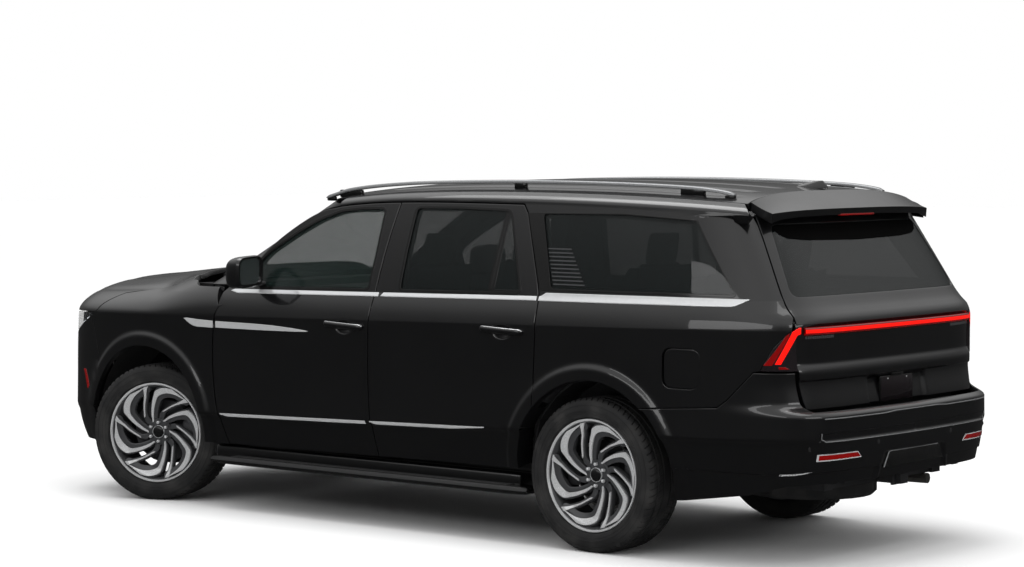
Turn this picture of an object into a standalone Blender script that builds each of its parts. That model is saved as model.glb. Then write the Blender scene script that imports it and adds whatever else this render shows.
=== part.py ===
# Long full-size SUV as an assembly of separate panels, glass, chassis, wheels and cabin pieces
# Metres; +X is the front, +Y the left side, Z up from the ground, origin at mid-length
import math

import bmesh
import bpy
from mathutils import Matrix, Vector

# Overall size and wheels
BODY_FRONT = 2.818
WHEELBASE = 3.377
FRONT_AXLE_X = 1.925
REAR_AXLE_X = FRONT_AXLE_X - WHEELBASE
HALF_TRACK = 0.8585
TYRE_RADIUS = 0.4075
TYRE_WIDTH = 0.285
TYRE_SQUASH = 0.0045
RIM_LIP_RADIUS = 0.297
RIM_WALL = 0.010
BEAD_HALF_WIDTH = 0.112
STEER_AT_REST = math.radians(21)
KINGPIN_Y = 0.79
AXLE_Z = TYRE_RADIUS - TYRE_SQUASH

# Lines that run along the body side, each with its height at mid-length and its fall per metre forwards
CREASE_Z, CREASE_FALL = 1.150, 0.0207
LEDGE_Z, LEDGE_FALL = 0.592, 0.0265
BELT_Z, BELT_FALL = 1.303, 0.0182
SILL_Z, SILL_FALL = 0.389, 0.010
SKIRT_Z = 0.300

# Half-widths of the body side
SIDE_HALF = 1.000
BELT_HALF = 0.952
FLARE = 0.0130
ARCH_RADIUS = 0.500
FLARE_RADIUS = 0.585
FRONT_ARCH_Z = 0.42
REAR_ARCH_Z = 0.40

# Plan outline: where the front and rear corners begin and how square they are
FRONT_MID = 1.90
REAR_MID = -1.50
CORNER_POWER = 9.0
FRONT_CROWN = 0.040
REAR_CROWN = 0.035
GATE_X = -2.705
ROOF_SEAM = 0.676
GATE_SEAM = 0.015
CROWN_OF_COWL = 1.2955
HOOD_HINGE = (1.645, 1.335)
FUEL_DOOR_WALL = 0.010
BUMPER_CROWN = 0.055

# Wall thicknesses
FENDER_WALL = 0.016
HOOD_WALL = 0.030
DOOR_WALL = 0.120
DOOR_FRAME_WALL = 0.046
SIDE_WALL = 0.090
PILLAR_WALL = 0.075
ROOF_WALL = 0.030
GATE_WALL = 0.060
BUMPER_WALL = 0.035
GLASS_WALL = 0.005
GLASS_RECESS = 0.008

# Clearances
PANEL_GAP = 0.0056
SEAT_GAP = 0.0003
ROOM = 0.006

# Doors
FRONT_DOOR_FRONT_X = 1.334
FRONT_DOOR_BOW = 0.37
FRONT_DOOR_COLUMNS = [-0.06, 0.18, 0.41, 0.65, 0.89, 1.12, 1.36]
REAR_DOOR_COLUMNS = [-1.14, -0.93, -0.71, -0.50, -0.28, -0.07, 0.15]
DOOR_ROWS = [0.35, 0.50, 0.60, 0.80, 1.0, 1.15, 1.24, 1.33, 1.58, 1.84]
MID_GAP_X = 0.108
MID_GAP_BOW = 0.15
DOOR_TOP_DROP = 0.008

parts = bpy.data.collections.new("full_size_suv")
cutters = bpy.data.collections.new("cutters")
materials = {}


def clear_scene():
    for item in list(bpy.data.objects):
        bpy.data.objects.remove(item)
    bpy.context.scene.collection.children.link(parts)
    bpy.context.scene.collection.children.link(cutters)


def add_material(name, color, roughness, metallic=0.0, alpha=1.0):
    material = bpy.data.materials.new(name)
    material.use_nodes = True
    shader = material.node_tree.nodes["Principled BSDF"]
    shader.inputs["Base Color"].default_value = (*color, 1.0)
    shader.inputs["Roughness"].default_value = roughness
    shader.inputs["Metallic"].default_value = metallic
    shader.inputs["Alpha"].default_value = alpha
    material.diffuse_color = (*color, alpha)
    materials[name] = material


def add_materials():
    add_material("black_paint", (0.006, 0.006, 0.007), 0.12)
    add_material("black_plastic", (0.015, 0.015, 0.016), 0.55)
    add_material("tinted_glass", (0.03, 0.04, 0.04), 0.05, alpha=0.45)
    add_material("chrome", (0.75, 0.76, 0.78), 0.12, 1.0)
    add_material("wheel_metal", (0.42, 0.42, 0.43), 0.25, 1.0)
    add_material("tyre_rubber", (0.018, 0.018, 0.018), 0.8)
    add_material("chassis_steel", (0.03, 0.03, 0.032), 0.6, 0.4)
    add_material("red_lens", (0.6, 0.01, 0.01), 0.1)
    add_material("clear_lens", (0.75, 0.78, 0.8), 0.08)
    add_material("cabin_leather", (0.035, 0.033, 0.032), 0.5)
    add_material("cast_metal", (0.22, 0.22, 0.23), 0.5, 0.8)


# Small helpers for meshes and objects


def blend(start, end, value):
    # 0 before start, 1 past end, with a smooth run between
    part = min(1.0, max(0.0, (value - start) / (end - start)))
    return part * part * (3 - 2 * part)


def spread(start, end, steps):
    return [start + (end - start) * i / steps for i in range(steps + 1)]


def add_object(name, mesh, material, collection=parts):
    item = bpy.data.objects.new(name, mesh)
    collection.objects.link(item)
    if material:
        mesh.materials.clear()
        mesh.materials.append(materials[material])
    return item


def grid_mesh(name, columns, rows, place):
    mesh = bpy.data.meshes.new(name)
    points = [place(column, row) for column in columns for row in rows]
    count = len(rows)
    faces = []
    for i in range(len(columns) - 1):
        for j in range(count - 1):
            a = i * count + j
            faces.append((a, a + 1, a + count + 1, a + count))
    mesh.from_pydata(points, [], faces)
    mesh.shade_smooth()
    return mesh


def add_shell(name, columns, rows, place, wall, material, flip=False, depth=None):
    # Open surface through place(column, row), thickened inwards; depth gives a share of the wall per point
    mesh = grid_mesh(name, columns, rows, place)
    if flip:
        mesh.flip_normals()
    item = add_object(name, mesh, material)
    solidify = item.modifiers.new("wall", "SOLIDIFY")
    solidify.thickness = wall
    solidify.offset = -1
    if depth:
        group = item.vertex_groups.new(name="depth")
        for vertex in mesh.vertices:
            group.add([vertex.index], depth(vertex.co), "REPLACE")
        solidify.vertex_group = "depth"
    return item


def face_out(mesh):
    work = bmesh.new()
    work.from_mesh(mesh)
    bmesh.ops.recalc_face_normals(work, faces=work.faces)
    work.to_mesh(mesh)
    work.free()


def prism_mesh(name, outline, low, high, axis):
    # Closed prism of a flat outline along axis
    place = {"x": lambda p, v: (v, p[0], p[1]), "y": lambda p, v: (p[0], v, p[1]), "z": lambda p, v: (p[0], p[1], v)}[axis]
    mesh = bpy.data.meshes.new(name)
    count = len(outline)
    points = [place(p, low) for p in outline] + [place(p, high) for p in outline]
    faces = [tuple(range(count)), tuple(range(count, 2 * count))]
    faces += [(i, (i + 1) % count, count + (i + 1) % count, count + i) for i in range(count)]
    mesh.from_pydata(points, [], faces)
    face_out(mesh)
    return mesh


def inset(outline, distance):
    # The outline moved inwards by distance; negative moves it outwards
    count = len(outline)
    area = sum(outline[i][0] * outline[(i + 1) % count][1] - outline[(i + 1) % count][0] * outline[i][1] for i in range(count))
    turn = 1 if area > 0 else -1
    result = []
    for i in range(count):
        here = Vector(outline[i])
        before = (here - Vector(outline[i - 1])).normalized()
        after = (Vector(outline[(i + 1) % count]) - here).normalized()
        first = Vector((-before.y, before.x)) * turn
        second = Vector((-after.y, after.x)) * turn
        middle = (first + second).normalized()
        reach = distance / max(0.35, middle.dot(first))
        result.append(tuple(here + middle * reach))
    return result


def rounded(outline, radius, steps=2):
    # Each corner of the outline replaced by a short curve
    result = []
    count = len(outline)
    for i in range(count):
        here = Vector(outline[i])
        back = Vector(outline[i - 1]) - here
        ahead = Vector(outline[(i + 1) % count]) - here
        reach = min(radius, 0.45 * back.length, 0.45 * ahead.length)
        start = here + back.normalized() * reach
        end = here + ahead.normalized() * reach
        for k in range(steps + 1):
            t = k / steps
            result.append(tuple(start * (1 - t) ** 2 + here * 2 * t * (1 - t) + end * t * t))
    return result


def arc(center, radius, start, end, steps):
    # Points on a circle, angles in degrees
    return [
        (center[0] + radius * math.cos(math.radians(a)), center[1] + radius * math.sin(math.radians(a)))
        for a in spread(start, end, steps)
    ]


def add_cutter(mesh):
    cutter = add_object(mesh.name, mesh, None, cutters)
    cutter.hide_render = True
    cutter.display_type = "WIRE"
    return cutter


def change(item, other, operation="DIFFERENCE"):
    modifier = item.modifiers.new(operation.lower(), "BOOLEAN")
    modifier.operation = operation
    modifier.object = other
    modifier.solver = "MANIFOLD"


def cut(item, mesh):
    change(item, add_cutter(mesh))


def keep(item, mesh):
    change(item, add_cutter(mesh), "INTERSECT")


def settle(item):
    # Replace the item's mesh by its evaluated one, and drop the modifiers
    bpy.context.view_layer.update()
    graph = bpy.context.evaluated_depsgraph_get()
    mesh = bpy.data.meshes.new_from_object(item.evaluated_get(graph))
    mesh.transform(item.matrix_world)
    item.modifiers.clear()
    item.data = mesh
    item.matrix_world = Matrix.Identity(4)
    return item


def join_on(item, others):
    # Boolean union of the others into the item
    for other in others:
        change(item, other, "UNION")
    settle(item)
    for other in others:
        bpy.data.objects.remove(other)
    return item


def mirrored(item, name):
    # The same piece on the right side
    settle(item)
    mesh = item.data.copy()
    mesh.name = name
    mesh.transform(Matrix.Scale(-1, 4, (0, 1, 0)))
    mesh.flip_normals()
    return add_object(name, mesh, None)


def box_mesh(name, low, high):
    work = bmesh.new()
    bmesh.ops.create_cube(work, size=1.0)
    low, high = Vector(low), Vector(high)
    bmesh.ops.scale(work, vec=high - low, verts=work.verts)
    bmesh.ops.translate(work, vec=(high + low) / 2, verts=work.verts)
    mesh = bpy.data.meshes.new(name)
    work.to_mesh(mesh)
    work.free()
    return mesh


def add_box(name, low, high, material, bevel=0.0, segments=1):
    item = add_object(name, box_mesh(name, low, high), material)
    if bevel:
        modifier = item.modifiers.new("edges", "BEVEL")
        modifier.width = bevel
        modifier.segments = segments
    return item


def rod_mesh(name, start, end, radius, sides=16):
    start, end = Vector(start), Vector(end)
    work = bmesh.new()
    bmesh.ops.create_cone(
        work, cap_ends=True, segments=sides, radius1=radius, radius2=radius, depth=(end - start).length
    )
    turn = (end - start).to_track_quat("Z", "Y").to_matrix().to_4x4()
    bmesh.ops.transform(work, matrix=Matrix.Translation((start + end) / 2) @ turn, verts=work.verts)
    mesh = bpy.data.meshes.new(name)
    work.to_mesh(mesh)
    work.free()
    return mesh


def add_rod(name, start, end, radius, material, sides=16):
    return add_object(name, rod_mesh(name, start, end, radius, sides), material)


def add_turned(name, profile, steps, material):
    # A closed profile of (radius, width) points turned round the Y axis
    mesh = bpy.data.meshes.new(name)
    count = len(profile)
    mesh.from_pydata([(r, w, 0) for r, w in profile], [(i, (i + 1) % count) for i in range(count)], [])
    item = add_object(name, mesh, material)
    screw = item.modifiers.new("turn", "SCREW")
    screw.axis = "Y"
    screw.steps = steps
    screw.render_steps = steps
    screw.use_merge_vertices = True
    screw.merge_threshold = 0.00001
    settle(item)
    face_out(item.data)
    return item


# Body surfaces


def crease_height(x):
    return CREASE_Z - CREASE_FALL * x


def ledge_height(x):
    return LEDGE_Z - LEDGE_FALL * x


def belt_height(x):
    return BELT_Z - BELT_FALL * x


def sill_height(x):
    return SILL_Z - SILL_FALL * x


def side_width(x, z):
    # Half-width of the side: tucked in under the ledge, upright to the crease, leaning in to the belt and roof
    crease, ledge, belt = crease_height(x), ledge_height(x), belt_height(x)
    if z > belt:
        y = BELT_HALF - 0.21 * (z - belt) - 0.06 * (z - belt) ** 2
    elif z > crease:
        part = (z - crease) / (belt - crease)
        y = SIDE_HALF + (BELT_HALF - SIDE_HALF) * (0.5 * part + 0.5 * part**2)
    elif z > ledge:
        part = (z - ledge) / (crease - ledge)
        y = SIDE_HALF + 0.006 * (1 - part) - 0.012 * part * (1 - part)
    else:
        down = ledge - z
        y = SIDE_HALF + 0.006 - 0.014 * blend(0, 0.03, down) - 0.17 * down
    if x > FRONT_MID:
        y -= 0.150 * ((x - FRONT_MID) / 0.9) ** 1.6
    if x < REAR_MID:
        y -= 0.024 * ((REAR_MID - x) / 0.9) ** 2
    if x > 0:
        y -= 0.040 * (x / 1.17) ** 2 * blend(belt - 0.05, belt + 0.2, z)
    for axle_x, arch_z in ((FRONT_AXLE_X, FRONT_ARCH_Z), (REAR_AXLE_X, REAR_ARCH_Z)):
        reach = math.hypot(x - axle_x, z - arch_z)
        y += FLARE * (1 - blend(FLARE_RADIUS - 0.03, FLARE_RADIUS + 0.01, reach))
    return y


def front_face(z):
    return BODY_FRONT - 1.9 * max(0.0, 0.5 - z) ** 2 - 0.25 * max(0.0, z - 0.8) ** 2


def gate_face(z):
    # Upright up to the light bar, then leaning forwards with the rear glass
    return GATE_X - 0.02 * blend(0.95, 0.78, z) + 0.62 * max(0.0, z - 1.27) + 0.03 * blend(1.22, 1.32, z)


def windshield_face(z):
    return 1.66 - 1.92 * (z - 1.33)


def outline_point(s, z, front, rear, crowns, mids=(FRONT_MID, REAR_MID)):
    # A point of the plan outline at height z: s is 0 at the nose, 1 at the front left corner,
    # 2 and 3 where the side runs straight, 4 at the rear left corner, 5 at the tail, then back on the right
    s = s % 10
    if s > 5:
        x, y, z = outline_point(10 - s, z, front, rear, crowns, mids)
        return (x, -y, z)
    if 2 <= s <= 3:
        x = mids[0] + (mids[1] - mids[0]) * (s - 2)
        return (x, side_width(x, z), z)
    mid, end, crown = (mids[0], front(z), -crowns[0]) if s < 2 else (mids[1], rear(z), crowns[1])
    t = s if s < 2 else 5 - s
    along, across = (1.0, t) if t < 1 else (2 - t, 1.0)
    k = (along**CORNER_POWER + across**CORNER_POWER) ** (-1 / CORNER_POWER)
    x = mid + (end + crown * (k * across) ** 2 - mid) * k * along
    return (x, side_width(x, z) * k * across, z)


def lower_point(s, z):
    return outline_point(s, z, front_face, gate_face, (FRONT_CROWN, REAR_CROWN))


def upper_point(s, z):
    return outline_point(s, z, windshield_face, gate_face, (0.20, REAR_CROWN), (0.30, REAR_MID))


def nose_width(x, z):
    # Half-width of the plan outline at x, with its front corner rounded off
    width = side_width(x, z)
    if x <= FRONT_MID:
        return width
    share = 1.0
    for _ in range(4):
        t = min(0.9999, (x - FRONT_MID) / (front_face(z) - FRONT_CROWN * share**2 - FRONT_MID))
        share = (1 - t**CORNER_POWER) ** (1 / CORNER_POWER)
    return width * share


def hood_height(x):
    # Height of the hood along its middle
    return 1.386 - 0.055 * blend(1.55, 2.5, x) - 0.062 * max(0.0, x - 1.9) ** 2


def hood_point(x, k):
    # Over the hood and the fender tops: k is 0 on the crease and 1 on the centre line
    crease = crease_height(x)
    power = 2.6 + 6.4 * (1 - blend(1.30, 1.95, x))
    nose = min(1.0, max(0.0, (x - FRONT_MID) / (front_face(crease) - FRONT_MID)))
    rise = (hood_height(x) - crease) * max(0.0, 1 - nose**14) ** 0.5
    turn = k * math.pi / 2
    y = nose_width(x, crease) * max(0.0, math.cos(turn)) ** (2 / power)
    return (x, y, crease + rise * math.sin(turn) ** (2 / 1.7))


def fender_point(x, k):
    # Up the fender side for k below 1, then over its top
    if k > 1:
        return hood_point(x, k - 1)
    z = SKIRT_Z + (crease_height(x) - SKIRT_Z) * k
    return (x, nose_width(x, z), z)


def roof_height(x):
    return 1.931 - 0.022 * (x + 1) ** 2 - 0.0036 * (x + 1) ** 4


def drip_height(x):
    # Height of the seam between roof and side
    ahead = x + 0.45
    if ahead > 0:
        return 1.814 - 0.018 * ahead**2 - 0.030 * ahead**4
    return 1.814 - 0.0125 * ahead**2


def roof_point(x, k):
    # Across the roof: k is -1 on the right seam, 0 on the centre line and 1 on the left seam
    turn = (1 - abs(k)) * math.pi / 2
    low = drip_height(x)
    y = side_width(x, low) * max(0.0, math.cos(turn)) ** (2 / 3)
    return (x, math.copysign(y, k), low + (roof_height(x) - low) * math.sin(turn))


# Outlines seen from the side, as (x, z)


def front_door_gap(z):
    return FRONT_DOOR_FRONT_X - FRONT_DOOR_BOW * (z - 0.90) ** 2


def mid_gap(z):
    return MID_GAP_X - MID_GAP_BOW * (z - 0.95) ** 2


def door_top(x):
    return drip_height(x) - DOOR_TOP_DROP


def front_door_outline():
    lower = [(front_door_gap(z), z) for z in spread(sill_height(1.25), 1.262, 5)]
    pillar = [(1.145, 1.385), (0.986, 1.530), (0.800, 1.652), (0.622, 1.738)]
    top = [(x, door_top(x)) for x in (0.46, 0.25, mid_gap(1.8))]
    rear = [(mid_gap(z), z) for z in spread(1.60, sill_height(0.05), 5)]
    return lower + pillar + top + rear


def rear_door_outline():
    front = [(mid_gap(z), z) for z in spread(sill_height(0.05), 1.60, 5)]
    top = [(x, door_top(x)) for x in (mid_gap(1.8), -0.30, -0.60, -0.886)]
    rear = [(-0.924, 1.755), (-1.017, 1.509), (-1.079, 1.323), (-1.088, 1.150), (-1.078, 0.900)]
    arch = arc((REAR_AXLE_X, REAR_ARCH_Z), ARCH_RADIUS, 42, 0, 6)
    return front + top + rear + arch


def front_window_outline():
    return [
        (1.045, 1.300), (1.045, 1.452), (0.967, 1.510), (0.762, 1.620), (0.605, 1.693),
        (0.450, 1.741), (0.293, 1.757), (0.112, 1.762), (0.128, 1.530), (0.150, 1.318),
    ]


def rear_window_outline():
    return [
        (-0.086, 1.322), (-0.100, 1.530), (-0.124, 1.771), (-0.450, 1.774),
        (-0.800, 1.766), (-0.873, 1.560), (-0.946, 1.338),
    ]


def quarter_window_outline():
    return [(-1.079, 1.362), (-1.040, 1.500), (-0.955, 1.765), (-1.600, 1.762), (-2.255, 1.738), (-2.425, 1.372)]


def front_arch():
    return arc((FRONT_AXLE_X, FRONT_ARCH_Z), ARCH_RADIUS, 0, 360, 40)[:-1]


def rear_arch():
    return arc((REAR_AXLE_X, REAR_ARCH_Z), ARCH_RADIUS, 0, 360, 40)[:-1]


def rear_gap(z):
    return -1.088 + 0.36 * max(0.0, z - 1.20) ** 1.35


def roof_z(x, y):
    # Height of the roof surface over a point
    low = drip_height(x)
    share = min(1.0, abs(y) / side_width(x, low))
    return low + (roof_height(x) - low) * math.sqrt(1 - share**3)


def roof_edge(s, place):
    # The point where the plan outline s, rising with the glass, meets the roof
    z = 1.80
    for _ in range(8):
        x, y, _ = place(s, z)
        z = roof_z(x, y)
    return place(s, z)


def rear_edge_x(k):
    # Where the roof surface ends over the liftgate
    x = -2.30
    for _ in range(6):
        x, y, z = roof_point(x, k)
        x = gate_face(z) + REAR_CROWN * (y / side_width(x, z)) ** 2
    return x


def front_edge_x(k):
    # Where the roof surface ends over the windshield
    x = 0.60
    for _ in range(6):
        x, y, z = roof_point(x, k)
        x = windshield_face(z) - 0.20 * (y / side_width(x, z)) ** 2
    return x


def roof_outline():
    # Plan outline of the roof panel: side seams, windshield edge and liftgate edge
    ks = [ROOF_SEAM, 0.4, 0.0, -0.4, -ROOF_SEAM]
    front = [roof_point(front_edge_x(k) - PANEL_GAP, k)[:2] for k in ks]
    rear = [roof_point(rear_edge_x(k) + GATE_SEAM, k)[:2] for k in reversed(ks)]
    between = spread(front[0][0], rear[0][0], 5)[1:-1]
    right = [roof_point(x, -ROOF_SEAM)[:2] for x in between]
    left = [roof_point(x, ROOF_SEAM)[:2] for x in reversed(between)]
    return front + right + rear + left


def side_prism(name, outline, grow, low=0.45, high=1.3):
    return prism_mesh(name, inset(outline, -grow), low, high, "y")


# Doors, with their windows cut and their rear edges drawn in behind the skin


def door_depth(point):
    share = blend(1.22, 1.34, point.z)
    return 1 - share * (1 - DOOR_FRAME_WALL / DOOR_WALL)


def shut_wedge(name, gap, low):
    # Draws a door's rear shut face forwards towards the inside, so that it swings clear
    heights = spread(low, 1.86, 9)
    mesh = bpy.data.meshes.new(name)
    points = []
    for z in heights:
        x, y = gap(z) + PANEL_GAP / 2, side_width(gap(z), z)
        points += [(x - 0.02, y - 0.010, z), (x, y - 0.010, z), (x + 0.060, y - 0.23, z), (x - 0.02, y - 0.23, z)]
    faces = [(0, 1, 2, 3), tuple(range(len(points) - 4, len(points)))]
    for i in range(len(heights) - 1):
        for j in range(4):
            a, b = 4 * i + j, 4 * i + (j + 1) % 4
            faces.append((a, b, b + 4, a + 4))
    mesh.from_pydata(points, [], faces)
    face_out(mesh)
    return mesh


def side_place(x, z):
    return (x, side_width(x, z), z)


def add_door(name, outline, window, columns, gap, low):
    door = add_shell(name, columns, DOOR_ROWS, side_place, DOOR_WALL, "black_paint", depth=door_depth)
    keep(door, side_prism(name + "_edge", outline, -PANEL_GAP / 2))
    cut(door, side_prism(name + "_window", rounded(window, 0.03), 0))
    cut(door, shut_wedge(name + "_shut_face", gap, low))
    return settle(door)


def add_pane(name, window, columns, rows, place, grow=-SEAT_GAP):
    # A pane set into its window, a little behind the skin
    pane = add_shell(name, columns, rows, place, GLASS_WALL, "tinted_glass")
    keep(pane, side_prism(name + "_edge", rounded(window, 0.03), grow))
    return settle(pane)


def glass_place(x, z):
    return (x, side_width(x, z) - GLASS_RECESS, z)


def add_handle(door, x, z):
    # A pull handle with its pocket, fused to the door
    skin = side_width(x, z)
    pocket = box_mesh("handle_pocket", (x - 0.085, skin - 0.014, z - 0.026), (x + 0.085, skin + 0.05, z + 0.026))
    cut(door, pocket)
    bar = add_box("handle_bar", (x - 0.145, skin + 0.008, z - 0.011), (x + 0.145, skin + 0.026, z + 0.013), "black_paint")
    feet = [
        add_box("handle_foot", (x + s * 0.115 - 0.022, skin - 0.02, z - 0.009), (x + s * 0.115 + 0.022, skin + 0.012, z + 0.011), "black_paint")
        for s in (-1, 1)
    ]
    join_on(door, [bar] + feet)


def add_doors():
    front = add_door("front_door_left", front_door_outline(), front_window_outline(), FRONT_DOOR_COLUMNS, mid_gap, 0.34)
    rear = add_door("rear_door_left", rear_door_outline(), rear_window_outline(), REAR_DOOR_COLUMNS, rear_gap, 0.66)
    add_handle(front, 0.290, 1.112)
    add_handle(rear, -0.860, 1.137)
    add_pane("front_door_glass_left", front_window_outline(), spread(0.08, 1.08, 2), spread(1.27, 1.79, 2), glass_place)
    add_pane("rear_door_glass_left", rear_window_outline(), spread(-0.98, -0.05, 1), spread(1.29, 1.80, 2), glass_place)
    for side in ("front_door", "rear_door", "front_door_glass", "rear_door_glass"):
        mirrored(bpy.data.objects[side + "_left"], side + "_right")


# Body side: quarter panel, pillars, sill and roof edge in one piece


def quarter_place(s, r):
    # Up the rear quarter; its last row is sunk into the roof edge, so that the two fuse
    x = lower_point(s, 1.5)[0]
    if r > 1:
        x, y, z = lower_point(s, drip_height(x))
        return (x, y - 0.015, z + 0.015)
    z = SKIRT_Z + (door_top(x) - SKIRT_Z) * r
    return lower_point(s, z)


def roof_side_place(x, r):
    # From the top of the doors over the shoulder to the roof seam
    if r == 0:
        z = door_top(x)
        return (x, side_width(x, z), z)
    return roof_point(x, 1 - 0.32 * r)


def room_of(item):
    # The mesh of a helper solid, as a cutter for what stands behind it
    settle(item)
    mesh = item.data.copy()
    mesh.name = item.name + "_room"
    bpy.data.objects.remove(item)
    return mesh


def door_room(outline, columns, clearance):
    # The space that a door fills, with a clearance all round
    room = add_shell("door", columns, DOOR_ROWS, side_place, DOOR_WALL + clearance, None, depth=door_depth)
    keep(room, side_prism("door_edge", outline, clearance - PANEL_GAP / 2))
    return room_of(room)


def pillar_place(x, z):
    depth = DOOR_FRAME_WALL + (DOOR_WALL - DOOR_FRAME_WALL) * (1 - blend(1.22, 1.34, z))
    return (x, side_width(x, z) - depth - ROOM, z)


def door_brackets():
    # Hinge and striker blocks on the pillars, each reaching to the inside of its door
    found = []
    for z in (0.64, 1.04):
        found.append(((1.285, 0.845, z), (1.360, 0.930, z + 0.07)))
        found.append(((0.060, 0.800, z), (0.095, 0.920, z + 0.07)))
    found.append(((0.020, 0.800, 0.84), (0.045, 0.920, 0.90)))
    found.append(((-1.075, 0.800, 1.00), (-1.040, 0.920, 1.06)))
    return found


def windshield_pillar_place(s, r):
    top = roof_edge(s, upper_point)[2]
    return upper_point(s, 1.29 + (top - 1.29) * r)


def windshield_outline():
    return [(0.80, 1.2945), (0.640, 1.775), (0.635, 1.95), (-0.635, 1.95), (-0.640, 1.775), (-0.80, 1.2945)]


def gate_outline(grow=0.0):
    left = [(0.800, 0.812), (0.826, 1.0), (0.838, 1.20), (0.815, 1.38), (0.740, 1.72), (0.700, 1.95)]
    return inset([(-y, z) for y, z in reversed(left)] + left, -grow)


def rear_window():
    return rounded([(-0.775, 1.365), (0.775, 1.365), (0.675, 1.722), (-0.675, 1.722)], 0.05)


def fuel_door_outline():
    x, z, half_x, half_z = -2.043, 0.993, 0.110, 0.100
    square = [(x - half_x, z - half_z), (x + half_x, z - half_z), (x + half_x, z + half_z), (x - half_x, z + half_z)]
    return rounded(square, 0.055, 4)


def tail_lamp_outline():
    return [(-2.490, 1.000), (-2.550, 1.115), (-2.610, 1.190), (-2.680, 1.238), (-2.90, 1.250), (-2.90, 1.000)]


def rear_bumper_outline():
    return [
        (-1.80, 0.36), (-1.80, 0.776), (-2.255, 0.807), (-2.317, 0.851), (-2.455, 0.992), (-2.95, 0.992),
        (-2.95, 0.435), (-2.60, 0.425), (-2.390, 0.366), (-2.026, 0.313), (-1.90, 0.305),
    ]


def side_depth(point):
    return 1 - 0.62 * blend(-2.10, -2.40, point.x)


def add_body_side():
    side = add_shell(
        "body_side_left", spread(2.86, 3.66, 4) + [3.82, 3.92, 4.0, 4.10, 4.25], [0.0, 0.22, 0.40, 0.587, 0.69, 0.83, 1.0, 1.1], quarter_place,
        SIDE_WALL, "black_paint", True, side_depth,
    )
    cut(side, side_prism("side_door_opening", rear_door_outline(), PANEL_GAP / 2))
    cut(side, prism_mesh("side_arch", rear_arch(), 0.5, 1.3, "y"))
    window = rounded([(-1.150, 1.362), (-1.110, 1.500), (-1.025, 1.758)] + quarter_window_outline()[3:], 0.03)
    cut(side, side_prism("side_quarter_window", window, 0))
    cut(side, prism_mesh("side_gate_opening", gate_outline(PANEL_GAP / 2), -3.2, -2.0, "x"))
    cut(side, side_prism("side_over_bumper", rear_bumper_outline(), 0.002))
    cut(side, box_mesh("side_under_bumper", (-3.0, 0.3, 0.1), (-1.75, 1.3, 0.60)))
    cut(side, side_prism("side_lamp_pocket", tail_lamp_outline(), SEAT_GAP, 0.7))
    recess = side_width(-2.043, 0.993) - 0.05
    cut(side, prism_mesh("side_fuel_pocket", inset(fuel_door_outline(), -PANEL_GAP / 2), recess, 1.3, "y"))
    settle(side)
    roof_side = add_shell(
        "roof_side", [front_edge_x(0.7) - 0.02] + spread(0.42, -2.30, 6), [0, 0.01, 0.5, 1.0], roof_side_place, PILLAR_WALL, "black_paint"
    )
    roof_side.data.flip_normals()
    post = add_shell(
        "windshield_pillar", [0.80, 0.90, 1.0, 1.1, 1.3, 1.6], spread(0, 1, 4), windshield_pillar_place, 0.05, "black_paint", True
    )
    cut(post, prism_mesh("pillar_windshield", inset(windshield_outline(), -SEAT_GAP), 0.3, 2.0, "x"))
    cut(post, side_prism("pillar_door", front_door_outline(), PANEL_GAP / 2))
    cut(post, box_mesh("pillar_foot", (1.0, 0.4, 1.1), (1.9, 1.2, CROWN_OF_COWL)))
    settle(post)
    middle = add_shell("middle_pillar", [0.01, 0.13], [0.34, 0.60, 0.90] + DOOR_ROWS[5:], pillar_place, 0.05, "black_paint")
    rear = add_shell("rear_pillar", [-1.17, -1.02], [0.90] + DOOR_ROWS[5:], pillar_place, 0.06, "black_paint")
    hinge_post = add_box("hinge_pillar", (1.345, 0.78, 0.30), (1.430, 0.890, 1.335), "black_paint")
    sill = add_box("sill", (-0.93, 0.80, 0.270), (1.385, 0.925, 0.366), "black_paint", 0.02)
    step = add_box("sill_step", (-0.93, 0.785, 0.30), (1.36, 0.822, 0.50), "black_paint")
    brackets = [add_box("door_bracket", low, high, None) for low, high in door_brackets()]
    fender_bracket = add_box("fender_bracket", (1.372, 0.86, 0.93), (1.420, 0.995, 1.00), None)
    cut(fender_bracket, room_of(fender_shell("fender", FENDER_WALL + SEAT_GAP)))
    fuel_bracket = add_box("fuel_bracket", (-1.985, 0.915, 0.965), (-1.945, 0.990, 1.021), None)
    cut(fuel_bracket, room_of(fuel_shell("fuel_door", FUEL_DOOR_WALL + SEAT_GAP)))
    for outline, columns in ((front_door_outline(), FRONT_DOOR_COLUMNS), (rear_door_outline(), REAR_DOOR_COLUMNS)):
        for piece in (roof_side, middle, rear, step):
            cut(piece, door_room(outline, columns, 2 * ROOM))
        for bracket in brackets:
            cut(bracket, door_room(outline, columns, SEAT_GAP))
    join_on(side, [roof_side, post, middle, rear, hinge_post, sill, step, fender_bracket, fuel_bracket] + brackets)
    cut(side, prism_mesh("side_roof", inset(roof_outline(), -SEAT_GAP / 2), 1.70, 2.1, "z"))
    cut(side, prism_mesh("side_gate_room", gate_outline(PANEL_GAP / 2), -3.2, -2.2, "x"))
    mirrored(side, "body_side_right")


# Roof, windshield and side glass of the load space


def roof_shell(name, lift):
    def place(t, k):
        start, end = front_edge_x(k) + 0.02, rear_edge_x(k) - 0.02
        x, y, z = roof_point(start + (end - start) * t, k)
        return (x, y, z + lift)

    columns, rows = spread(0, 1, 8), [-0.70, -0.55, -0.3, 0.0, 0.3, 0.55, 0.70]
    return add_shell(name, columns, rows, place, ROOF_WALL, "black_paint")


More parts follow.
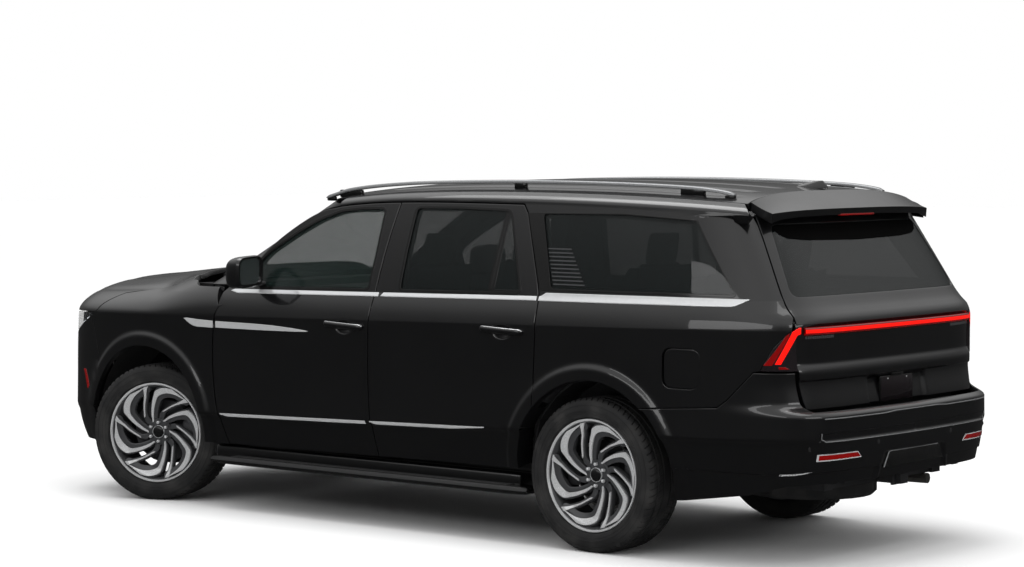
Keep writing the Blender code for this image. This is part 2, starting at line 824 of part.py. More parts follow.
def add_roof():
    roof = roof_shell("roof_panel", 0)
    keep(roof, prism_mesh("roof_edge", inset(roof_outline(), SEAT_GAP / 2), 1.5, 2.1, "z"))
    # A low antenna fin that rises towards the rear of the roof
    low = roof_height(-2.14) - 0.02
    profile = [(-2.045, low), (-2.045, low + 0.022), (-2.14, 1.925), (-2.21, 1.942), (-2.245, 1.930), (-2.25, low)]
    fin = add_object("antenna", prism_mesh("antenna", profile, -0.022, 0.022, "y"), "black_paint")
    ears = [add_box("gate_hinge", *mirror_box((-2.258, 0.4423, 1.822), (-2.236, 0.4543, 1.868), side), None) for side in (1, -1)]
    join_on(roof, [fin] + ears)


def mirror_box(low, high, side):
    # The two corners of a box, on the left for side 1 and on the right for side -1
    if side > 0:
        return low, high
    return (low[0], -high[1], low[2]), (high[0], -low[1], high[2])


def add_roof_rails():
    xs = [0.69, 0.62, 0.52, 0.35, 0.0, -0.60, -1.30, -1.90, -2.10, -2.17]
    lift = [0.018, 0.024, 0.034, 0.034, 0.034, 0.034, 0.034, 0.034, 0.026, 0.018]
    points = [(x, 0.700, roof_z(x, 0.700) + rise) for x, rise in zip(xs, lift)]
    rail = add_object("roof_rail_left", beam_mesh("roof_rail_left", points, 0.019, 0.010), "black_paint")
    for x in (0.45, -0.75, -1.85):
        foot = add_box("rail_foot", (x - 0.05, 0.688, roof_z(x, 0.700) - 0.02), (x + 0.05, 0.712, roof_z(x, 0.700) + 0.034), "black_paint")
        cut(foot, room_of(roof_shell("roof", 2 * SEAT_GAP)))
        change(rail, foot, "UNION")
        settle(rail)
        bpy.data.objects.remove(foot)
    mirrored(rail, "roof_rail_right")


def beam_mesh(name, points, half_width, half_height):
    # A square bar along the points, its section kept upright
    mesh = bpy.data.meshes.new(name)
    corners = []
    for x, y, z in points:
        corners += [(x, y - half_width, z - half_height), (x, y + half_width, z - half_height),
                    (x, y + half_width, z + half_height), (x, y - half_width, z + half_height)]
    faces = [(0, 1, 2, 3), tuple(range(len(corners) - 4, len(corners)))]
    for i in range(len(points) - 1):
        for j in range(4):
            a, b = 4 * i + j, 4 * i + (j + 1) % 4
            faces.append((a, b, b + 4, a + 4))
    mesh.from_pydata(corners, [], faces)
    face_out(mesh)
    return mesh


def add_windshield():
    def place(s, r):
        top = roof_edge(s, upper_point)[2]
        x, y, z = upper_point(s, 1.28 + (top - 1.28) * r)
        return (x - GLASS_RECESS, y, z)

    glass = add_shell("windshield", spread(-0.88, 0.88, 8), spread(0, 1, 2), place, GLASS_WALL, "tinted_glass")
    glass.data.flip_normals()
    keep(glass, prism_mesh("windshield_edge", inset(windshield_outline(), SEAT_GAP), 0.3, 2.0, "x"))
    cut(glass, prism_mesh("windshield_top", inset(roof_outline(), -0.004), 1.5, 2.1, "z"))
    settle(glass)


def add_quarter_glass():
    window = rounded([(-1.150, 1.362), (-1.110, 1.500), (-1.025, 1.758)] + quarter_window_outline()[3:], 0.03)
    pane = add_shell("quarter_glass_left", spread(-2.46, -0.98, 2), spread(1.34, 1.79, 2), glass_place, GLASS_WALL, "tinted_glass")
    keep(pane, side_prism("quarter_glass_edge", window, -SEAT_GAP))
    mirrored(pane, "quarter_glass_right")


# Front end


def hood_outline():
    left = [(1.695, 0.73), (1.735, 0.795), (1.80, 0.820), (2.0, 0.835), (2.24, 0.845), (2.40, 0.945), (3.0, 0.945)]
    right = [(x, -y) for x, y in reversed(left)]
    return [(1.660, 0.45), *left, *right, (1.660, -0.45), (1.650, 0.0)]


def head_lamp_outline():
    top = [(x, crease_height(x) - PANEL_GAP) for x in (3.0, 2.80, 2.60, 2.405)]
    return top + [(2.60, 1.010), (2.80, 0.935), (3.0, 0.92)]


def front_bumper_outline():
    return [(2.30, 0.10), (2.355, 0.765), (2.462, crease_height(2.462) - PANEL_GAP), (3.0, crease_height(3.0) - PANEL_GAP), (3.0, 0.10)]


def grille_outline():
    return rounded([(-0.455, 0.600), (0.455, 0.600), (0.500, 1.060), (-0.500, 1.060)], 0.05)


def front_place(s, r):
    x = lower_point(s, 0.9)[0]
    return lower_point(s, SKIRT_Z + (crease_height(x) - PANEL_GAP - SKIRT_Z) * r)


def fender_shell(name, wall):
    rows = [0.0, 0.35, 0.65, 1.0, 1.12, 1.26, 1.45, 1.70]
    return add_shell(name, spread(1.22, 2.54, 8), rows, fender_point, wall, "black_paint")


def add_fenders():
    fender = fender_shell("front_fender_left", FENDER_WALL)
    cut(fender, side_prism("fender_door", front_door_outline(), PANEL_GAP / 2))
    cut(fender, prism_mesh("fender_hood", inset(hood_outline(), -PANEL_GAP / 2), 0.9, 1.6, "z"))
    cut(fender, side_prism("fender_bumper", front_bumper_outline(), 0.0015))
    cut(fender, side_prism("fender_lamp", head_lamp_outline(), SEAT_GAP))
    cut(fender, prism_mesh("fender_arch", front_arch(), 0.5, 1.3, "y"))
    above = [(1.10, 1.2895), (1.56, 1.2895), (1.56, 1.6), (1.10, 1.6)]
    cut(fender, side_prism("fender_pillar", above, 0))
    below = [(1.10, 0.20), (1.46, 0.20), (1.46, 0.362), (1.10, 0.376)]
    cut(fender, side_prism("fender_sill", below, 0))
    settle(fender)
    liner = add_shell(
        "wheel_liner", spread(17, 161, 9), [0, 1], liner_place, 0.012, "black_plastic", True
    )
    join_on(fender, [liner])
    mirrored(fender, "front_fender_right")


def liner_place(angle, share):
    # Inner wheel arch, an arc that follows the wheel opening out to the fender's skin
    a = math.radians(angle)
    radius = ARCH_RADIUS + 0.006
    x, z = FRONT_AXLE_X + radius * math.cos(a), FRONT_ARCH_Z + radius * math.sin(a)
    outer = nose_width(x, z) - (0.6 * FENDER_WALL if x < 2.24 else BUMPER_WALL + 0.030)
    return (x, 0.60 + (outer - 0.60) * share, z)


def add_hood():
    def place(x, k):
        x, y, z = hood_point(x, 1 - abs(k))
        return (x, math.copysign(y, k), z)

    columns = spread(1.60, 2.60, 7) + [2.70, 2.76, 2.79, 2.805, 2.812]
    rows = [-1.0, -0.93, -0.8, -0.6, -0.3, 0.0, 0.3, 0.6, 0.8, 0.93, 1.0]
    hood = add_shell("hood", columns, rows, place, HOOD_WALL, "black_paint", True)
    keep(hood, prism_mesh("hood_edge", inset(hood_outline(), PANEL_GAP / 2), 0.9, 1.6, "z"))
    low = PANEL_GAP / 2
    under = [(2.25, 0.8), (3.0, 0.8), (3.0, crease_height(3.0) + low), (2.25, crease_height(2.25) + low)]
    cut(hood, prism_mesh("hood_front", under, -1.3, 1.3, "y"))
    x, z = HOOD_HINGE
    ears = [add_box("hood_ear", *mirror_box((x - 0.010, 0.560, z - 0.010), (1.705, 0.572, z + 0.022), side), None) for side in (1, -1)]
    join_on(hood, ears)


def front_bumper_shell(name, wall):
    sides = [0.0, 0.45, 0.78, 0.92, 1.02, 1.15, 1.55]
    columns = [-s for s in reversed(sides[1:])] + sides
    return add_shell(name, columns, spread(0, 1, 5), front_place, wall, "black_paint", True)


def add_front_bumper():
    bumper = front_bumper_shell("front_bumper", BUMPER_WALL)
    cut(bumper, prism_mesh("bumper_arch_left", front_arch(), 0.3, 1.3, "y"))
    cut(bumper, prism_mesh("bumper_arch_right", front_arch(), -1.3, -0.3, "y"))
    outline = inset(front_bumper_outline(), 0.0015)
    keep(bumper, prism_mesh("bumper_sides", outline, -1.3, 1.3, "y"))
    lamp = inset(head_lamp_outline(), -SEAT_GAP)
    cut(bumper, prism_mesh("bumper_lamp_left", lamp, 0.56, 1.3, "y"))
    cut(bumper, prism_mesh("bumper_lamp_right", lamp, -1.3, -0.56, "y"))
    cut(bumper, prism_mesh("bumper_grille", grille_outline(), 2.4, 3.0, "x"))
    intake = rounded([(-0.62, 0.36), (0.62, 0.36), (0.56, 0.50), (-0.56, 0.50)], 0.03)
    cut(bumper, prism_mesh("bumper_intake", intake, 2.5, 3.0, "x"))
    settle(bumper)
    sides = [0.45, 0.78, 0.92, 1.02, 1.15]
    columns = [-s for s in reversed(sides)] + [0.0] + sides
    dam = add_shell("air_dam", columns, [0.17, 0.34], dam_place, 0.02, "black_plastic", True)
    join_on(bumper, [dam])


def dam_place(s, z):
    x, y, _ = lower_point(s, 0.32)
    return (x - 0.045 - 0.25 * (0.34 - z), y * (1 - 0.3 * (0.34 - z)) - math.copysign(0.012, s), z)


def add_grille():
    def place(s, z):
        x, y, z = lower_point(s, z)
        return (x - 0.012, y, z)

    grille = add_shell("grille", spread(-0.62, 0.62, 4), spread(0.59, 1.07, 2), place, 0.045, "chrome", True)
    keep(grille, prism_mesh("grille_edge", inset(grille_outline(), SEAT_GAP), 2.4, 3.0, "x"))
    slots = bpy.data.meshes.new("grille_slots")
    work = bmesh.new()
    pitch, bar = 0.066, 0.020
    for row in range(6):
        low = 0.634 + row * pitch
        half = 0.425 + 0.09 * (low - 0.6)
        for side in (-1, 1):
            found = bmesh.ops.create_cube(work, size=1.0)["verts"]
            bmesh.ops.scale(work, vec=(0.4, half - 0.012, pitch - bar), verts=found)
            bmesh.ops.translate(work, vec=(2.75, side * (half + 0.012) / 2, low + (pitch - bar) / 2), verts=found)
    work.to_mesh(slots)
    work.free()
    cut(grille, slots)
    settle(grille)


def add_head_lamps():
    lamp = add_shell(
        "headlamp_left", [0.58, 0.78, 0.90, 1.0, 1.10, 1.25, 1.5], spread(0.75, 1.0, 3), front_place, 0.050, "clear_lens", True
    )
    keep(lamp, prism_mesh("lamp_edge", inset(head_lamp_outline(), SEAT_GAP), 0.5606, 1.3, "y"))
    mirrored(lamp, "headlamp_right")


def add_cowl():
    cowl = add_box("cowl_panel", (1.445, -0.775, 1.262), (1.69, 0.775, 1.2945), "black_plastic")
    x, z = HOOD_HINGE
    ears = [add_box("cowl_ear", *mirror_box((x - 0.002, 0.5723, 1.28), (x + 0.018, 0.584, z + 0.010), side), None) for side in (1, -1)]
    join_on(cowl, ears)


# Rear end


def bumper_face(z):
    return gate_face(z) - 0.093 * blend(0.835, 0.775, z) + 0.25 * max(0.0, 0.62 - z) ** 1.5


def bumper_place(s, z):
    x, y, z = outline_point(s, z, front_face, bumper_face, (FRONT_CROWN, BUMPER_CROWN))
    return (x, y, z)


def gate_place(s, r):
    top = roof_edge(s, lower_point)[2]
    return lower_point(s, 0.80 + (top - 0.80) * r)


def add_liftgate():
    columns = [4.0, 4.12, 4.35, 4.67, 5.0, 5.33, 5.65, 5.88, 6.0]
    rows = [0.0, 0.20, 0.38, 0.46, 0.54, 0.78, 1.0]
    gate = add_shell("liftgate", columns, rows, gate_place, GATE_WALL, "black_paint", True)
    keep(gate, prism_mesh("gate_edge", gate_outline(-PANEL_GAP / 2), -3.2, -2.0, "x"))
    cut(gate, prism_mesh("gate_window", rear_window(), -3.2, -2.0, "x"))
    bar = rounded([(-0.79, 1.178), (0.79, 1.178), (0.79, 1.222), (-0.79, 1.222)], 0.01)
    lamp_pocket = shell_cutter("gate_lamp_pocket", bar, 0.020 + SEAT_GAP, SEAT_GAP)
    cut(gate, lamp_pocket)
    settle(gate)

    def place(k, t):
        start, end = rear_edge_x(k) + GATE_SEAM - PANEL_GAP, -2.445 + 0.045 * k * k
        x, y, z = roof_point(start, k)
        return (start + (end - start) * t, y, z + (1.832 - 0.055 * k * k - z) * t)

    spoiler = add_shell("spoiler", [-0.63, -0.3, 0.0, 0.3, 0.63], [0.0, 0.35, 0.7, 1.0], place, 0.032, "black_paint")
    join_on(gate, [spoiler])
    cut(gate, prism_mesh("gate_roof", inset(roof_outline(), -PANEL_GAP), 1.6, 2.1, "z"))
    ears = [add_box("gate_ear", *mirror_box((-2.320, 0.430, 1.818), (-2.236, 0.442, 1.842), side), None) for side in (1, -1)]
    join_on(gate, ears)
    pane = add_shell("liftgate_glass", columns[1:-1], spread(0.52, 0.97, 3), gate_glass_place, GLASS_WALL, "tinted_glass", True)
    keep(pane, prism_mesh("gate_glass_edge", inset(rear_window(), SEAT_GAP), -3.2, -2.0, "x"))
    settle(pane)
    light = add_shell("light_bar", columns[1:-1], [1.16, 1.20, 1.24], lower_point, 0.015, "red_lens", True)
    keep(light, prism_mesh("light_bar_edge", inset(bar, SEAT_GAP), -3.2, -2.0, "x"))
    settle(light)


def gate_glass_place(s, r):
    x, y, z = gate_place(s, r)
    return (x + GLASS_RECESS, y, z)


def shell_cutter(name, outline, depth, grow):
    # A shallow pocket that follows the tail's curve, for a lamp of the same outline
    heights = [p[1] for p in outline]
    rows = spread(min(heights) - 0.02, max(heights) + 0.02, 2)
    columns = [4.02, 4.12, 4.35, 4.67, 5.0, 5.33, 5.65, 5.88, 5.98]

    def place(s, z):
        x, y, z = lower_point(s, z)
        return (x - 0.02, y * 1.005, z)

    shell = add_shell(name, columns, rows, place, depth + 0.02, None, True)
    keep(shell, prism_mesh(name + "_edge", inset(outline, -grow), -3.2, -2.0, "x"))
    settle(shell)
    mesh = shell.data.copy()
    mesh.name = name
    bpy.data.objects.remove(shell)
    return mesh


def add_tail_lamps():
    lamp = add_shell(
        "tail_lamp_left", [3.74, 3.85, 3.94, 4.0, 4.06, 4.16, 4.3], spread(0.98, 1.26, 4), lower_point, 0.045, "red_lens", True
    )
    keep(lamp, prism_mesh("tail_lamp_edge", inset(tail_lamp_outline(), SEAT_GAP), 0.70, 1.3, "y"))
    cut(lamp, prism_mesh("tail_lamp_gate", gate_outline(PANEL_GAP / 2), -3.2, -2.0, "x"))
    mirrored(lamp, "tail_lamp_right")


def rear_bumper_shell(name, wall):
    left = [3.40, 3.64, 3.82, 3.94, 4.02, 4.12, 4.35, 4.67, 5.0]
    columns = left + [10 - s for s in reversed(left[:-1])]
    rows = [0.30, 0.47, 0.62, 0.765, 0.80, 0.84, 1.0]
    return add_shell(name, columns, rows, bumper_place, wall, "black_paint", True)


def add_rear_bumper():
    bumper = rear_bumper_shell("rear_bumper", BUMPER_WALL)
    keep(bumper, prism_mesh("rear_bumper_sides", inset(rear_bumper_outline(), 0.002), -1.3, 1.3, "y"))
    opening = [(-y, z) for y, z in [(0.806, 0.803), (0.832, 1.0), (0.85, 1.3)]] + [(0.85, 1.3), (0.832, 1.0), (0.806, 0.803)]
    cut(bumper, prism_mesh("rear_bumper_gate", opening, -3.2, -2.0, "x"))
    for name, low, high in (("left", 0.3, 1.3), ("right", -1.3, -0.3)):
        cut(bumper, prism_mesh("rear_bumper_arch_" + name, rear_arch(), low, high, "y"))
    hitch = rounded([(-0.31, 0.425), (0.31, 0.425), (0.273, 0.560), (-0.273, 0.560)], 0.02)
    cut(bumper, prism_mesh("hitch_cover_recess", hitch, -3.0, -2.785, "x"))
    settle(bumper)


def fuel_shell(name, wall):
    door = add_shell(name, spread(-2.18, -1.90, 3), spread(0.87, 1.12, 3), side_place, wall, "black_paint")
    keep(door, side_prism("fuel_door_edge", fuel_door_outline(), 0))
    return settle(door)


def add_fuel_door():
    fuel_shell("fuel_door", FUEL_DOOR_WALL)


# Pieces fixed outside the body


def add_running_boards():
    board = add_object(
        "running_board_left",
        beam_mesh("running_board_left", [(1.36, 0.935, 0.285), (1.28, 0.945, 0.285), (-0.94, 0.945, 0.285), (-1.02, 0.925, 0.285)], 0.062, 0.024),
        "black_plastic",
    )
    cut(board, box_mesh("board_sill", (-1.1, 0.70, 0.2), (1.5, 0.9253, 0.4)))
    edges = board.modifiers.new("edges", "BEVEL")
    edges.width = 0.008
    edges.segments = 1
    for x in (1.0, 0.1, -0.7):
        arm = box_mesh("board_arm", (x - 0.03, 0.60, 0.262), (x + 0.03, 0.96, 0.2697))
        change(board, add_cutter(arm), "UNION")
    mirrored(board, "running_board_right")


def add_mirrors():
    skin = side_width(0.985, 1.292) + 0.001
    housing = add_object("mirror_left", bpy.data.meshes.new("mirror_left"), "black_paint")
    work = bmesh.new()
    bmesh.ops.create_cube(work, size=1.0)
    bmesh.ops.scale(work, vec=(0.150, 0.235, 0.185), verts=work.verts)
    for vertex in work.verts:
        if vertex.co.x > 0:
            vertex.co.y *= 0.80
            vertex.co.z *= 0.70
    bmesh.ops.translate(work, vec=(1.015, 1.072, 1.395), verts=work.verts)
    work.to_mesh(housing.data)
    work.free()
    edges = housing.modifiers.new("edges", "BEVEL")
    edges.width = 0.035
    edges.segments = 2
    arm = box_mesh("mirror_arm", (0.985, skin + 0.0005, 1.292), (1.065, 1.02, 1.330))
    change(housing, add_cutter(arm), "UNION")
    mirrored(housing, "mirror_right")


# Wheels: built about their own centre with the Y axis as their axle, then set on the hubs


def tyre_profile():
    half = TYRE_WIDTH / 2
    inner, bead = 0.2830, BEAD_HALF_WIDTH
    top = [(inner, bead), (RIM_LIP_RADIUS + 0.0005, bead), (RIM_LIP_RADIUS + 0.006, half - 0.012), (0.345, half)]
    shoulder = [(TYRE_RADIUS - 0.016, half - 0.008), (TYRE_RADIUS, half - 0.045)]
    upper = top + shoulder
    return upper + [(r, -w) for r, w in reversed(upper)]


def rim_profile():
    seat, lip, bead = 0.2827, RIM_LIP_RADIUS, BEAD_HALF_WIDTH + SEAT_GAP
    outer = [(seat - RIM_WALL, bead + 0.012), (lip, bead + 0.012), (lip, bead), (seat, bead)]
    return outer + [(r, -w) for r, w in reversed(outer)]


def polar(radius, degrees):
    return (radius * math.cos(math.radians(degrees)), radius * math.sin(math.radians(degrees)))


def hook_spoke(turn):
    # A broad spoke that bends clockwise into the rim, as (x, z) in the wheel's plane
    lead = [(0.050, 134), (0.116, 114), (0.2325, 95), (0.256, 88), (0.276, 77)]
    trail = [(0.276, 62), (0.251, 67), (0.232, 81), (0.210, 91), (0.141, 101), (0.050, 118)]
    return [polar(r, turn + a) for r, a in reversed(lead + trail)]


def thin_spoke(turn):
    lead = [(0.050, 152), (0.125, 142), (0.276, 107)]
    trail = [(0.276, 101), (0.125, 133), (0.050, 122)]
    return [polar(r, turn + a) for r, a in reversed(lead + trail)]


def add_rim(name, hand):
    # hand is 1 for a left wheel and -1 for a right one, so that both pairs of hooks trail the same way
    rim = add_turned(name, rim_profile(), 20, "wheel_metal")
    hub = add_object("hub", rod_mesh("hub", (0, hand * 0.050, 0), (0, hand * 0.082, 0), 0.078, 10), None)
    pieces = [hub]
    for i in range(6):
        turn = 60 * i
        for outline, low, high in ((hook_spoke(turn), 0.056, 0.090), (thin_spoke(turn), 0.058, 0.084)):
            shape = [(-hand * x, z) for x, z in outline]
            ends = sorted((hand * low, hand * high))
            pieces.append(add_object("spoke", prism_mesh("spoke", shape, *ends, "y"), None))
    return join_on(rim, pieces)


def wheel_place(side, front):
    # Where a wheel's centre lies, and how it is turned
    if not front:
        return Matrix.Translation((REAR_AXLE_X, side * HALF_TRACK, AXLE_Z))
    pin = Matrix.Translation((FRONT_AXLE_X, side * KINGPIN_Y, AXLE_Z))
    turn = Matrix.Rotation(STEER_AT_REST, 4, "Z")
    return pin @ turn @ Matrix.Translation((0, side * (HALF_TRACK - KINGPIN_Y), 0))


def add_wheels():
    tyre = add_turned("tyre_front_left", tyre_profile(), 20, "tyre_rubber")
    rims = {1: add_rim("rim_front_left", 1), -1: add_rim("rim_front_right", -1)}
    shapes = {1: rims[1].data.copy(), -1: rims[-1].data.copy()}
    tyre_shape = tyre.data.copy()
    for item in (tyre, *rims.values()):
        bpy.data.objects.remove(item)
    for front in (True, False):
        for side in (1, -1):
            label = ("front" if front else "rear") + ("_left" if side > 0 else "_right")
            for kind, shape, material in (("tyre_", tyre_shape, "tyre_rubber"), ("rim_", shapes[side], "wheel_metal")):
                item = add_object(kind + label, shape.copy(), material)
                item.matrix_world = wheel_place(side, front)
                if kind == "tyre_":
                    flatten(item)


def flatten(tyre):
    # The tyre stands on a flat tread
    mesh = tyre.data
    mesh.transform(tyre.matrix_world)
    for vertex in mesh.vertices:
        vertex.co.z = max(0.0, vertex.co.z)
    tyre.matrix_world = Matrix.Identity(4)


def add_knuckles():
    # Upright, hub, brake disc and caliper, steered with the wheel
    knuckle = add_object("front_knuckle_left", rod_mesh("disc", (0, -0.032, 0), (0, -0.002, 0), 0.190, 16), "cast_metal")
    pin_y = KINGPIN_Y - HALF_TRACK
    others = [
        add_rod("hub_barrel", (0, -0.09, 0), (0, 0.0497, 0), 0.055, None, 10),
        add_object("upright", box_mesh("upright", (-0.045, pin_y - 0.022, -0.175), (0.045, pin_y + 0.030, 0.190)), None),
        add_object("caliper", box_mesh("caliper", (-0.235, -0.060, -0.075), (-0.145, 0.036, 0.085)), None),
        add_object("caliper_arm", box_mesh("caliper_arm", (-0.17, pin_y - 0.01, -0.05), (0.0, -0.04, 0.05)), None),
    ]
    join_on(knuckle, others)
    shape = knuckle.data.copy()
    knuckle.data.transform(wheel_place(1, True))
    shape.transform(Matrix.Scale(-1, 4, (0, 1, 0)))
    shape.flip_normals()
    shape.transform(wheel_place(-1, True))
    add_object("front_knuckle_right", shape, "cast_metal")


# Chassis


RAIL_Y, RAIL_MID_Y, RAIL_Z = 0.420, 0.520, 0.430
RAIL_HALF_WIDTH, RAIL_HALF_HEIGHT = 0.040, 0.055
FLOOR_LOW = 0.500
CROSS_LOW = RAIL_Z - RAIL_HALF_HEIGHT


def add_frame():
    def rail_points(side):
        path = [(2.60, RAIL_Y), (1.40, RAIL_Y), (1.05, RAIL_MID_Y), (-2.62, RAIL_MID_Y)]
        return [(x, side * y, RAIL_Z) for x, y in path]

    frame = add_object("chassis_frame", beam_mesh("chassis_frame", rail_points(1), RAIL_HALF_WIDTH, RAIL_HALF_HEIGHT), "chassis_steel")
    others = [add_object("rail", beam_mesh("rail", rail_points(-1), RAIL_HALF_WIDTH, RAIL_HALF_HEIGHT), None)]
    for x, y in ((2.50, RAIL_Y), (1.10, RAIL_MID_Y), (0.20, RAIL_MID_Y), (-0.72, RAIL_MID_Y), (-1.72, RAIL_MID_Y), (-2.56, RAIL_MID_Y)):
        others.append(add_object("cross", box_mesh("cross", (x - 0.04, -y, CROSS_LOW + 0.001), (x + 0.04, y, CROSS_LOW + 0.025)), None))
    for side in (-1, 1):
        low, high = (2.56, RAIL_Y - 0.03, RAIL_Z - 0.04), (2.765, RAIL_Y + 0.03, RAIL_Z + 0.04)
        horn = add_box("front_horn", *mirror_box(low, high, side), None)
        cut(horn, room_of(front_bumper_shell("front_bumper", BUMPER_WALL + SEAT_GAP)))
        low, high = (-2.762, RAIL_MID_Y - 0.03, RAIL_Z - 0.005), (-2.58, RAIL_MID_Y + 0.03, RAIL_Z + 0.04)
        tail = add_box("rear_horn", *mirror_box(low, high, side), None)
        cut(tail, room_of(rear_bumper_shell("rear_bumper", BUMPER_WALL + SEAT_GAP)))
        others += [horn, tail]
    others.append(add_object("receiver", box_mesh("receiver", (-2.745, -0.035, 0.372), (-2.50, 0.035, 0.424)), None))
    for side in (-1, 1):
        for x in (1.20, -0.60, -2.30):
            low, high = sorted((side * (RAIL_MID_Y - 0.03), side * (RAIL_MID_Y + 0.06)))
            if x > 1:
                low, high = sorted((side * 0.46, side * 0.55))
            others.append(add_object("body_mount", box_mesh("body_mount", (x - 0.04, low, RAIL_Z), (x + 0.04, high, FLOOR_LOW - SEAT_GAP)), None))
        for x in (1.0, 0.1, -0.7):
            low, high = sorted((side * 0.53, side * 0.5997))
            others.append(add_object("board_bracket", box_mesh("board_bracket", (x - 0.025, low, 0.262), (x + 0.025, high, 0.2697)), None))
            low, high = sorted((side * 0.53, side * 0.545))
            others.append(add_object("board_hanger", box_mesh("board_hanger", (x - 0.024, low, 0.263), (x + 0.024, high, 0.40)), None))
    join_on(frame, others)
    cut(frame, box_mesh("axle_notch", (REAR_AXLE_X - 0.05, -0.6, 0.36), (REAR_AXLE_X + 0.05, 0.6, AXLE_Z + 0.033)))
    settle(frame)


def add_floor():
    floor = add_object("cabin_floor", box_mesh("cabin_floor", (-2.58, -0.7797, FLOOR_LOW), (1.43, 0.7797, FLOOR_LOW + 0.028)), "black_plastic")
    for low, high in ((0.645, 0.90), (-0.90, -0.645)):
        cut(floor, prism_mesh("floor_wheel", arc((REAR_AXLE_X, REAR_ARCH_Z), ARCH_RADIUS + 0.010, 0, 360, 20)[:-1], low, high, "y"))
    settle(floor)
    others = [
        add_object("firewall", box_mesh("firewall", (1.405, -0.7797, 0.50), (1.4297, 0.7797, 1.2617)), None),
        add_object("rear_sill", box_mesh("rear_sill", (-2.60, -0.70, 0.50), (-2.57, 0.70, 0.790)), None),
    ]
    for side in (-1, 1):
        tub = add_shell("wheel_tub", spread(11, 169, 8), [side * 0.63, side * 1.0], tub_place, 0.014, None, side > 0)
        inner = prism_mesh("tub_side", arc((REAR_AXLE_X, REAR_ARCH_Z), ARCH_RADIUS + 0.012, 11, 169, 8), *sorted((side * 0.63, side * 0.645)), "y")
        others += [tub, add_object("tub_side", inner, None)]
    join_on(floor, others)


def tub_place(angle, y):
    a = math.radians(angle)
    radius = ARCH_RADIUS + 0.004
    x, z = REAR_AXLE_X + radius * math.cos(a), REAR_ARCH_Z + radius * math.sin(a)
    outer = side_width(x, z) - (SIDE_WALL + 0.014 if x < -1.15 else DOOR_WALL + 0.030)
    return (x, y if abs(y) < 0.9 else math.copysign(outer, y), z)


def add_front_suspension():
    item = add_object("front_suspension", box_mesh("cradle", (FRONT_AXLE_X - 0.14, -0.46, 0.300), (FRONT_AXLE_X + 0.14, 0.46, CROSS_LOW - SEAT_GAP)), "chassis_steel")
    others = []
    for side in (-1, 1):
        for z, root in ((0.215, 0.30), (0.605, 0.42)):
            outline = [(FRONT_AXLE_X - 0.15, root), (FRONT_AXLE_X + 0.15, root), (FRONT_AXLE_X + 0.040, KINGPIN_Y), (FRONT_AXLE_X - 0.040, KINGPIN_Y)]
            outline = [(x, side * y) for x, y in outline]
            others.append(add_object("arm", prism_mesh("arm", outline, z - 0.012, z + 0.012, "z"), None))
        lower = [(FRONT_AXLE_X, side * 0.42, 0.21), (FRONT_AXLE_X, side * 0.42, 0.32)]
        others.append(add_rod("arm_bush", *lower, 0.04, None, 8))
        tower = box_mesh("tower", (FRONT_AXLE_X - 0.10, min(side * 0.4603, side * 0.50), 0.32), (FRONT_AXLE_X + 0.10, max(side * 0.4603, side * 0.50), 0.63))
        foot = box_mesh("tower_foot", (FRONT_AXLE_X - 0.10, min(side * 0.40, side * 0.50), 0.32), (FRONT_AXLE_X + 0.10, max(side * 0.40, side * 0.50), CROSS_LOW - SEAT_GAP))
        others += [add_object("tower", tower, None), add_object("tower_foot", foot, None)]
        strut = [(FRONT_AXLE_X, side * 0.62, 0.215), (FRONT_AXLE_X, side * 0.505, 0.62)]
        others.append(add_rod("strut", *strut, 0.032, None, 8))
    join_on(item, others)


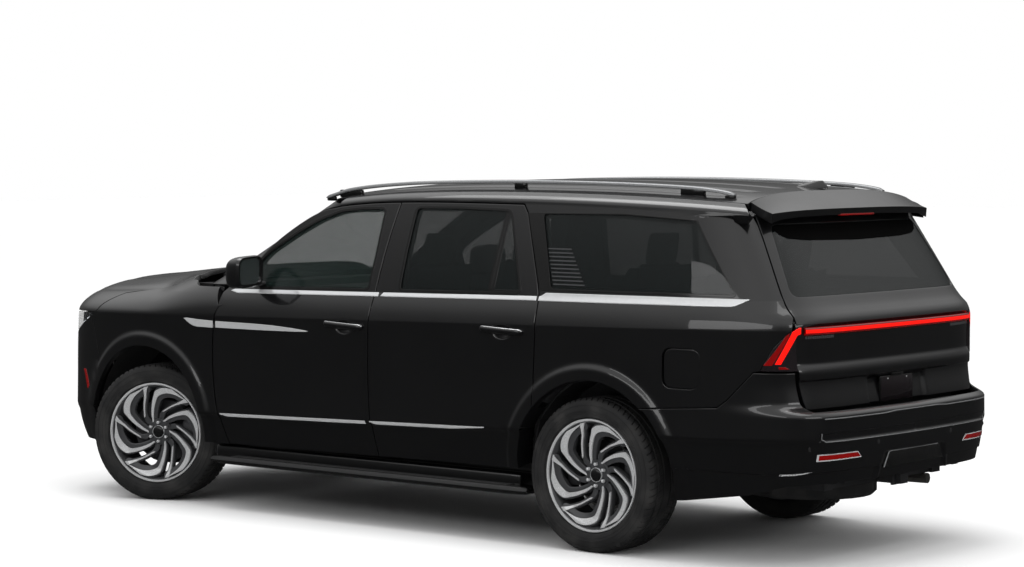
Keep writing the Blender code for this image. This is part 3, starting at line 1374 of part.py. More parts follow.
def add_rear_suspension():
    item = add_object("rear_suspension", box_mesh("subframe", (REAR_AXLE_X - 0.12, -0.56, 0.225), (REAR_AXLE_X + 0.12, 0.56, 0.275)), "chassis_steel")
    others = [
        add_object("final_drive", box_mesh("final_drive", (REAR_AXLE_X - 0.15, -0.15, 0.25), (REAR_AXLE_X + 0.16, 0.15, 0.485)), None),
        add_rod("half_shafts", (REAR_AXLE_X, -0.70, AXLE_Z), (REAR_AXLE_X, 0.70, AXLE_Z), 0.026, None, 8),
    ]
    for side in (-1, 1):
        bracket = sorted((side * 0.485, side * 0.555))
        others.append(add_object("bracket", box_mesh("bracket", (REAR_AXLE_X + 0.05, bracket[0], 0.24), (REAR_AXLE_X + 0.10, bracket[1], CROSS_LOW - SEAT_GAP)), None))
        others.append(add_object("bracket", box_mesh("bracket", (REAR_AXLE_X - 0.10, bracket[0], 0.24), (REAR_AXLE_X - 0.05, bracket[1], CROSS_LOW - SEAT_GAP)), None))
        reach = sorted((side * 0.50, side * 0.80))
        others.append(add_object("lower_arm", box_mesh("lower_arm", (REAR_AXLE_X - 0.06, reach[0], 0.232), (REAR_AXLE_X + 0.06, reach[1], 0.258)), None))
        carrier = sorted((side * 0.755, side * 0.815))
        others.append(add_object("carrier", box_mesh("carrier", (REAR_AXLE_X - 0.05, carrier[0], 0.24), (REAR_AXLE_X + 0.05, carrier[1], 0.58)), None))
        hub = [(REAR_AXLE_X, side * 0.69, AXLE_Z), (REAR_AXLE_X, side * (HALF_TRACK + 0.0497), AXLE_Z)]
        others.append(add_rod("hub_barrel", *hub, 0.055, None, 8))
        disc = [(REAR_AXLE_X, side * (HALF_TRACK - 0.024), AXLE_Z), (REAR_AXLE_X, side * (HALF_TRACK - 0.002), AXLE_Z)]
        others.append(add_rod("disc", *disc, 0.180, None, 12))
        caliper = sorted((side * (HALF_TRACK - 0.075), side * (HALF_TRACK + 0.030)))
        others.append(add_object("caliper", box_mesh("caliper", (REAR_AXLE_X + 0.140, caliper[0], AXLE_Z - 0.07), (REAR_AXLE_X + 0.225, caliper[1], AXLE_Z + 0.07)), None))
        arm = sorted((side * 0.79, side * (HALF_TRACK - 0.05)))
        others.append(add_object("caliper_arm", box_mesh("caliper_arm", (REAR_AXLE_X, arm[0], AXLE_Z - 0.04), (REAR_AXLE_X + 0.16, arm[1], AXLE_Z + 0.04)), None))
    join_on(item, others)


def add_driveline():
    engine = add_box("engine", (1.52, -0.3797, 0.3003 + 0.075), (2.18, 0.3797, 1.06), "cast_metal", 0.02)
    settle(engine)
    line = add_box("driveline", (0.80, -0.16, 0.4005), (1.5197, 0.16, 0.4990), "cast_metal")
    shaft = add_rod("shaft", (0.85, 0, 0.445), (REAR_AXLE_X + 0.1603, 0, 0.445), 0.035, None, 8)
    join_on(line, [shaft])
    tank = add_box("fuel_tank", (-0.66, 0.08, 0.23), (0.60, 0.455, CROSS_LOW + 0.001 - SEAT_GAP), "black_plastic", 0.03)
    settle(tank)
    spare = add_rod("spare_wheel", (-2.16, 0, 0.28), (-2.16, 0, 0.3757 - 0.001), 0.355, "tyre_rubber", 24)
    edges = spare.modifiers.new("edges", "BEVEL")
    edges.width = 0.02
    edges.segments = 1
    edges.limit_method = "ANGLE"
    hook = add_rod("spare_hanger", (-2.16, 0, 0.33), (-2.16, 0, FLOOR_LOW - SEAT_GAP), 0.03, None, 8)
    join_on(spare, [hook])


def add_exhaust():
    z = CROSS_LOW + 0.001 - SEAT_GAP - 0.028
    path = [(1.35, -0.26, z), (0.30, -0.26, z), (-0.30, -0.28, z), (-0.95, -0.40, z), (-1.20, -0.425, z), (-2.45, -0.425, z), (-2.62, -0.44, z)]
    curve = bpy.data.curves.new("exhaust", "CURVE")
    curve.dimensions = "3D"
    curve.bevel_depth = 0.028
    curve.bevel_resolution = 2
    curve.use_fill_caps = True
    spline = curve.splines.new("POLY")
    spline.points.add(len(path) - 1)
    for point, place in zip(spline.points, path):
        point.co = (*place, 1)
    tube = bpy.data.objects.new("exhaust_tube", curve)
    parts.objects.link(tube)
    bpy.context.view_layer.update()
    mesh = bpy.data.meshes.new_from_object(tube.evaluated_get(bpy.context.evaluated_depsgraph_get()))
    work = bmesh.new()
    work.from_mesh(mesh)
    bmesh.ops.remove_doubles(work, verts=work.verts, dist=0.00001)
    work.to_mesh(mesh)
    work.free()
    bpy.data.objects.remove(tube)
    exhaust = add_object("exhaust", mesh, "chassis_steel")
    muffler = add_box("muffler", (-0.62, -0.42, 0.22), (0.05, -0.12, 0.3737), "chassis_steel", 0.04)
    settle(muffler)
    join_on(exhaust, [muffler])


# Cabin


def add_seat(name, x, y, width, recline=0.17):
    # A seat with cushion, back and head restraints; x is the front of the cushion
    low = FLOOR_LOW + 0.028 + SEAT_GAP
    seat = add_box(name, (x - 0.52, y - width / 2, 0.72), (x, y + width / 2, 0.90), "cabin_leather", 0.05)
    settle(seat)
    base = add_box("seat_base", (x - 0.46, y - width * 0.36, low), (x - 0.08, y + width * 0.36, 0.76), None)
    back = add_box("seat_back", (-0.075, y - width * 0.48, 0.0), (0.075, y + width * 0.48, 0.66), None, 0.05)
    back.matrix_world = Matrix.Translation((x - 0.50, 0, 0.80)) @ Matrix.Rotation(-recline, 4, "Y")
    settle(back)
    others = [base, back]
    count = 1 if width < 0.7 else 2 if width < 1.2 else 3
    for i in range(count):
        side = y + (i - (count - 1) / 2) * width / count
        head = add_box("head_restraint", (-0.045, side - 0.125, 0.64), (0.050, side + 0.125, 0.83), None, 0.035)
        head.matrix_world = Matrix.Translation((x - 0.50, 0, 0.80)) @ Matrix.Rotation(-recline, 4, "Y")
        settle(head)
        others.append(head)
    join_on(seat, others)


def add_seats():
    for name, side in (("left", 1), ("right", -1)):
        add_seat("front_seat_" + name, 0.72, side * 0.40, 0.54)
        add_seat("second_seat_" + name, -0.26, side * 0.40, 0.52)
    add_seat("third_row_seat", -1.24, 0.0, 1.16)


def add_dashboard():
    dash = add_object("dashboard", bpy.data.meshes.new("dashboard"), "cabin_leather")
    outline = [(1.4047, 1.05), (1.4047, 1.255), (1.30, 1.262), (1.06, 1.215), (0.98, 1.13), (1.02, 0.98), (1.22, 0.82), (1.40, 0.80)]
    dash.data = prism_mesh("dashboard", outline, -0.765, 0.765, "y")
    dash.data.materials.append(materials["cabin_leather"])
    console = add_box("console", (0.20, -0.105, FLOOR_LOW + 0.028 + SEAT_GAP), (1.30, 0.105, 0.88), None, 0.02)
    settle(console)
    wheel = add_steering_wheel()
    join_on(dash, [console, wheel])


def add_steering_wheel():
    bpy.ops.mesh.primitive_torus_add(
        major_segments=14, minor_segments=6, major_radius=0.185, minor_radius=0.016
    )
    ring = bpy.context.object
    ring.name = "steering_ring"
    bpy.context.collection.objects.unlink(ring)
    parts.objects.link(ring)
    hub = add_rod("steering_hub", (0, 0, -0.03), (0, 0, 0.03), 0.055, None, 12)
    spoke = add_box("steering_spoke", (-0.02, -0.185, -0.008), (0.02, 0.185, 0.008), None)
    column = add_rod("steering_column", (0, 0, -0.01), (0, 0, -0.30), 0.035, None, 12)
    join_on(ring, [hub, spoke, column])
    ring.data.transform(Matrix.Translation((0.87, 0.40, 1.10)) @ Matrix.Rotation(math.radians(-65), 4, "Y"))
    return ring


def main():
    clear_scene()
    add_materials()
    add_body_side()
    add_doors()
    add_roof()
    add_roof_rails()
    add_windshield()
    add_quarter_glass()
    add_fenders()
    add_hood()
    add_front_bumper()
    add_grille()
    add_head_lamps()
    add_cowl()
    add_liftgate()
    add_tail_lamps()
    add_rear_bumper()
    add_fuel_door()
    add_running_boards()
    add_mirrors()
    add_wheels()
    add_knuckles()
    add_frame()
    add_floor()
    add_front_suspension()
    add_rear_suspension()
    add_driveline()
    add_exhaust()
    add_seats()
    add_dashboard()


main()
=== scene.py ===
import math

import bmesh
import bpy
import numpy as np
from mathutils import Matrix, Vector, kdtree
from mathutils.geometry import delaunay_2d_cdt


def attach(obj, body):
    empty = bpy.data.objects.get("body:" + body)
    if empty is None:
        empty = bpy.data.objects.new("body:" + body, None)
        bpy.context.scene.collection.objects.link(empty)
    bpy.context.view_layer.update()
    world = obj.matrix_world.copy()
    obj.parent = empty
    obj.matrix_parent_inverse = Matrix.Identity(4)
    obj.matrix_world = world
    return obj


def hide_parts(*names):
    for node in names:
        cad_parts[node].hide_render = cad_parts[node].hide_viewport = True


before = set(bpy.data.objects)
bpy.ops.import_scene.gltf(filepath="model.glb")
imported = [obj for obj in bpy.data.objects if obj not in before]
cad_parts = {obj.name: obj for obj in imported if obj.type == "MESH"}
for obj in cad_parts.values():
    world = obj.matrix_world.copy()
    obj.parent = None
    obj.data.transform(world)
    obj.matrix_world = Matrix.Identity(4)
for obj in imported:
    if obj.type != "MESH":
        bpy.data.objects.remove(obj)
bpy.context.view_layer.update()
print("frame loaded", len(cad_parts), "nodes")

# Driving sizes, in metres, the same as the part's
size = dict(
    frontAxle=1.925, rearAxle=-1.452, halfTrack=0.8585, kingpin=0.79, axleZ=0.403,
    tyreRadius=0.4075, tyreWidth=0.285,
    steerRest=math.radians(21), frontMid=1.90, rearMid=-1.50, cornerPower=9.0, gap=0.0056, archRadius=0.5,
    frontArchZ=0.42, rearArchZ=0.40, roofSeam=0.676, skirt=0.300, gateX=-2.705, front=2.818,
    noseCrown=0.040, tailCrown=0.035, glassCrown=0.20,
)


def blend(start, end, value):
    part = min(1.0, max(0.0, (value - start) / (end - start)))
    return part * part * (3 - 2 * part)


def spread(start, end, steps):
    return [start + (end - start) * i / steps for i in range(steps + 1)]


# Body surfaces: the same formulas as the part, evaluated finely

def creaseHeight(x):
    return 1.150 - 0.0207 * x


def ledgeHeight(x):
    return 0.592 - 0.0265 * x


def beltHeight(x):
    return 1.303 - 0.0182 * x


def sillHeight(x):
    return 0.389 - 0.010 * x


def rawWidth(x, z):
    crease, ledge, belt = creaseHeight(x), ledgeHeight(x), beltHeight(x)
    if z > belt:
        y = 0.952 - 0.21 * (z - belt) - 0.06 * (z - belt) ** 2
    elif z > crease:
        part = (z - crease) / (belt - crease)
        y = 1.0 - 0.048 * (0.5 * part + 0.5 * part**2)
    elif z > ledge:
        part = (z - ledge) / (crease - ledge)
        y = 1.0 + 0.006 * (1 - part) - 0.012 * part * (1 - part)
    else:
        down = ledge - z
        y = 1.006 - 0.014 * blend(0, 0.03, down) - 0.17 * down
    if x > size["frontMid"]:
        y -= 0.150 * ((x - size["frontMid"]) / 0.9) ** 1.6
    if x < size["rearMid"]:
        y -= 0.024 * ((size["rearMid"] - x) / 0.9) ** 2
    if x > 0:
        y -= 0.040 * (x / 1.17) ** 2 * blend(belt - 0.05, belt + 0.2, z)
    for axleX, archZ in ((size["frontAxle"], size["frontArchZ"]), (size["rearAxle"], size["rearArchZ"])):
        reach = math.hypot(x - axleX, z - archZ)
        y += 0.0130 * (1 - blend(0.555, 0.595, reach))
    return y


def sideWidth(x, z):
    # creases carry a small radius
    return 0.25 * rawWidth(x, z - 0.003) + 0.5 * rawWidth(x, z) + 0.25 * rawWidth(x, z + 0.003)


def frontFace(z):
    return size["front"] - 1.9 * max(0.0, 0.5 - z) ** 2 - 0.25 * max(0.0, z - 0.8) ** 2


def gateFace(z):
    return (
        size["gateX"] - 0.02 * blend(0.95, 0.78, z)
        + 0.62 * max(0.0, z - 1.27) + 0.03 * blend(1.22, 1.32, z)
    )


def windshieldFace(z):
    return 1.66 - 1.92 * (z - 1.33)


def outlinePoint(s, z, front, rear, crowns, mids=(size["frontMid"], size["rearMid"])):
    # round the plan: s 0 nose, 1 front left corner, 4 rear left corner, 5 tail
    s = s % 10
    if s > 5:
        x, y, z = outlinePoint(10 - s, z, front, rear, crowns, mids)
        return (x, -y, z)
    if 2 <= s <= 3:
        x = mids[0] + (mids[1] - mids[0]) * (s - 2)
        return (x, sideWidth(x, z), z)
    mid, end, crown = (mids[0], front(z), -crowns[0]) if s < 2 else (mids[1], rear(z), crowns[1])
    t = s if s < 2 else 5 - s
    along, across = (1.0, t) if t < 1 else (2 - t, 1.0)
    power = size["cornerPower"]
    k = (along**power + across**power) ** (-1 / power)
    x = mid + (end + crown * (k * across) ** 2 - mid) * k * along
    return (x, sideWidth(x, z) * k * across, z)


def lowerPoint(s, z):
    return outlinePoint(s, z, frontFace, gateFace, (size["noseCrown"], size["tailCrown"]))


def upperPoint(s, z):
    return outlinePoint(
        s, z, windshieldFace, gateFace, (size["glassCrown"], size["tailCrown"]), (0.30, size["rearMid"])
    )


def noseWidth(x, z):
    width, mid, power = sideWidth(x, z), size["frontMid"], size["cornerPower"]
    if x <= mid:
        return width
    share = 1.0
    for _ in range(4):
        t = min(0.9999, (x - mid) / (frontFace(z) - size["noseCrown"] * share**2 - mid))
        share = (1 - t**power) ** (1 / power)
    return width * share


def hoodHeight(x):
    return 1.386 - 0.055 * blend(1.55, 2.5, x) - 0.062 * max(0.0, x - 1.9) ** 2


def hoodPoint(x, k):
    crease = creaseHeight(x)
    power = 2.6 + 6.4 * (1 - blend(1.30, 1.95, x))
    nose = min(1.0, max(0.0, (x - size["frontMid"]) / (frontFace(crease) - size["frontMid"])))
    rise = (hoodHeight(x) - crease) * max(0.0, 1 - nose**14) ** 0.5
    turn = k * math.pi / 2
    y = noseWidth(x, crease) * max(0.0, math.cos(turn)) ** (2 / power)
    return (x, y, crease + rise * max(0.0, math.sin(turn)) ** (2 / 1.7))


def fenderPoint(x, k):
    if k > 1:
        return hoodPoint(x, k - 1)
    z = size["skirt"] + (creaseHeight(x) - size["skirt"]) * k
    return (x, noseWidth(x, z), z)


def roofHeight(x):
    return 1.931 - 0.022 * (x + 1) ** 2 - 0.0036 * (x + 1) ** 4


def dripHeight(x):
    ahead = x + 0.45
    if ahead > 0:
        return 1.814 - 0.018 * ahead**2 - 0.030 * ahead**4
    return 1.814 - 0.0125 * ahead**2


def roofPoint(x, k):
    turn = (1 - abs(k)) * math.pi / 2
    low = dripHeight(x)
    y = sideWidth(x, low) * max(0.0, math.cos(turn)) ** (2 / 3)
    return (x, math.copysign(y, k), low + (roofHeight(x) - low) * math.sin(turn))


def roofZ(x, y):
    low = dripHeight(x)
    share = min(1.0, abs(y) / sideWidth(x, low))
    return low + (roofHeight(x) - low) * math.sqrt(1 - share**3)


def roofEdge(s, place):
    z = 1.80
    for _ in range(8):
        x, y, _ = place(s, z)
        z = roofZ(x, y)
    return place(s, z)


def rearEdgeX(k):
    x = -2.30
    for _ in range(6):
        x, y, z = roofPoint(x, k)
        x = gateFace(z) + size["tailCrown"] * (y / sideWidth(x, z)) ** 2
    return x


def frontEdgeX(k):
    x = 0.60
    for _ in range(6):
        x, y, z = roofPoint(x, k)
        x = windshieldFace(z) - size["glassCrown"] * (y / sideWidth(x, z)) ** 2
    return x


# Outlines, seen from the side as (x, z) or from behind as (y, z)

def inset(outline, distance):
    points = [Vector(p) for p in outline]
    count = len(points)
    area = sum(points[i - 1].x * points[i].y - points[i].x * points[i - 1].y for i in range(count))
    turn = 1 if area > 0 else -1
    result = []
    for i in range(count):
        before = (points[i] - points[i - 1]).normalized()
        after = (points[(i + 1) % count] - points[i]).normalized()
        first = Vector((-before.y, before.x)) * turn
        second = Vector((-after.y, after.x)) * turn
        middle = first + second
        if middle.length < 1e-6:
            middle = first
        middle.normalize()
        result.append(tuple(points[i] + middle * (distance / max(0.35, middle.dot(first)))))
    return result


def rounded(outline, radius, steps=5):
    result = []
    count = len(outline)
    for i in range(count):
        here = Vector(outline[i])
        back = Vector(outline[i - 1]) - here
        ahead = Vector(outline[(i + 1) % count]) - here
        reach = min(radius, 0.45 * back.length, 0.45 * ahead.length)
        start = here + back.normalized() * reach
        end = here + ahead.normalized() * reach
        for k in range(steps + 1):
            t = k / steps
            result.append(tuple(start * (1 - t) ** 2 + here * 2 * t * (1 - t) + end * t * t))
    return result


def arc(center, radius, start, end, steps):
    return [
        (center[0] + radius * math.cos(math.radians(a)), center[1] + radius * math.sin(math.radians(a)))
        for a in spread(start, end, steps)
    ]


def curve(points, steps=6):
    # smooth line through the points, of any number of coordinates
    pts = [np.array(p, float) for p in points]
    pts = [2 * pts[0] - pts[1]] + pts + [2 * pts[-1] - pts[-2]]
    result = []
    for i in range(1, len(pts) - 2):
        a, b, c, d = pts[i - 1 : i + 3]
        for k in range(steps):
            t = k / steps
            square, cube = 2 * a - 5 * b + 4 * c - d, 3 * b - a - 3 * c + d
            value = 0.5 * (2 * b + (c - a) * t + square * t**2 + cube * t**3)
            result.append(tuple(float(v) for v in value))
    result.append(tuple(float(v) for v in pts[-2]))
    return result


def resample(outline, step):
    result = []
    count = len(outline)
    for i in range(count):
        a, b = np.array(outline[i]), np.array(outline[(i + 1) % count])
        length = float(np.linalg.norm(b - a))
        if length < 1e-7:
            continue
        parts = max(1, math.ceil(length / step))
        result += [tuple(a + (b - a) * k / parts) for k in range(parts)]
    return result


def resampleOpen(points, step):
    result = []
    for a, b in zip(points, points[1:]):
        a, b = np.array(a), np.array(b)
        parts = max(1, math.ceil(float(np.linalg.norm(b - a)) / step))
        result += [tuple(a + (b - a) * k / parts) for k in range(parts)]
    return result + [tuple(points[-1])]


def bothSides(points):
    # the left half of a line from the left to the right, followed by its mirror image
    return points + [(-y, z) for y, z in reversed(points)]


def bisect(below, low, high, steps=34):
    # the value between low and high at which below(value) stops being true
    for _ in range(steps):
        middle = (low + high) / 2
        if below(middle):
            low = middle
        else:
            high = middle
    return (low + high) / 2


def solve(place, part, target, v, low, high):
    # the u between low and high at which one coordinate of place(u, v) reaches the target
    rising = place(high, v)[part] > place(low, v)[part]
    return bisect(lambda u: (place(u, v)[part] < target) == rising, low, high)


def frontGap(z):
    return 1.334 - 0.37 * (z - 0.90) ** 2


def midGap(z):
    return 0.108 - 0.15 * (z - 0.95) ** 2


def doorTop(x):
    return dripHeight(x) - 0.008


def pillarEdge(steps):
    # the front door's edge along the windshield pillar
    points = [(1.145, 1.385), (0.986, 1.530), (0.800, 1.652), (0.622, 1.738), (0.46, doorTop(0.46))]
    return curve([(frontGap(1.262), 1.262), *points], steps)


def rearDoorBack():
    return curve([(-0.924, 1.755), (-1.017, 1.509), (-1.079, 1.323), (-1.088, 1.150), (-1.078, 0.900)], 5)


def frontDoorOutline():
    lower = [(frontGap(z), z) for z in spread(sillHeight(1.25), 1.262, 14)]
    top = [(x, doorTop(x)) for x in (0.38, 0.30, 0.20, 0.10, midGap(1.8))]
    rear = [(midGap(z), z) for z in spread(1.78, sillHeight(0.05), 18)]
    return lower + pillarEdge(5)[1:] + top + rear


def rearDoorOutline():
    front = [(midGap(z), z) for z in spread(sillHeight(0.05), 1.78, 18)]
    top = [(x, doorTop(x)) for x in spread(midGap(1.8), -0.886, 8)]
    arch = arc((size["rearAxle"], size["rearArchZ"]), size["archRadius"], 42, 0, 18)
    return front + top + rearDoorBack() + arch


def frontWindow():
    return [
        (1.045, 1.300), (1.045, 1.452), (0.967, 1.510), (0.762, 1.620), (0.605, 1.693),
        (0.450, 1.741), (0.293, 1.757), (0.112, 1.762), (0.128, 1.530), (0.150, 1.318),
    ]


def rearWindow():
    return [
        (-0.086, 1.322), (-0.100, 1.530), (-0.124, 1.771), (-0.450, 1.774),
        (-0.800, 1.766), (-0.873, 1.560), (-0.946, 1.338),
    ]


def quarterWindow():
    return [
        (-1.150, 1.362), (-1.110, 1.500), (-1.025, 1.758), (-1.600, 1.762), (-2.255, 1.738), (-2.425, 1.372)
    ]


def gateOutline(grow=0.0):
    left = curve(
        [(0.800, 0.812), (0.826, 1.0), (0.838, 1.20), (0.815, 1.38), (0.740, 1.72), (0.700, 1.95)], 5
    )
    return inset([(-y, z) for y, z in reversed(left)] + left, -grow)


def gateWindow():
    return rounded([(-0.775, 1.365), (0.775, 1.365), (0.675, 1.722), (-0.675, 1.722)], 0.05)


fuelCenter = (-2.043, 0.993)


def fuelDoorOutline():
    (x, z), halfX, halfZ = fuelCenter, 0.110, 0.100
    corners = [(x - halfX, z - halfZ), (x + halfX, z - halfZ), (x + halfX, z + halfZ), (x - halfX, z + halfZ)]
    return rounded(corners, 0.055, 8)


def grilleOutline():
    return rounded([(-0.455, 0.600), (0.455, 0.600), (0.500, 1.060), (-0.500, 1.060)], 0.05)


# Meshes: a shape holds points, faces and a material index for each face

class Shape:
    def __init__(self, points=(), faces=(), slot=0):
        self.points = [tuple(p) for p in points]
        self.faces = list(faces)
        self.slots = [slot] * len(self.faces)

    def join(self, other):
        base = len(self.points)
        self.points += other.points
        self.faces += [tuple(base + i for i in f) for f in other.faces]
        self.slots += other.slots
        return self

    def mirrored(self):
        other = Shape([(x, -y, z) for x, y, z in self.points], [tuple(reversed(f)) for f in self.faces])
        other.slots = list(self.slots)
        return other

    def moved(self, matrix):
        faces = self.faces
        if matrix.to_3x3().determinant() < 0:
            faces = [tuple(reversed(f)) for f in faces]
        other = Shape([matrix @ Vector(p) for p in self.points], faces)
        other.slots = list(self.slots)
        return other


def addPiece(name, shape, finishes, body, slot, replaces=(), angle=38):
    mesh = bpy.data.meshes.new(name)
    mesh.from_pydata(shape.points, [], shape.faces)
    for finish in finishes:
        mesh.materials.append(finish)
    mesh.polygons.foreach_set("material_index", shape.slots)
    mesh.shade_smooth()
    mesh.set_sharp_from_angle(angle=math.radians(angle))
    piece = bpy.data.objects.new(name, mesh)
    bpy.context.scene.collection.objects.link(piece)
    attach(piece, body)
    if replaces:
        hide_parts(*replaces)
    return piece


def addPair(name, shape, finishes, body, slot, replaces=(), angle=38):
    # left piece and its mirror image; {} in a body or node name stands for the side
    for side, made in (("left", shape), ("right", shape.mirrored())):
        nodes = [n.format(side) for n in replaces]
        addPiece(name + "_" + side, made, finishes, body.format(side), slot, nodes, angle)


def insideOf(points, outline):
    # even-odd test of many points against one outline
    result = np.zeros(len(points), bool)
    x, y = points[:, 0], points[:, 1]
    for i in range(len(outline)):
        (ax, ay), (bx, by) = outline[i - 1], outline[i]
        crossing = (ay > y) != (by > y)
        if not crossing.any():
            continue
        at = ax + (y - ay) * (bx - ax) / ((by - ay) or 1e-12)
        result ^= crossing & (x < at)
    return result


def panel(
    outline, place, wall, holes=(), step=0.022, rows=None, features=(), roll=0.0025, turn=1, inner=True,
    flange=None, slots=(0, 1), edgeStep=0.011,
):
    # A skin over an outline in its own plane: rolled edges, a rim, and an inside at the wall's depth
    rings, segments, depths, loops = [], [], [], []
    for index, line in enumerate([outline, *holes]):
        area = sum(line[i - 1][0] * line[i][1] - line[i][0] * line[i - 1][1] for i in range(len(line)))
        line = list(line) if area > 0 else list(reversed(line))
        line = resample(line, edgeStep)
        loops.append(line)
        sign = 1 if index == 0 else -1
        lines = [line] + [inset(line, sign * roll * share) for share in (0.30, 1.0, 2.4)]
        for ring, depth in zip(lines, (roll, roll * 0.30, 0.0, 0.0)):
            start = len(rings)
            rings += ring
            depths += [depth] * len(ring)
            segments += [(start + i, start + (i + 1) % len(ring)) for i in range(len(ring))]
    edge, *cuts = loops
    xs = [p[0] for p in outline]
    ys = [p[1] for p in outline]
    columns = spread(min(xs), max(xs), max(1, round((max(xs) - min(xs)) / step)))
    extra = [p for group in features for p in group]
    grid = []
    for x in columns:
        levels = rows(x) if rows else spread(min(ys), max(ys), max(1, round((max(ys) - min(ys)) / step)))
        grid += [(x, v) for v in levels]

    def within(table):
        good = insideOf(table, edge)
        for hole in cuts:
            good &= ~insideOf(table, hole)
        return good

    def clear(points, others, reach):
        # the points on the panel that keep their distance from the others
        if not points:
            return []
        good = within(np.array(points, float))
        tree = kdtree.KDTree(len(others))
        for i, p in enumerate(others):
            tree.insert((p[0], p[1], 0), i)
        tree.balance()
        return [p for p, fine in zip(points, good) if fine and tree.find((p[0], p[1], 0))[2] > reach]

    extra = clear(extra, rings, 0.004)
    grid = (
        clear(grid, rings + extra, 0.42 * step) if not rows
        else clear(clear(grid, rings, 0.006), extra or [(99, 99)], 0.3 * step)
    )
    flat = rings + extra + grid
    depths += [0.0] * (len(flat) - len(depths))
    verts, _, faces, origin, _, _ = delaunay_2d_cdt([Vector(p) for p in flat], segments, [], 0, 1e-7)
    depthOf = [depths[o[0]] if o else 0.0 for o in origin]
    middles = np.array([[sum(verts[i][k] for i in f) / len(f) for k in (0, 1)] for f in faces])
    faces = [tuple(f) for f, fine in zip(faces, within(middles)) if fine]
    used = sorted({i for f in faces for i in f})
    index = {v: k for k, v in enumerate(used)}
    faces = [tuple(index[i] for i in f) for f in faces]
    # the flat mesh is laid on the surface; rolled edges sink in by their depth
    places, normals = [], []
    tiny = 0.0015
    for i in used:
        u, v = verts[i]
        here = Vector(place(u, v))
        du = Vector(place(u + tiny, v)) - Vector(place(u - tiny, v))
        dv = Vector(place(u, v + tiny)) - Vector(place(u, v - tiny))
        normal = du.cross(dv)
        normals.append(normal.normalized() * turn if normal.length > 1e-12 else Vector((0, 0, 1)))
        places.append(here)
    depthOf = [depthOf[i] for i in used]
    flats = [verts[i] for i in used]
    skin = [p - n * d for p, n, d in zip(places, normals, depthOf)]
    if turn < 0:
        faces = [tuple(reversed(f)) for f in faces]
    shape = Shape(skin, faces, slots[0])
    count = len(skin)
    thick = [wall(f[0], f[1]) if callable(wall) else wall for f in flats]
    edges = {(f[i], f[(i + 1) % 3]): True for f in faces for i in range(3)}
    border = [(a, b) for a, b in edges if (b, a) not in edges]
    if inner:
        shape.points += [tuple(p - n * t) for p, n, t in zip(places, normals, thick)]
        shape.faces += [tuple(reversed([i + count for i in f])) for f in faces]
        shape.slots += [slots[1]] * len(faces)
        shape.faces += [(b, a, a + count, b + count) for a, b in border]
        shape.slots += [slots[0]] * len(border)
    else:
        ends = sorted({i for e in border for i in e})
        base = {v: len(shape.points) + k for k, v in enumerate(ends)}
        reach = {v: (flange or thick[v]) for v in ends}
        shape.points += [tuple(places[v] - normals[v] * reach[v]) for v in ends]
        shape.faces += [(b, a, base[a], base[b]) for a, b in border]
        shape.slots += [slots[0]] * len(border)
    return shape


def ringSides(count, n, flip=False, loop=False, closed=True):
    # side faces between count rings of n points each; loop also joins the last ring to the first
    faces = []
    for i in range(count if loop else count - 1):
        for j in range(n if closed else n - 1):
            a, b = i * n + j, i * n + (j + 1) % n
            c, d = ((i + 1) % count) * n + (j + 1) % n, ((i + 1) % count) * n + j
            faces.append((a, d, c, b) if flip else (a, b, c, d))
    return faces


def ringEnds(count, n, flip=False):
    # the two faces that close such a row of rings
    first, last = range(n), range((count - 1) * n, count * n)
    return [tuple(first), tuple(reversed(last))] if flip else [tuple(reversed(first)), tuple(last)]


def sheet(columns, rows, place, wall, slots=(0, 0), turn=1):
    # A grid skin with an inside, closed round its border
    tiny = 0.001
    front, back = [], []
    for c in columns:
        for r in rows:
            here = Vector(place(c, r))
            normal = (Vector(place(c + tiny, r)) - Vector(place(c - tiny, r))).cross(
                Vector(place(c, r + tiny)) - Vector(place(c, r - tiny))
            )
            normal = normal.normalized() * turn if normal.length > 1e-12 else Vector((0, 0, 1))
            front.append(tuple(here))
            back.append(tuple(here - normal * wall))
    wide, high, count = len(columns), len(rows), len(front)
    shape = Shape(front + back)
    for i in range(wide - 1):
        for j in range(high - 1):
            a, b, c, d = i * high + j, (i + 1) * high + j, (i + 1) * high + j + 1, i * high + j + 1
            outer = (a, b, c, d) if turn > 0 else (a, d, c, b)
            shape.faces += [outer, tuple(count + k for k in reversed(outer))]
            shape.slots += [slots[0], slots[1]]
    rim = [(i * high, (i + 1) * high) for i in range(wide - 1)]
    rim += [((wide - 1) * high + j, (wide - 1) * high + j + 1) for j in range(high - 1)]
    rim += [((i + 1) * high + high - 1, i * high + high - 1) for i in reversed(range(wide - 1))]
    rim += [(j + 1, j) for j in reversed(range(high - 1))]
    for a, b in rim:
        shape.faces.append((b, a, a + count, b + count) if turn > 0 else (a, b, b + count, a + count))
        shape.slots.append(slots[0])
    return shape


def tube(path, radius, sides=10, slot=0, closed=False, flatness=1.0):
    # A round or oval bar along a path
    pts = [Vector(p) for p in path]
    rings = []
    count = len(pts)
    for i, p in enumerate(pts):
        before = pts[i - 1] if closed or i else p
        after = pts[(i + 1) % count] if closed or i < count - 1 else p
        along = (after - before).normalized()
        side = along.cross(Vector((0, 0, 1)))
        if side.length < 1e-6:
            side = along.cross(Vector((0, 1, 0)))
        side.normalize()
        top = side.cross(along)
        for k in range(sides):
            a = 2 * math.pi * k / sides
            rings.append(p + side * (radius * math.cos(a)) + top * (radius * flatness * math.sin(a)))
    faces = ringSides(count, sides, loop=closed) + ([] if closed else ringEnds(count, sides))
    return Shape(rings, faces, slot)


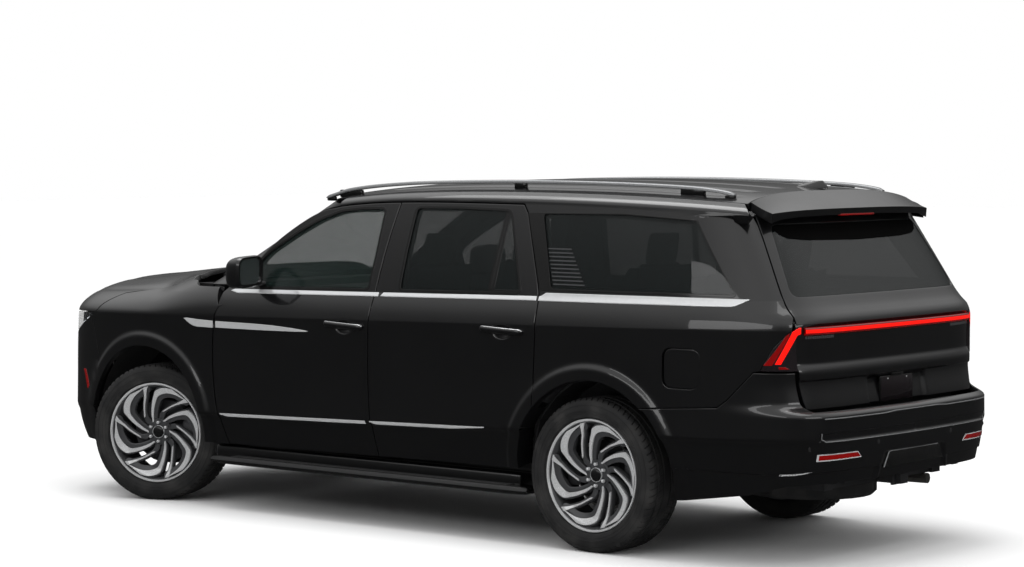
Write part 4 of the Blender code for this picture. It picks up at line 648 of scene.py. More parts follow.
def block(low, high, radius=0.004, steps=2, slot=0):
    # A box with rounded edges
    work = bmesh.new()
    bmesh.ops.create_cube(work, size=1.0)
    for v in work.verts:
        v.co = Vector([low[k] + (high[k] - low[k]) * (v.co[k] + 0.5) for k in range(3)])
    reach = min(radius, 0.49 * min(high[k] - low[k] for k in range(3)))
    bmesh.ops.bevel(work, geom=work.edges[:], offset=reach, segments=steps, profile=0.5, affect="EDGES")
    return fromWork(work, slot)


def fromWork(work, slot=0):
    work.verts.index_update()
    shape = Shape([v.co for v in work.verts], [tuple(v.index for v in f.verts) for f in work.faces], slot)
    work.free()
    return shape


def prism(outline, low, high, axis="y", radius=0.0, steps=2, slot=0):
    # A flat outline made thick along an axis, with its long edges rounded
    at = {
        "x": lambda p, v: (v, p[0], p[1]),
        "y": lambda p, v: (p[0], v, p[1]),
        "z": lambda p, v: (p[0], p[1], v),
    }[axis]
    work = bmesh.new()
    bottom = [work.verts.new(at(p, low)) for p in outline]
    top = [work.verts.new(at(p, high)) for p in outline]
    count = len(outline)
    work.faces.new(bottom)
    work.faces.new(list(reversed(top)))
    for i in range(count):
        work.faces.new((bottom[(i + 1) % count], bottom[i], top[i], top[(i + 1) % count]))
    bmesh.ops.recalc_face_normals(work, faces=work.faces)
    if radius:
        ends = set(bottom), set(top)
        picked = [e for e in work.edges if any(all(v in end for v in e.verts) for end in ends)]
        bmesh.ops.bevel(work, geom=picked, offset=radius, segments=steps, profile=0.5, affect="EDGES")
    return fromWork(work, slot)


def lathe(profile, steps, slot=0, closed=True):
    # Rings of (radius, along) turned about the y axis
    turns = [2 * math.pi * k / steps for k in range(steps)]
    points = [(r * math.cos(a), w, r * math.sin(a)) for a in turns for r, w in profile]
    return Shape(points, ringSides(steps, len(profile), loop=True, closed=closed), slot)


# Materials: a wrapper lets sockets be added and multiplied like numbers

class Tap:
    def __init__(self, tree, socket):
        self.tree = tree
        self.socket = socket

    def node(self, kind, outlet=0, inputs=(), **settings):
        made = self.tree.nodes.new(kind)
        for key, value in settings.items():
            setattr(made, key, value)
        for key, value in dict(inputs).items():
            if isinstance(value, Tap):
                self.tree.links.new(value.socket, made.inputs[key])
            else:
                made.inputs[key].default_value = value
        return Tap(self.tree, made.outputs[outlet])

    def math(self, operation, *others):
        return self.node("ShaderNodeMath", 0, dict(enumerate((self, *others))), operation=operation)

    def __add__(self, other):
        return self.math("ADD", other)

    def __mul__(self, other):
        return self.math("MULTIPLY", other)

    def __sub__(self, other):
        return self.math("SUBTRACT", other)

    def __rsub__(self, other):
        return (self * -1.0) + other

    __radd__ = __add__
    __rmul__ = __mul__

    def step(self, start, end):
        # smooth run from 0 at start to 1 at end
        return self.node(
            "ShaderNodeMapRange", 0, {0: self, 1: start, 2: end, 3: 0.0, 4: 1.0},
            interpolation_type="SMOOTHSTEP",
        )

    def run(self, start, end, low, high):
        return self.node("ShaderNodeMapRange", 0, {0: self, 1: start, 2: end, 3: low, 4: high})


def mixColors(tap, share, first, second):
    inputs = {0: share, 6: first, 7: second}
    return tap.node("ShaderNodeMix", 2, inputs, data_type="RGBA")


def newMaterial(name, color=(0.5, 0.5, 0.5), **values):
    # returns the material, its shader node and a tap on the place in metres
    made = bpy.data.materials.new(name)
    made.use_nodes = True
    tree = made.node_tree
    shader = next(n for n in tree.nodes if n.type == "BSDF_PRINCIPLED")
    shader.inputs["Base Color"].default_value = (*color, 1)
    for key, value in values.items():
        shader.inputs[key.replace("_", " ")].default_value = value
    made.diffuse_color = (*color, 1)
    place = Tap(tree, tree.nodes.new("ShaderNodeTexCoord").outputs["Object"])
    return made, shader, place


def noise(place, scale, detail=2.0, roughness=0.5, outlet=0, **more):
    return place.node(
        "ShaderNodeTexNoise", outlet,
        {"Vector": place, "Scale": scale, "Detail": detail, "Roughness": roughness}, **more,
    )


def cells(place, scale, outlet="Distance", **more):
    return place.node("ShaderNodeTexVoronoi", outlet, {"Vector": place, "Scale": scale}, **more)


def plug(tap, shader, name):
    tap.tree.links.new(tap.socket, shader.inputs[name])


def bump(height, shader, distance, strength=1.0):
    made = height.node("ShaderNodeBump", 0, {"Height": height, "Distance": distance, "Strength": strength})
    plug(made, shader, "Normal")


def axes(place):
    return [place.node("ShaderNodeSeparateXYZ", k, {0: place}) for k in range(3)]


def blackPaint():
    # deep gloss black: a clear coat over a base with a very fine flake and a faint ripple
    made, shader, place = newMaterial(
        "black_paint_fine", (0.0035, 0.0035, 0.004), Roughness=0.32, Coat_Weight=1.0, Coat_Roughness=0.025,
        Coat_IOR=1.5, Specular_IOR_Level=0.35,
    )
    flakes = cells(place, 1400.0, "Color")
    spark = axes(flakes)[0].step(0.93, 1.0)
    plug(
        mixColors(place, spark * 0.5, (0.0032, 0.0032, 0.0036, 1), (0.014, 0.014, 0.016, 1)), shader,
        "Base Color",
    )
    ripple = noise(place, 260.0, 1.0)
    bump(ripple, shader, 0.00002, 0.25)
    dust = noise(place, 3.0, 3.0)
    plug(dust.run(0.3, 0.8, 0.28, 0.36), shader, "Roughness")
    return made


def softPlastic(name, color, rough, grain, depth, shine=0.5):
    made, shader, place = newMaterial(name, color, Roughness=rough, Specular_IOR_Level=shine)
    lumps = cells(place, grain)
    wide = noise(place, 4.0, 2.0)
    plug(
        mixColors(place, wide, (*[c * 0.8 for c in color], 1), (*[c * 1.25 for c in color], 1)), shader,
        "Base Color",
    )
    plug(wide.run(0.3, 0.7, rough - 0.06, rough + 0.06), shader, "Roughness")
    bump(lumps, shader, depth, 0.8)
    return made


def metal(name, color, rough, streak=0.0, scale=60.0, share=1.0):
    made, shader, place = newMaterial(name, color, Metallic=share, Roughness=rough)
    wear = noise(place, scale, 3.0)
    plug(wear.run(0.3, 0.7, max(0.02, rough - 0.04), rough + 0.05), shader, "Roughness")
    plug(
        mixColors(place, wear, (*[c * 0.92 for c in color], 1), (*[min(1, c * 1.06) for c in color], 1)),
        shader, "Base Color",
    )
    if streak:
        bump(wear, shader, streak, 0.5)
    return made


def glass(name, tint, alpha):
    made, shader, place = newMaterial(name, tint, Roughness=0.012, Specular_IOR_Level=0.55)
    shader.inputs["Alpha"].default_value = alpha
    shade = noise(place, 1.2, 1.0)
    plug(mixColors(place, shade, (*tint, 1), (*[c * 1.3 for c in tint], 1)), shader, "Base Color")
    return made


def glow(name, color, strength, base=(0.3, 0.0, 0.0), rough=0.08):
    made, shader, place = newMaterial(name, base, Roughness=rough, Coat_Weight=1.0, Coat_Roughness=0.03)
    ribs = axes(place)[1] * 500.0
    wave = ribs.math("SINE").run(-1.0, 1.0, 0.9, 1.0)
    plug(mixColors(place, wave, (*[c * 0.8 for c in color], 1), (*color, 1)), shader, "Emission Color")
    shader.inputs["Emission Strength"].default_value = strength
    return made


def leather(name, color):
    made, shader, place = newMaterial(name, color, Roughness=0.48, Specular_IOR_Level=0.4)
    pores = cells(place, 520.0)
    creases = noise(place, 90.0, 4.0, 0.6)
    wide = noise(place, 6.0, 2.0)
    plug(
        mixColors(place, wide, (*[c * 0.75 for c in color], 1), (*[c * 1.3 for c in color], 1)), shader,
        "Base Color",
    )
    plug(creases.run(0.3, 0.7, 0.40, 0.58), shader, "Roughness")
    bump(pores * 0.6 + creases, shader, 0.0004, 0.7)
    return made


def rubber():
    # tyre rubber: fine moulding grain, lighter dust in patches
    made, shader, place = newMaterial(
        "tyre_rubber_fine", (0.016, 0.016, 0.016), Roughness=0.72, Specular_IOR_Level=0.35
    )
    grain = noise(place, 900.0, 2.0)
    dust = noise(place, 9.0, 4.0)
    plug(
        mixColors(place, dust.step(0.35, 0.8), (0.012, 0.012, 0.0125, 1), (0.030, 0.029, 0.028, 1)), shader,
        "Base Color",
    )
    plug(dust.run(0.3, 0.7, 0.62, 0.82), shader, "Roughness")
    bump(grain, shader, 0.0002, 0.7)
    return made


def cast(name, color, rough, metallic=0.9):
    made, shader, place = newMaterial(name, color, Metallic=metallic, Roughness=rough)
    pits = noise(place, 240.0, 4.0)
    grime = noise(place, 7.0, 4.0)
    plug(
        mixColors(place, grime.step(0.35, 0.75), (*[c * 0.55 for c in color], 1), (*color, 1)), shader,
        "Base Color",
    )
    plug(grime.run(0.3, 0.7, rough - 0.1, rough + 0.15), shader, "Roughness")
    bump(pits, shader, 0.0006, 0.6)
    return made


def brakeDisc():
    made, shader, place = newMaterial("brake_disc_face", (0.45, 0.44, 0.43), Metallic=1.0, Roughness=0.35)
    rings = noise(place, 40.0, 2.0)
    plug(rings.run(0.3, 0.7, 0.25, 0.45), shader, "Roughness")
    return made


def floorMaterial():
    made, shader, place = newMaterial(
        "pale_floor", (0.985, 0.985, 0.985), Roughness=0.75, Specular_IOR_Level=0.1
    )
    soft = noise(place, 0.8, 2.0)
    plug(mixColors(place, soft, (0.990, 0.990, 0.990, 1), (0.998, 0.998, 0.998, 1)), shader, "Base Color")
    return made


paint = blackPaint()
trimBlack = softPlastic("gloss_black_trim", (0.006, 0.006, 0.006), 0.12, 700.0, 0.000005)
# near-black matt film used as painted shade: the spoiler's shadow and reflection on the gate glass
spoilerShadowBlack = softPlastic("painted_spoiler_shadow_band", (0.0015, 0.0015, 0.0015), 0.85, 700.0, 0.000005, 0.05)
plasticBlack = softPlastic("moulded_black_plastic", (0.012, 0.012, 0.0125), 0.50, 420.0, 0.0004)
cabinPlastic = softPlastic("cabin_soft_plastic", (0.020, 0.020, 0.021), 0.62, 380.0, 0.0004)
headliner = softPlastic("headliner_weave", (0.10, 0.10, 0.10), 0.9, 900.0, 0.0003)
carpet = softPlastic("cabin_carpet", (0.014, 0.014, 0.015), 0.95, 600.0, 0.0012)
chrome = metal("bright_chrome", (0.80, 0.81, 0.82), 0.09, share=0.55)
satin = metal("satin_rail_metal", (0.26, 0.265, 0.27), 0.28, 0.00002, 300.0, 0.6)
wheelFace = metal("machined_wheel_face", (0.56, 0.565, 0.57), 0.26, 0.00002, 400.0, 0.30)
wheelPocket = metal("dark_wheel_pocket", (0.060, 0.061, 0.064), 0.36, 0.00001, 200.0, 0.35)
tint = glass("dark_side_glass", (0.006, 0.008, 0.008), 0.70)
tintFront = glass("front_side_glass", (0.012, 0.020, 0.018), 0.46)
tintLight = glass("windshield_glass", (0.010, 0.014, 0.013), 0.42)
redGlow = glow("red_light_bar", (1.0, 0.012, 0.006), 1.0)
# glowing red lens: a lamp on the tail lamps and the brake lamp; on the rear bumper's reflectors its glow is
# painted, as they are no lamps
redLensAndReflectorGlow = glow("red_lamp_lens_and_painted_reflector_glow", (0.30, 0.002, 0.002), 0.22, (0.14, 0.001, 0.001))
darkLens = softPlastic("smoked_lamp_lens", (0.010, 0.008, 0.009), 0.08, 700.0, 0.000005)
clearLens = glass("clear_lamp_lens", (0.03, 0.032, 0.035), 0.35)
lampWhite = glow("lamp_light_strip", (0.80, 0.84, 0.90), 0.9, (0.7, 0.72, 0.75))
lampSilver = metal("lamp_reflector", (0.75, 0.76, 0.78), 0.18)
seatLeather = leather("seat_leather", (0.030, 0.028, 0.027))
trimLeather = leather("trim_leather", (0.022, 0.021, 0.021))
tyreRubber = rubber()
castIron = cast("cast_iron", (0.20, 0.20, 0.21), 0.5)
steelPaint = cast("chassis_paint", (0.030, 0.030, 0.032), 0.5, 0.3)
exhaustSteel = cast("exhaust_steel", (0.34, 0.33, 0.31), 0.38)
discSteel = brakeDisc()
print("materials made")


# Body side: doors, quarter panel, roof side and windshield pillar

def roundTail(u, z, face=lowerPoint):
    # u is x along the side, then keeps falling across the tail
    if u >= size["rearMid"]:
        return (u, sideWidth(u, z), z)
    return face(3 + (size["rearMid"] - u) / 1.2, z)


shoulder = 0.095  # how far the quarter panel's v runs on over the roof's edge
tailMiddle = -3.9  # the u of the middle line at the tail


def sidePlace(x, z):
    return (x, sideWidth(x, z), z)


def lifted(place, level, turn):
    # the same surface, raised by level along its normal
    def at(u, v):
        here = Vector(place(u, v))
        du = Vector(place(u + 0.002, v)) - Vector(place(u - 0.002, v))
        dv = Vector(place(u, v + 0.002)) - Vector(place(u, v - 0.002))
        return tuple(here + du.cross(dv).normalized() * (turn * level))
    return at


def shifted(place, along):
    # the same surface, moved along the car
    def at(u, v):
        x, y, z = place(u, v)
        return (x + along, y, z)
    return at


def raised(outline, place, lift, thick, slot, turn, roll=0.0010, step=0.03, edgeStep=0.02):
    # a strip that stands a little above the skin
    return panel(
        outline, lifted(place, lift, turn), thick, step=step, roll=roll, turn=turn, inner=False,
        flange=thick, edgeStep=edgeStep, slots=(slot, slot),
    )


def quarterPlace(u, v):
    ahead = max(u, -2.34)
    drip = dripHeight(ahead)
    if v > drip:
        return roofPoint(ahead, 1 - (1 - size["roofSeam"]) * (v - drip) / shoulder)
    return roundTail(u, v)


def nearRows(line, offsets):
    return [line + o for o in offsets]


def sideRows(x):
    ledge, crease, belt = ledgeHeight(x), creaseHeight(x), beltHeight(x)
    drip = dripHeight(max(x, -2.45))
    fold = (-0.009, -0.005, -0.0025, 0.0, 0.0025, 0.005, 0.009)
    levels = (
        spread(0.29, ledge - 0.032, 12)
        + nearRows(ledge, (-0.024, -0.017, -0.011, -0.006, -0.003, 0.0, 0.003, 0.008))
    )
    levels += spread(ledge + 0.022, crease - 0.022, 22) + nearRows(crease, fold)
    levels += spread(crease + 0.020, belt - 0.018, 5) + nearRows(belt, fold)
    levels += (
        spread(belt + 0.020, drip - 0.020, 18)
        + nearRows(drip, (-0.01, 0.0, 0.008, 0.017, 0.026, 0.036, 0.047, 0.059, 0.071, 0.083))
    )
    return levels


def flareRings(centerX, centerZ):
    radii = (0.514, 0.530, 0.543, 0.552, 0.560, 0.568, 0.576, 0.584, 0.592, 0.602)
    return [p for r in radii for p in arc((centerX, centerZ), r, -12, 192, 128)]


rearFlare = flareRings(size["rearAxle"], size["rearArchZ"])
frontFlare = flareRings(size["frontAxle"], size["frontArchZ"])
handles = {"front": (0.290, 1.104), "rear": (-0.860, 1.128)}


def doorPlace(which):
    cx, cz = handles[which]

    def place(x, z):
        # the skin with an oval pocket behind the handle
        y = sideWidth(x, z)
        away = math.hypot((x - cx) / 0.072, (z - cz) / 0.043)
        if away < 1:
            y -= 0.020 * (1 - away**2) ** 1.5
        return (x, y, z)

    return place


def pocketPoints(which):
    cx, cz = handles[which]
    turns = [2 * math.pi * k / 34 for k in range(34)]
    shares = (0.12, 0.26, 0.4, 0.54, 0.67, 0.78, 0.87, 0.94, 1.0, 1.07, 1.2)
    return [(cx + 0.072 * r * math.cos(a), cz + 0.043 * r * math.sin(a)) for r in shares for a in turns]


def doorWall(x, z):
    share = blend(1.22, 1.34, z)
    return 0.120 * (1 - share) + 0.046 * share


def drawIn(shape):
    # the inside of the front door's rear edge is drawn forwards, so that it swings clear
    for i, (x, y, z) in enumerate(shape.points):
        behind = sideWidth(x, z) - abs(y)
        edge = midGap(z) + halfGap
        if behind > 0.03 and x < edge + 0.05:
            shape.points[i] = (max(x, edge + 0.26 * (behind - 0.01)), y, z)


halfGap = size["gap"] / 2
for which, outline, window, flare in (
    ("front", frontDoorOutline(), frontWindow(), frontFlare),
    ("rear", rearDoorOutline(), rearWindow(), rearFlare),
):
    skin = panel(
        inset(outline, halfGap), doorPlace(which), doorWall, holes=[rounded(window, 0.03)],
        rows=sideRows, features=[flare, pocketPoints(which)], turn=-1, slots=(0, 1),
    )
    if which == "front":
        drawIn(skin)
    body = which + "_door_{}"
    addPair(which + "_door_skin", skin, [paint, cabinPlastic], body, "black_paint", [body])
print("doors built")


def tailX(x, z):
    return solve(roundTail, 0, x, z, -2.78, size["rearMid"]) if x < size["rearMid"] else x


def tailY(y, z):
    return solve(roundTail, 1, y, z, -3.70, -2.55)


def mapped(points):
    return [(tailX(x, z), z) for x, z in points]


gate = [(y, z) for y, z in gateOutline(halfGap) if y > 0]
gate.sort(key=lambda p: p[1])
gateEdge = [(tailY(y, z), z) for y, z in gate if 1.2405 < z < 1.765]


bumperTop = resampleOpen(
    [(-1.80, 0.778), (-2.255, 0.809), (-2.317, 0.853), (-2.455, 0.994), (-2.487, 0.9999)], 0.03
)
lampFront = resampleOpen([(-2.4905, 1.0015), (-2.5505, 1.1160), (-2.6105, 1.1910), (-2.6805, 1.2385)], 0.02)
quarterOutline = (
    [(x, doorTop(x) + halfGap) for x in spread(0.47, -0.886, 16)]
    + [(x - halfGap, z) for x, z in rearDoorBack()]
    + arc((size["rearAxle"], size["rearArchZ"]), size["archRadius"], 42, 131.1, 40)
    + mapped(bumperTop)
    + mapped(lampFront)
    + gateEdge
    + [(gateEdge[-1][0] + 0.02, 1.7668), (-2.365, 1.7668), (-2.337, dripHeight(-2.337) + 0.020)]
    + [(-2.315, dripHeight(-2.315) + 0.055), (-2.270, dripHeight(-2.275) + shoulder - 0.002)]
    + [(x, dripHeight(x) + shoulder) for x in spread(-2.20, 0.47, 40)]
)


def quarterSide(holes):
    # the rear quarter with its window and any other holes
    return panel(
        quarterOutline, quarterPlace, 0.06, holes=[rounded(quarterWindow(), 0.03), *holes],
        rows=sideRows, features=[rearFlare], turn=-1, inner=False, flange=0.05,
    )


# Windshield pillar, in the plane of the glass's own outline
def pillarS(y, z):
    return solve(upperPoint, 1, y, z, 0.5, 1.02)


def pillarX(x, z):
    return solve(upperPoint, 0, x, z, 1.0, 2.0)


doorSide = [(x + 0.002, z + 0.002) for x, z in pillarEdge(6) if z > 1.296]
pillarOutline = [
    (pillarS(y, z), z) for y, z in resampleOpen([(0.8003, 1.2955), (0.6403, 1.775), (0.6396, 1.84)], 0.03)
]
pillarOutline += [(1.30, 1.865), (1.60, 1.83)]
pillarOutline += [(pillarX(x, z), z) for x, z in reversed(doorSide)]


def pillarPlace(s, z):
    return upperPoint(s, min(z, roofEdge(s, upperPoint)[2]))


def innerWall(x, z):
    return (x, sideWidth(x, z) - (doorWall(x, z) + 0.008), z)


side = panel(pillarOutline, pillarPlace, 0.05, step=0.02, turn=1, inner=False, flange=0.03)
# what shows when the doors stand open: pillars, sills and hinge posts
for columns, low, high, wall in (
    ((0.01, 0.07, 0.13), 0.34, 1.80, 0.045), ((-1.17, -1.10, -1.045), 0.90, 1.77, 0.05)
):
    side.join(sheet(list(columns), spread(low, high, 24), innerWall, wall, slots=(0, 1), turn=-1))
side.join(block((1.345, 0.78, 0.30), (1.430, 0.890, 1.29), 0.008))
side.join(block((-0.93, 0.80, 0.270), (1.385, 0.925, 0.366), 0.016, 3))
side.join(block((-0.93, 0.785, 0.30), (1.36, 0.822, 0.50), 0.008))
for low, high in (
    ((1.290, 0.845, 0.64), (1.360, 0.885, 0.71)), ((1.290, 0.845, 1.04), (1.360, 0.885, 1.11)),
    ((0.060, 0.800, 0.64), (0.093, 0.880, 0.71)), ((0.060, 0.800, 1.04), (0.093, 0.880, 1.11)),
    ((-1.095, 0.800, 1.00), (-1.066, 0.868, 1.06)),
):
    side.join(block(low, high, 0.004, slot=2))
# only the left side has a fuel pocket, with its filler neck
leftSide = Shape().join(side).join(quarterSide([inset(fuelDoorOutline(), -halfGap)]))
leftSide.join(block((-2.16, 0.935, 0.885), (-1.925, 0.955, 1.10), 0.004, slot=3))
leftSide.join(prism(arc(fuelCenter, 0.034, 0, 350, 35), 0.955, 0.966, "y", 0.002, slot=2))
rightSide = Shape().join(side).join(quarterSide([])).mirrored()
for label, shape in (("left", leftSide), ("right", rightSide)):
    finishes = [paint, headliner, castIron, plasticBlack]
    addPiece("body_side_skin_" + label, shape, finishes, "body", "black_paint", ["body_side_" + label])
fuelFlap = panel(fuelDoorOutline(), sidePlace, 0.010, step=0.02, turn=-1)
addPiece("fuel_door_skin", fuelFlap, [paint, plasticBlack], "fuel_door", "black_paint", ["fuel_door"])


def wheelLiner(axleX, archZ, innerY, edgeAt):
    # a thin arched shell over the tyre, from the frame side out to the arch lip
    made = Shape()
    stations = [p for p in arc((axleX, archZ), 0.507, -3, 183, 60) if p[1] > 0.34]
    for x, z in stations:
        out = Vector((x - axleX, 0, z - archZ)).normalized() * 0.004
        edge = edgeAt(x, z)
        made.points += [(x, y, z) for y in spread(innerY, edge, 5)]
        made.points += [(x + out.x, y, z + out.z) for y in (innerY, edge)]
    for i in range(len(stations) - 1):
        b = i * 8
        made.faces += [(b + j, b + j + 1, b + j + 9, b + j + 8) for j in range(5)]
        made.faces += [
            (b + 6, b + 14, b + 15, b + 7), (b + 5, b + 7, b + 15, b + 13), (b, b + 8, b + 14, b + 6)
        ]
    made.slots = [0] * len(made.faces)
    return made


# the rear housing also has a wall on its inner side, over the axle
rearLiner = wheelLiner(
    size["rearAxle"], size["rearArchZ"], 0.66,
    lambda x, z: sideWidth(x, max(0.4, z)) - (0.140 if x > -1.090 else 0.045),
)
wall = [p for p in arc((size["rearAxle"], size["rearArchZ"]), 0.510, 20, 160, 40) if p[1] > 0.60]
rearLiner.join(prism(wall, 0.656, 0.660, "y"))
addPair("rear_wheel_liner", rearLiner, [carpet], "body", "black_plastic")
print("body sides built")


# Tail: liftgate, its glass, light bar, lamps and spoiler

def gateRelief(y, z):
    # how far the gate's skin is set in: dark panel under the bar, ledge, crease and plate recess
    deep = 0.017 * blend(0.992, 1.040, z) * (1 - blend(1.224, 1.234, z))
    deep += 0.010 * (1 - blend(0.945, 0.955, z))
    side = 1 - blend(0.25, 0.285, abs(y))
    deep += 0.022 * side * (1 - blend(0.925, 0.948, z))
    return deep


def gatePlace(s, z):
    x, y, z = lowerPoint(s, z)
    return (x + gateRelief(y, z), y, z)


def tailS(y, z, face=lowerPoint):
    return solve(face, 1, y, z, 4.0, 6.0)


def onTail(points, face=lowerPoint):
    return [(tailS(y, z, face), z) for y, z in points]


def gateRows(s):
    levels = (
        spread(0.72, 0.925, 9)
        + [0.93, 0.935, 0.940, 0.945, 0.950, 0.955, 0.960, 0.975, 0.99, 1.005, 1.02]
    )
    levels += (
        [1.028, 1.031, 1.034, 1.037, 1.042, 1.06] + spread(1.08, 1.21, 6)
        + [1.222, 1.226, 1.230, 1.234, 1.242]
    )
    return levels + spread(1.26, 1.80, 26)


plateSides = [
    (side * y, z) for side in (-1, 1) for y in (0.245, 0.252, 0.259, 0.266, 0.273, 0.280, 0.288)
    for z in spread(0.76, 0.95, 9)
]
gateSide = sorted(
    [(y, z) for y, z in gateOutline(-halfGap) if y > 0 and 0.825 < z < 1.775], key=lambda p: p[1]
)
gateLow = [(y, 0.806) for y in (-0.79, -0.31, -0.19, 0.19, 0.31, 0.79)]
gateLine = [(-y, z) for y, z in reversed(gateSide)] + gateLow + gateSide
gateSkin = panel(
    onTail(resampleOpen(gateLine, 0.03)), gatePlace, 0.055, holes=[onTail(gateWindow())], step=0.022,
    rows=gateRows, features=[onTail(plateSides)], turn=1, slots=(0, 1),
)


def spoilerPlace(k, t):
    start, end = rearEdgeX(k) + 0.015 - size["gap"], -2.452 + 0.085 * k * k
    x, y, z = roofPoint(start, k)
    tip = 1.796 - 0.045 * k * k
    return (start + (end - start) * t, y, z + (tip - z) * t - 0.010 * math.sin(math.pi * t) * 0.4)


def underPlace(k, t):
    x, y, z = spoilerPlace(k, t)
    return (x + 0.004, y, z - 0.028 - 0.006 * t - 0.016 * (abs(k) / 0.625) ** 8)


# the spoiler is a lip with a sharp trailing edge: a top skin over an under skin
wingRing = (
    [(spoilerPlace, t) for t in spread(0, 1, 14)] + [(underPlace, t) for t in reversed(spread(0, 1, 14))]
)
wingPoints = [place(k, t) for k in spread(-0.625, 0.625, 60) for place, t in wingRing]
wingFaces = ringSides(61, len(wingRing)) + ringEnds(61, len(wingRing), flip=True)
gateSkin.join(Shape(wingPoints, wingFaces))
# high brake lamp under the spoiler's edge
gateSkin.join(block((-2.451, -0.16, 1.757), (-2.430, 0.16, 1.767), 0.003, slot=2))
addPiece("liftgate_skin", gateSkin, [paint, cabinPlastic, redLensAndReflectorGlow], "liftgate", "black_paint", ["liftgate"])


def paneMade(outline, place, depth, border, turn, step=0.03):
    # glass with a black printed border behind its edge
    thick = 0.004
    pane = panel(
        outline, lifted(place, -depth, turn), thick, step=step, roll=0.0012, turn=turn, edgeStep=0.02,
        slots=(0, 0),
    )
    return pane.join(panel(
        outline, lifted(place, -(depth + thick + 0.0006), turn), 0.001, holes=[inset(outline, border)],
        step=step, roll=0.0003, turn=turn, edgeStep=0.02, slots=(1, 1),
    ))


gateGlassLine = onTail(inset(gateWindow(), 0.0008))
gateGlass = paneMade(gateGlassLine, lowerPoint, 0.004, 0.038, 1)
# the matt black band under the spoiler, with round lower corners: a painted shadow and reflection of the
# spoiler on the glass
spoilerShadowLine = [(0.672, 1.716), (0.668, 1.700), (0.640, 1.668), (0.590, 1.650), (0.45, 1.638), (0.0, 1.630)]
spoilerShadowLine = spoilerShadowLine + [(-y, z) for y, z in reversed(spoilerShadowLine[:-1])]
gateGlass.join(panel(
    onTail(resampleOpen(spoilerShadowLine, 0.04)), shifted(lowerPoint, 0.0022), 0.0014, roll=0.0005, turn=1,
    inner=False, edgeStep=0.02, slots=(2, 2),
))
addPiece(
    "liftgate_glass_pane", gateGlass, [tint, trimBlack, spoilerShadowBlack], "liftgate", "tinted_glass",
    ["liftgate_glass"],
)


def barPlace(s, z):
    # the bar's face bulges; its long edges fall back
    x, y, z = lowerPoint(s, z)
    return (x - 0.0015 + 0.010 * abs((z - 1.1985) / 0.02) ** 4, y, z)


barColumns = spread(tailS(0.789, 1.2), tailS(-0.789, 1.2), 90)
barRows = [1.1785, 1.182, 1.186, 1.198, 1.210, 1.2145, 1.2185]
lightBar = sheet(barColumns, barRows, barPlace, 0.010, slots=(1, 1))
glowRows = [1.1890, 1.192, 1.198, 1.204, 1.2070]
lightBar.join(sheet(barColumns, glowRows, shifted(lowerPoint, -0.0035), 0.003, slots=(0, 0)))
for side in (1, -1):
    # a ribbed strip under each end of the bar
    for i in range(14):
        y = side * (0.768 - 0.0152 * i)
        x = gatePlace(tailS(y, 1.166), 1.166)[0]
        lightBar.join(
            block((x - 0.002, y - 0.0072, 1.158), (x + 0.004, y + 0.0072, 1.173), 0.0012, 1, slot=2)
        )
addPiece("light_bar_lens", lightBar, [redGlow, redLensAndReflectorGlow, wheelPocket], "liftgate", "red_lens", ["light_bar"])

# blank plate in a dark holder, with two screws, under the handle bump
plateX = gatePlace(5.0, 0.86)[0]
holder = block((plateX - 0.012, -0.158, 0.800), (plateX + 0.004, 0.158, 0.936), 0.006, 3, slot=0)
holder.join(block((plateX - 0.0135, -0.150, 0.806), (plateX - 0.011, 0.150, 0.930), 0.0012, 2, slot=1))
for y in (-0.09, 0.09):
    holder.join(
        prism(arc((y, 0.921), 0.004, 0, 330, 11), plateX - 0.0165, plateX - 0.013, "x", 0.0008, slot=2)
    )
holder.join(block((plateX - 0.020, -0.055, 0.936), (plateX + 0.004, 0.055, 0.950), 0.004, 2, slot=0))
addPiece("plate_holder", holder, [trimBlack, darkLens, chrome], "liftgate", "black_plastic")
print("tail gate built")


def tailLampLine():
    front = resampleOpen([(-2.4915, 1.0015), (-2.5515, 1.1150), (-2.6115, 1.1900), (-2.680, 1.2370)], 0.02)
    front = [(solve(lowerPoint, 0, x, z, 4.3, 3.4), z) for x, z in front]
    edge = [(y, z) for y, z in gateOutline(halfGap) if y > 0 and 1.0008 < z < 1.2365]
    edge.sort(key=lambda p: -p[1])
    return front + onTail([(0.8375, 1.2370), *edge, (0.8285, 1.0015)])


lamp = panel(
    tailLampLine(), lowerPoint, 0.03, step=0.012, roll=0.002, turn=1, inner=False, flange=0.03,
    edgeStep=0.006,
)


def onLamp(points, lift, thick, slot):
    def place(s, z):
        x, y, z = lowerPoint(s, z)
        out = Vector((-0.75, 0.66, 0)) * lift
        return (x + out.x, y + out.y, z)
    return panel(
        points, place, thick, step=0.01, roll=0.0006, turn=1, inner=False, flange=0.004, edgeStep=0.006,
        slots=(slot, slot),
    )


bright = [
    (4.128, 1.219), (4.112, 1.218), (4.069, 1.198), (3.952, 1.036), (3.992, 1.036), (4.103, 1.180),
    (4.128, 1.187),
]
outer = [(4.050, 1.192), (4.024, 1.178), (3.885, 1.030), (3.936, 1.030), (4.046, 1.172)]
lower = [(3.975, 1.024), (4.02, 1.024), (4.05, 1.012), (3.98, 1.012)]
for points, slot in ((bright, 1), (outer, 2), (lower, 2)):
    lamp.join(onLamp(points, 0.0012, 0.003, slot))
addPair(
    "tail_lamp_lens", lamp, [darkLens, redGlow, redLensAndReflectorGlow, wheelPocket], "body", "red_lens", ["tail_lamp_{}"]
)
print("tail lamps built")


# Rear bumper

def bumperFace(z):
    return gateFace(z) - 0.093 * blend(0.835, 0.775, z) + 0.25 * max(0.0, 0.62 - z) ** 1.5


def rearBumperBase(s, z):
    return outlinePoint(s, z, frontFace, bumperFace, (0.040, 0.055))


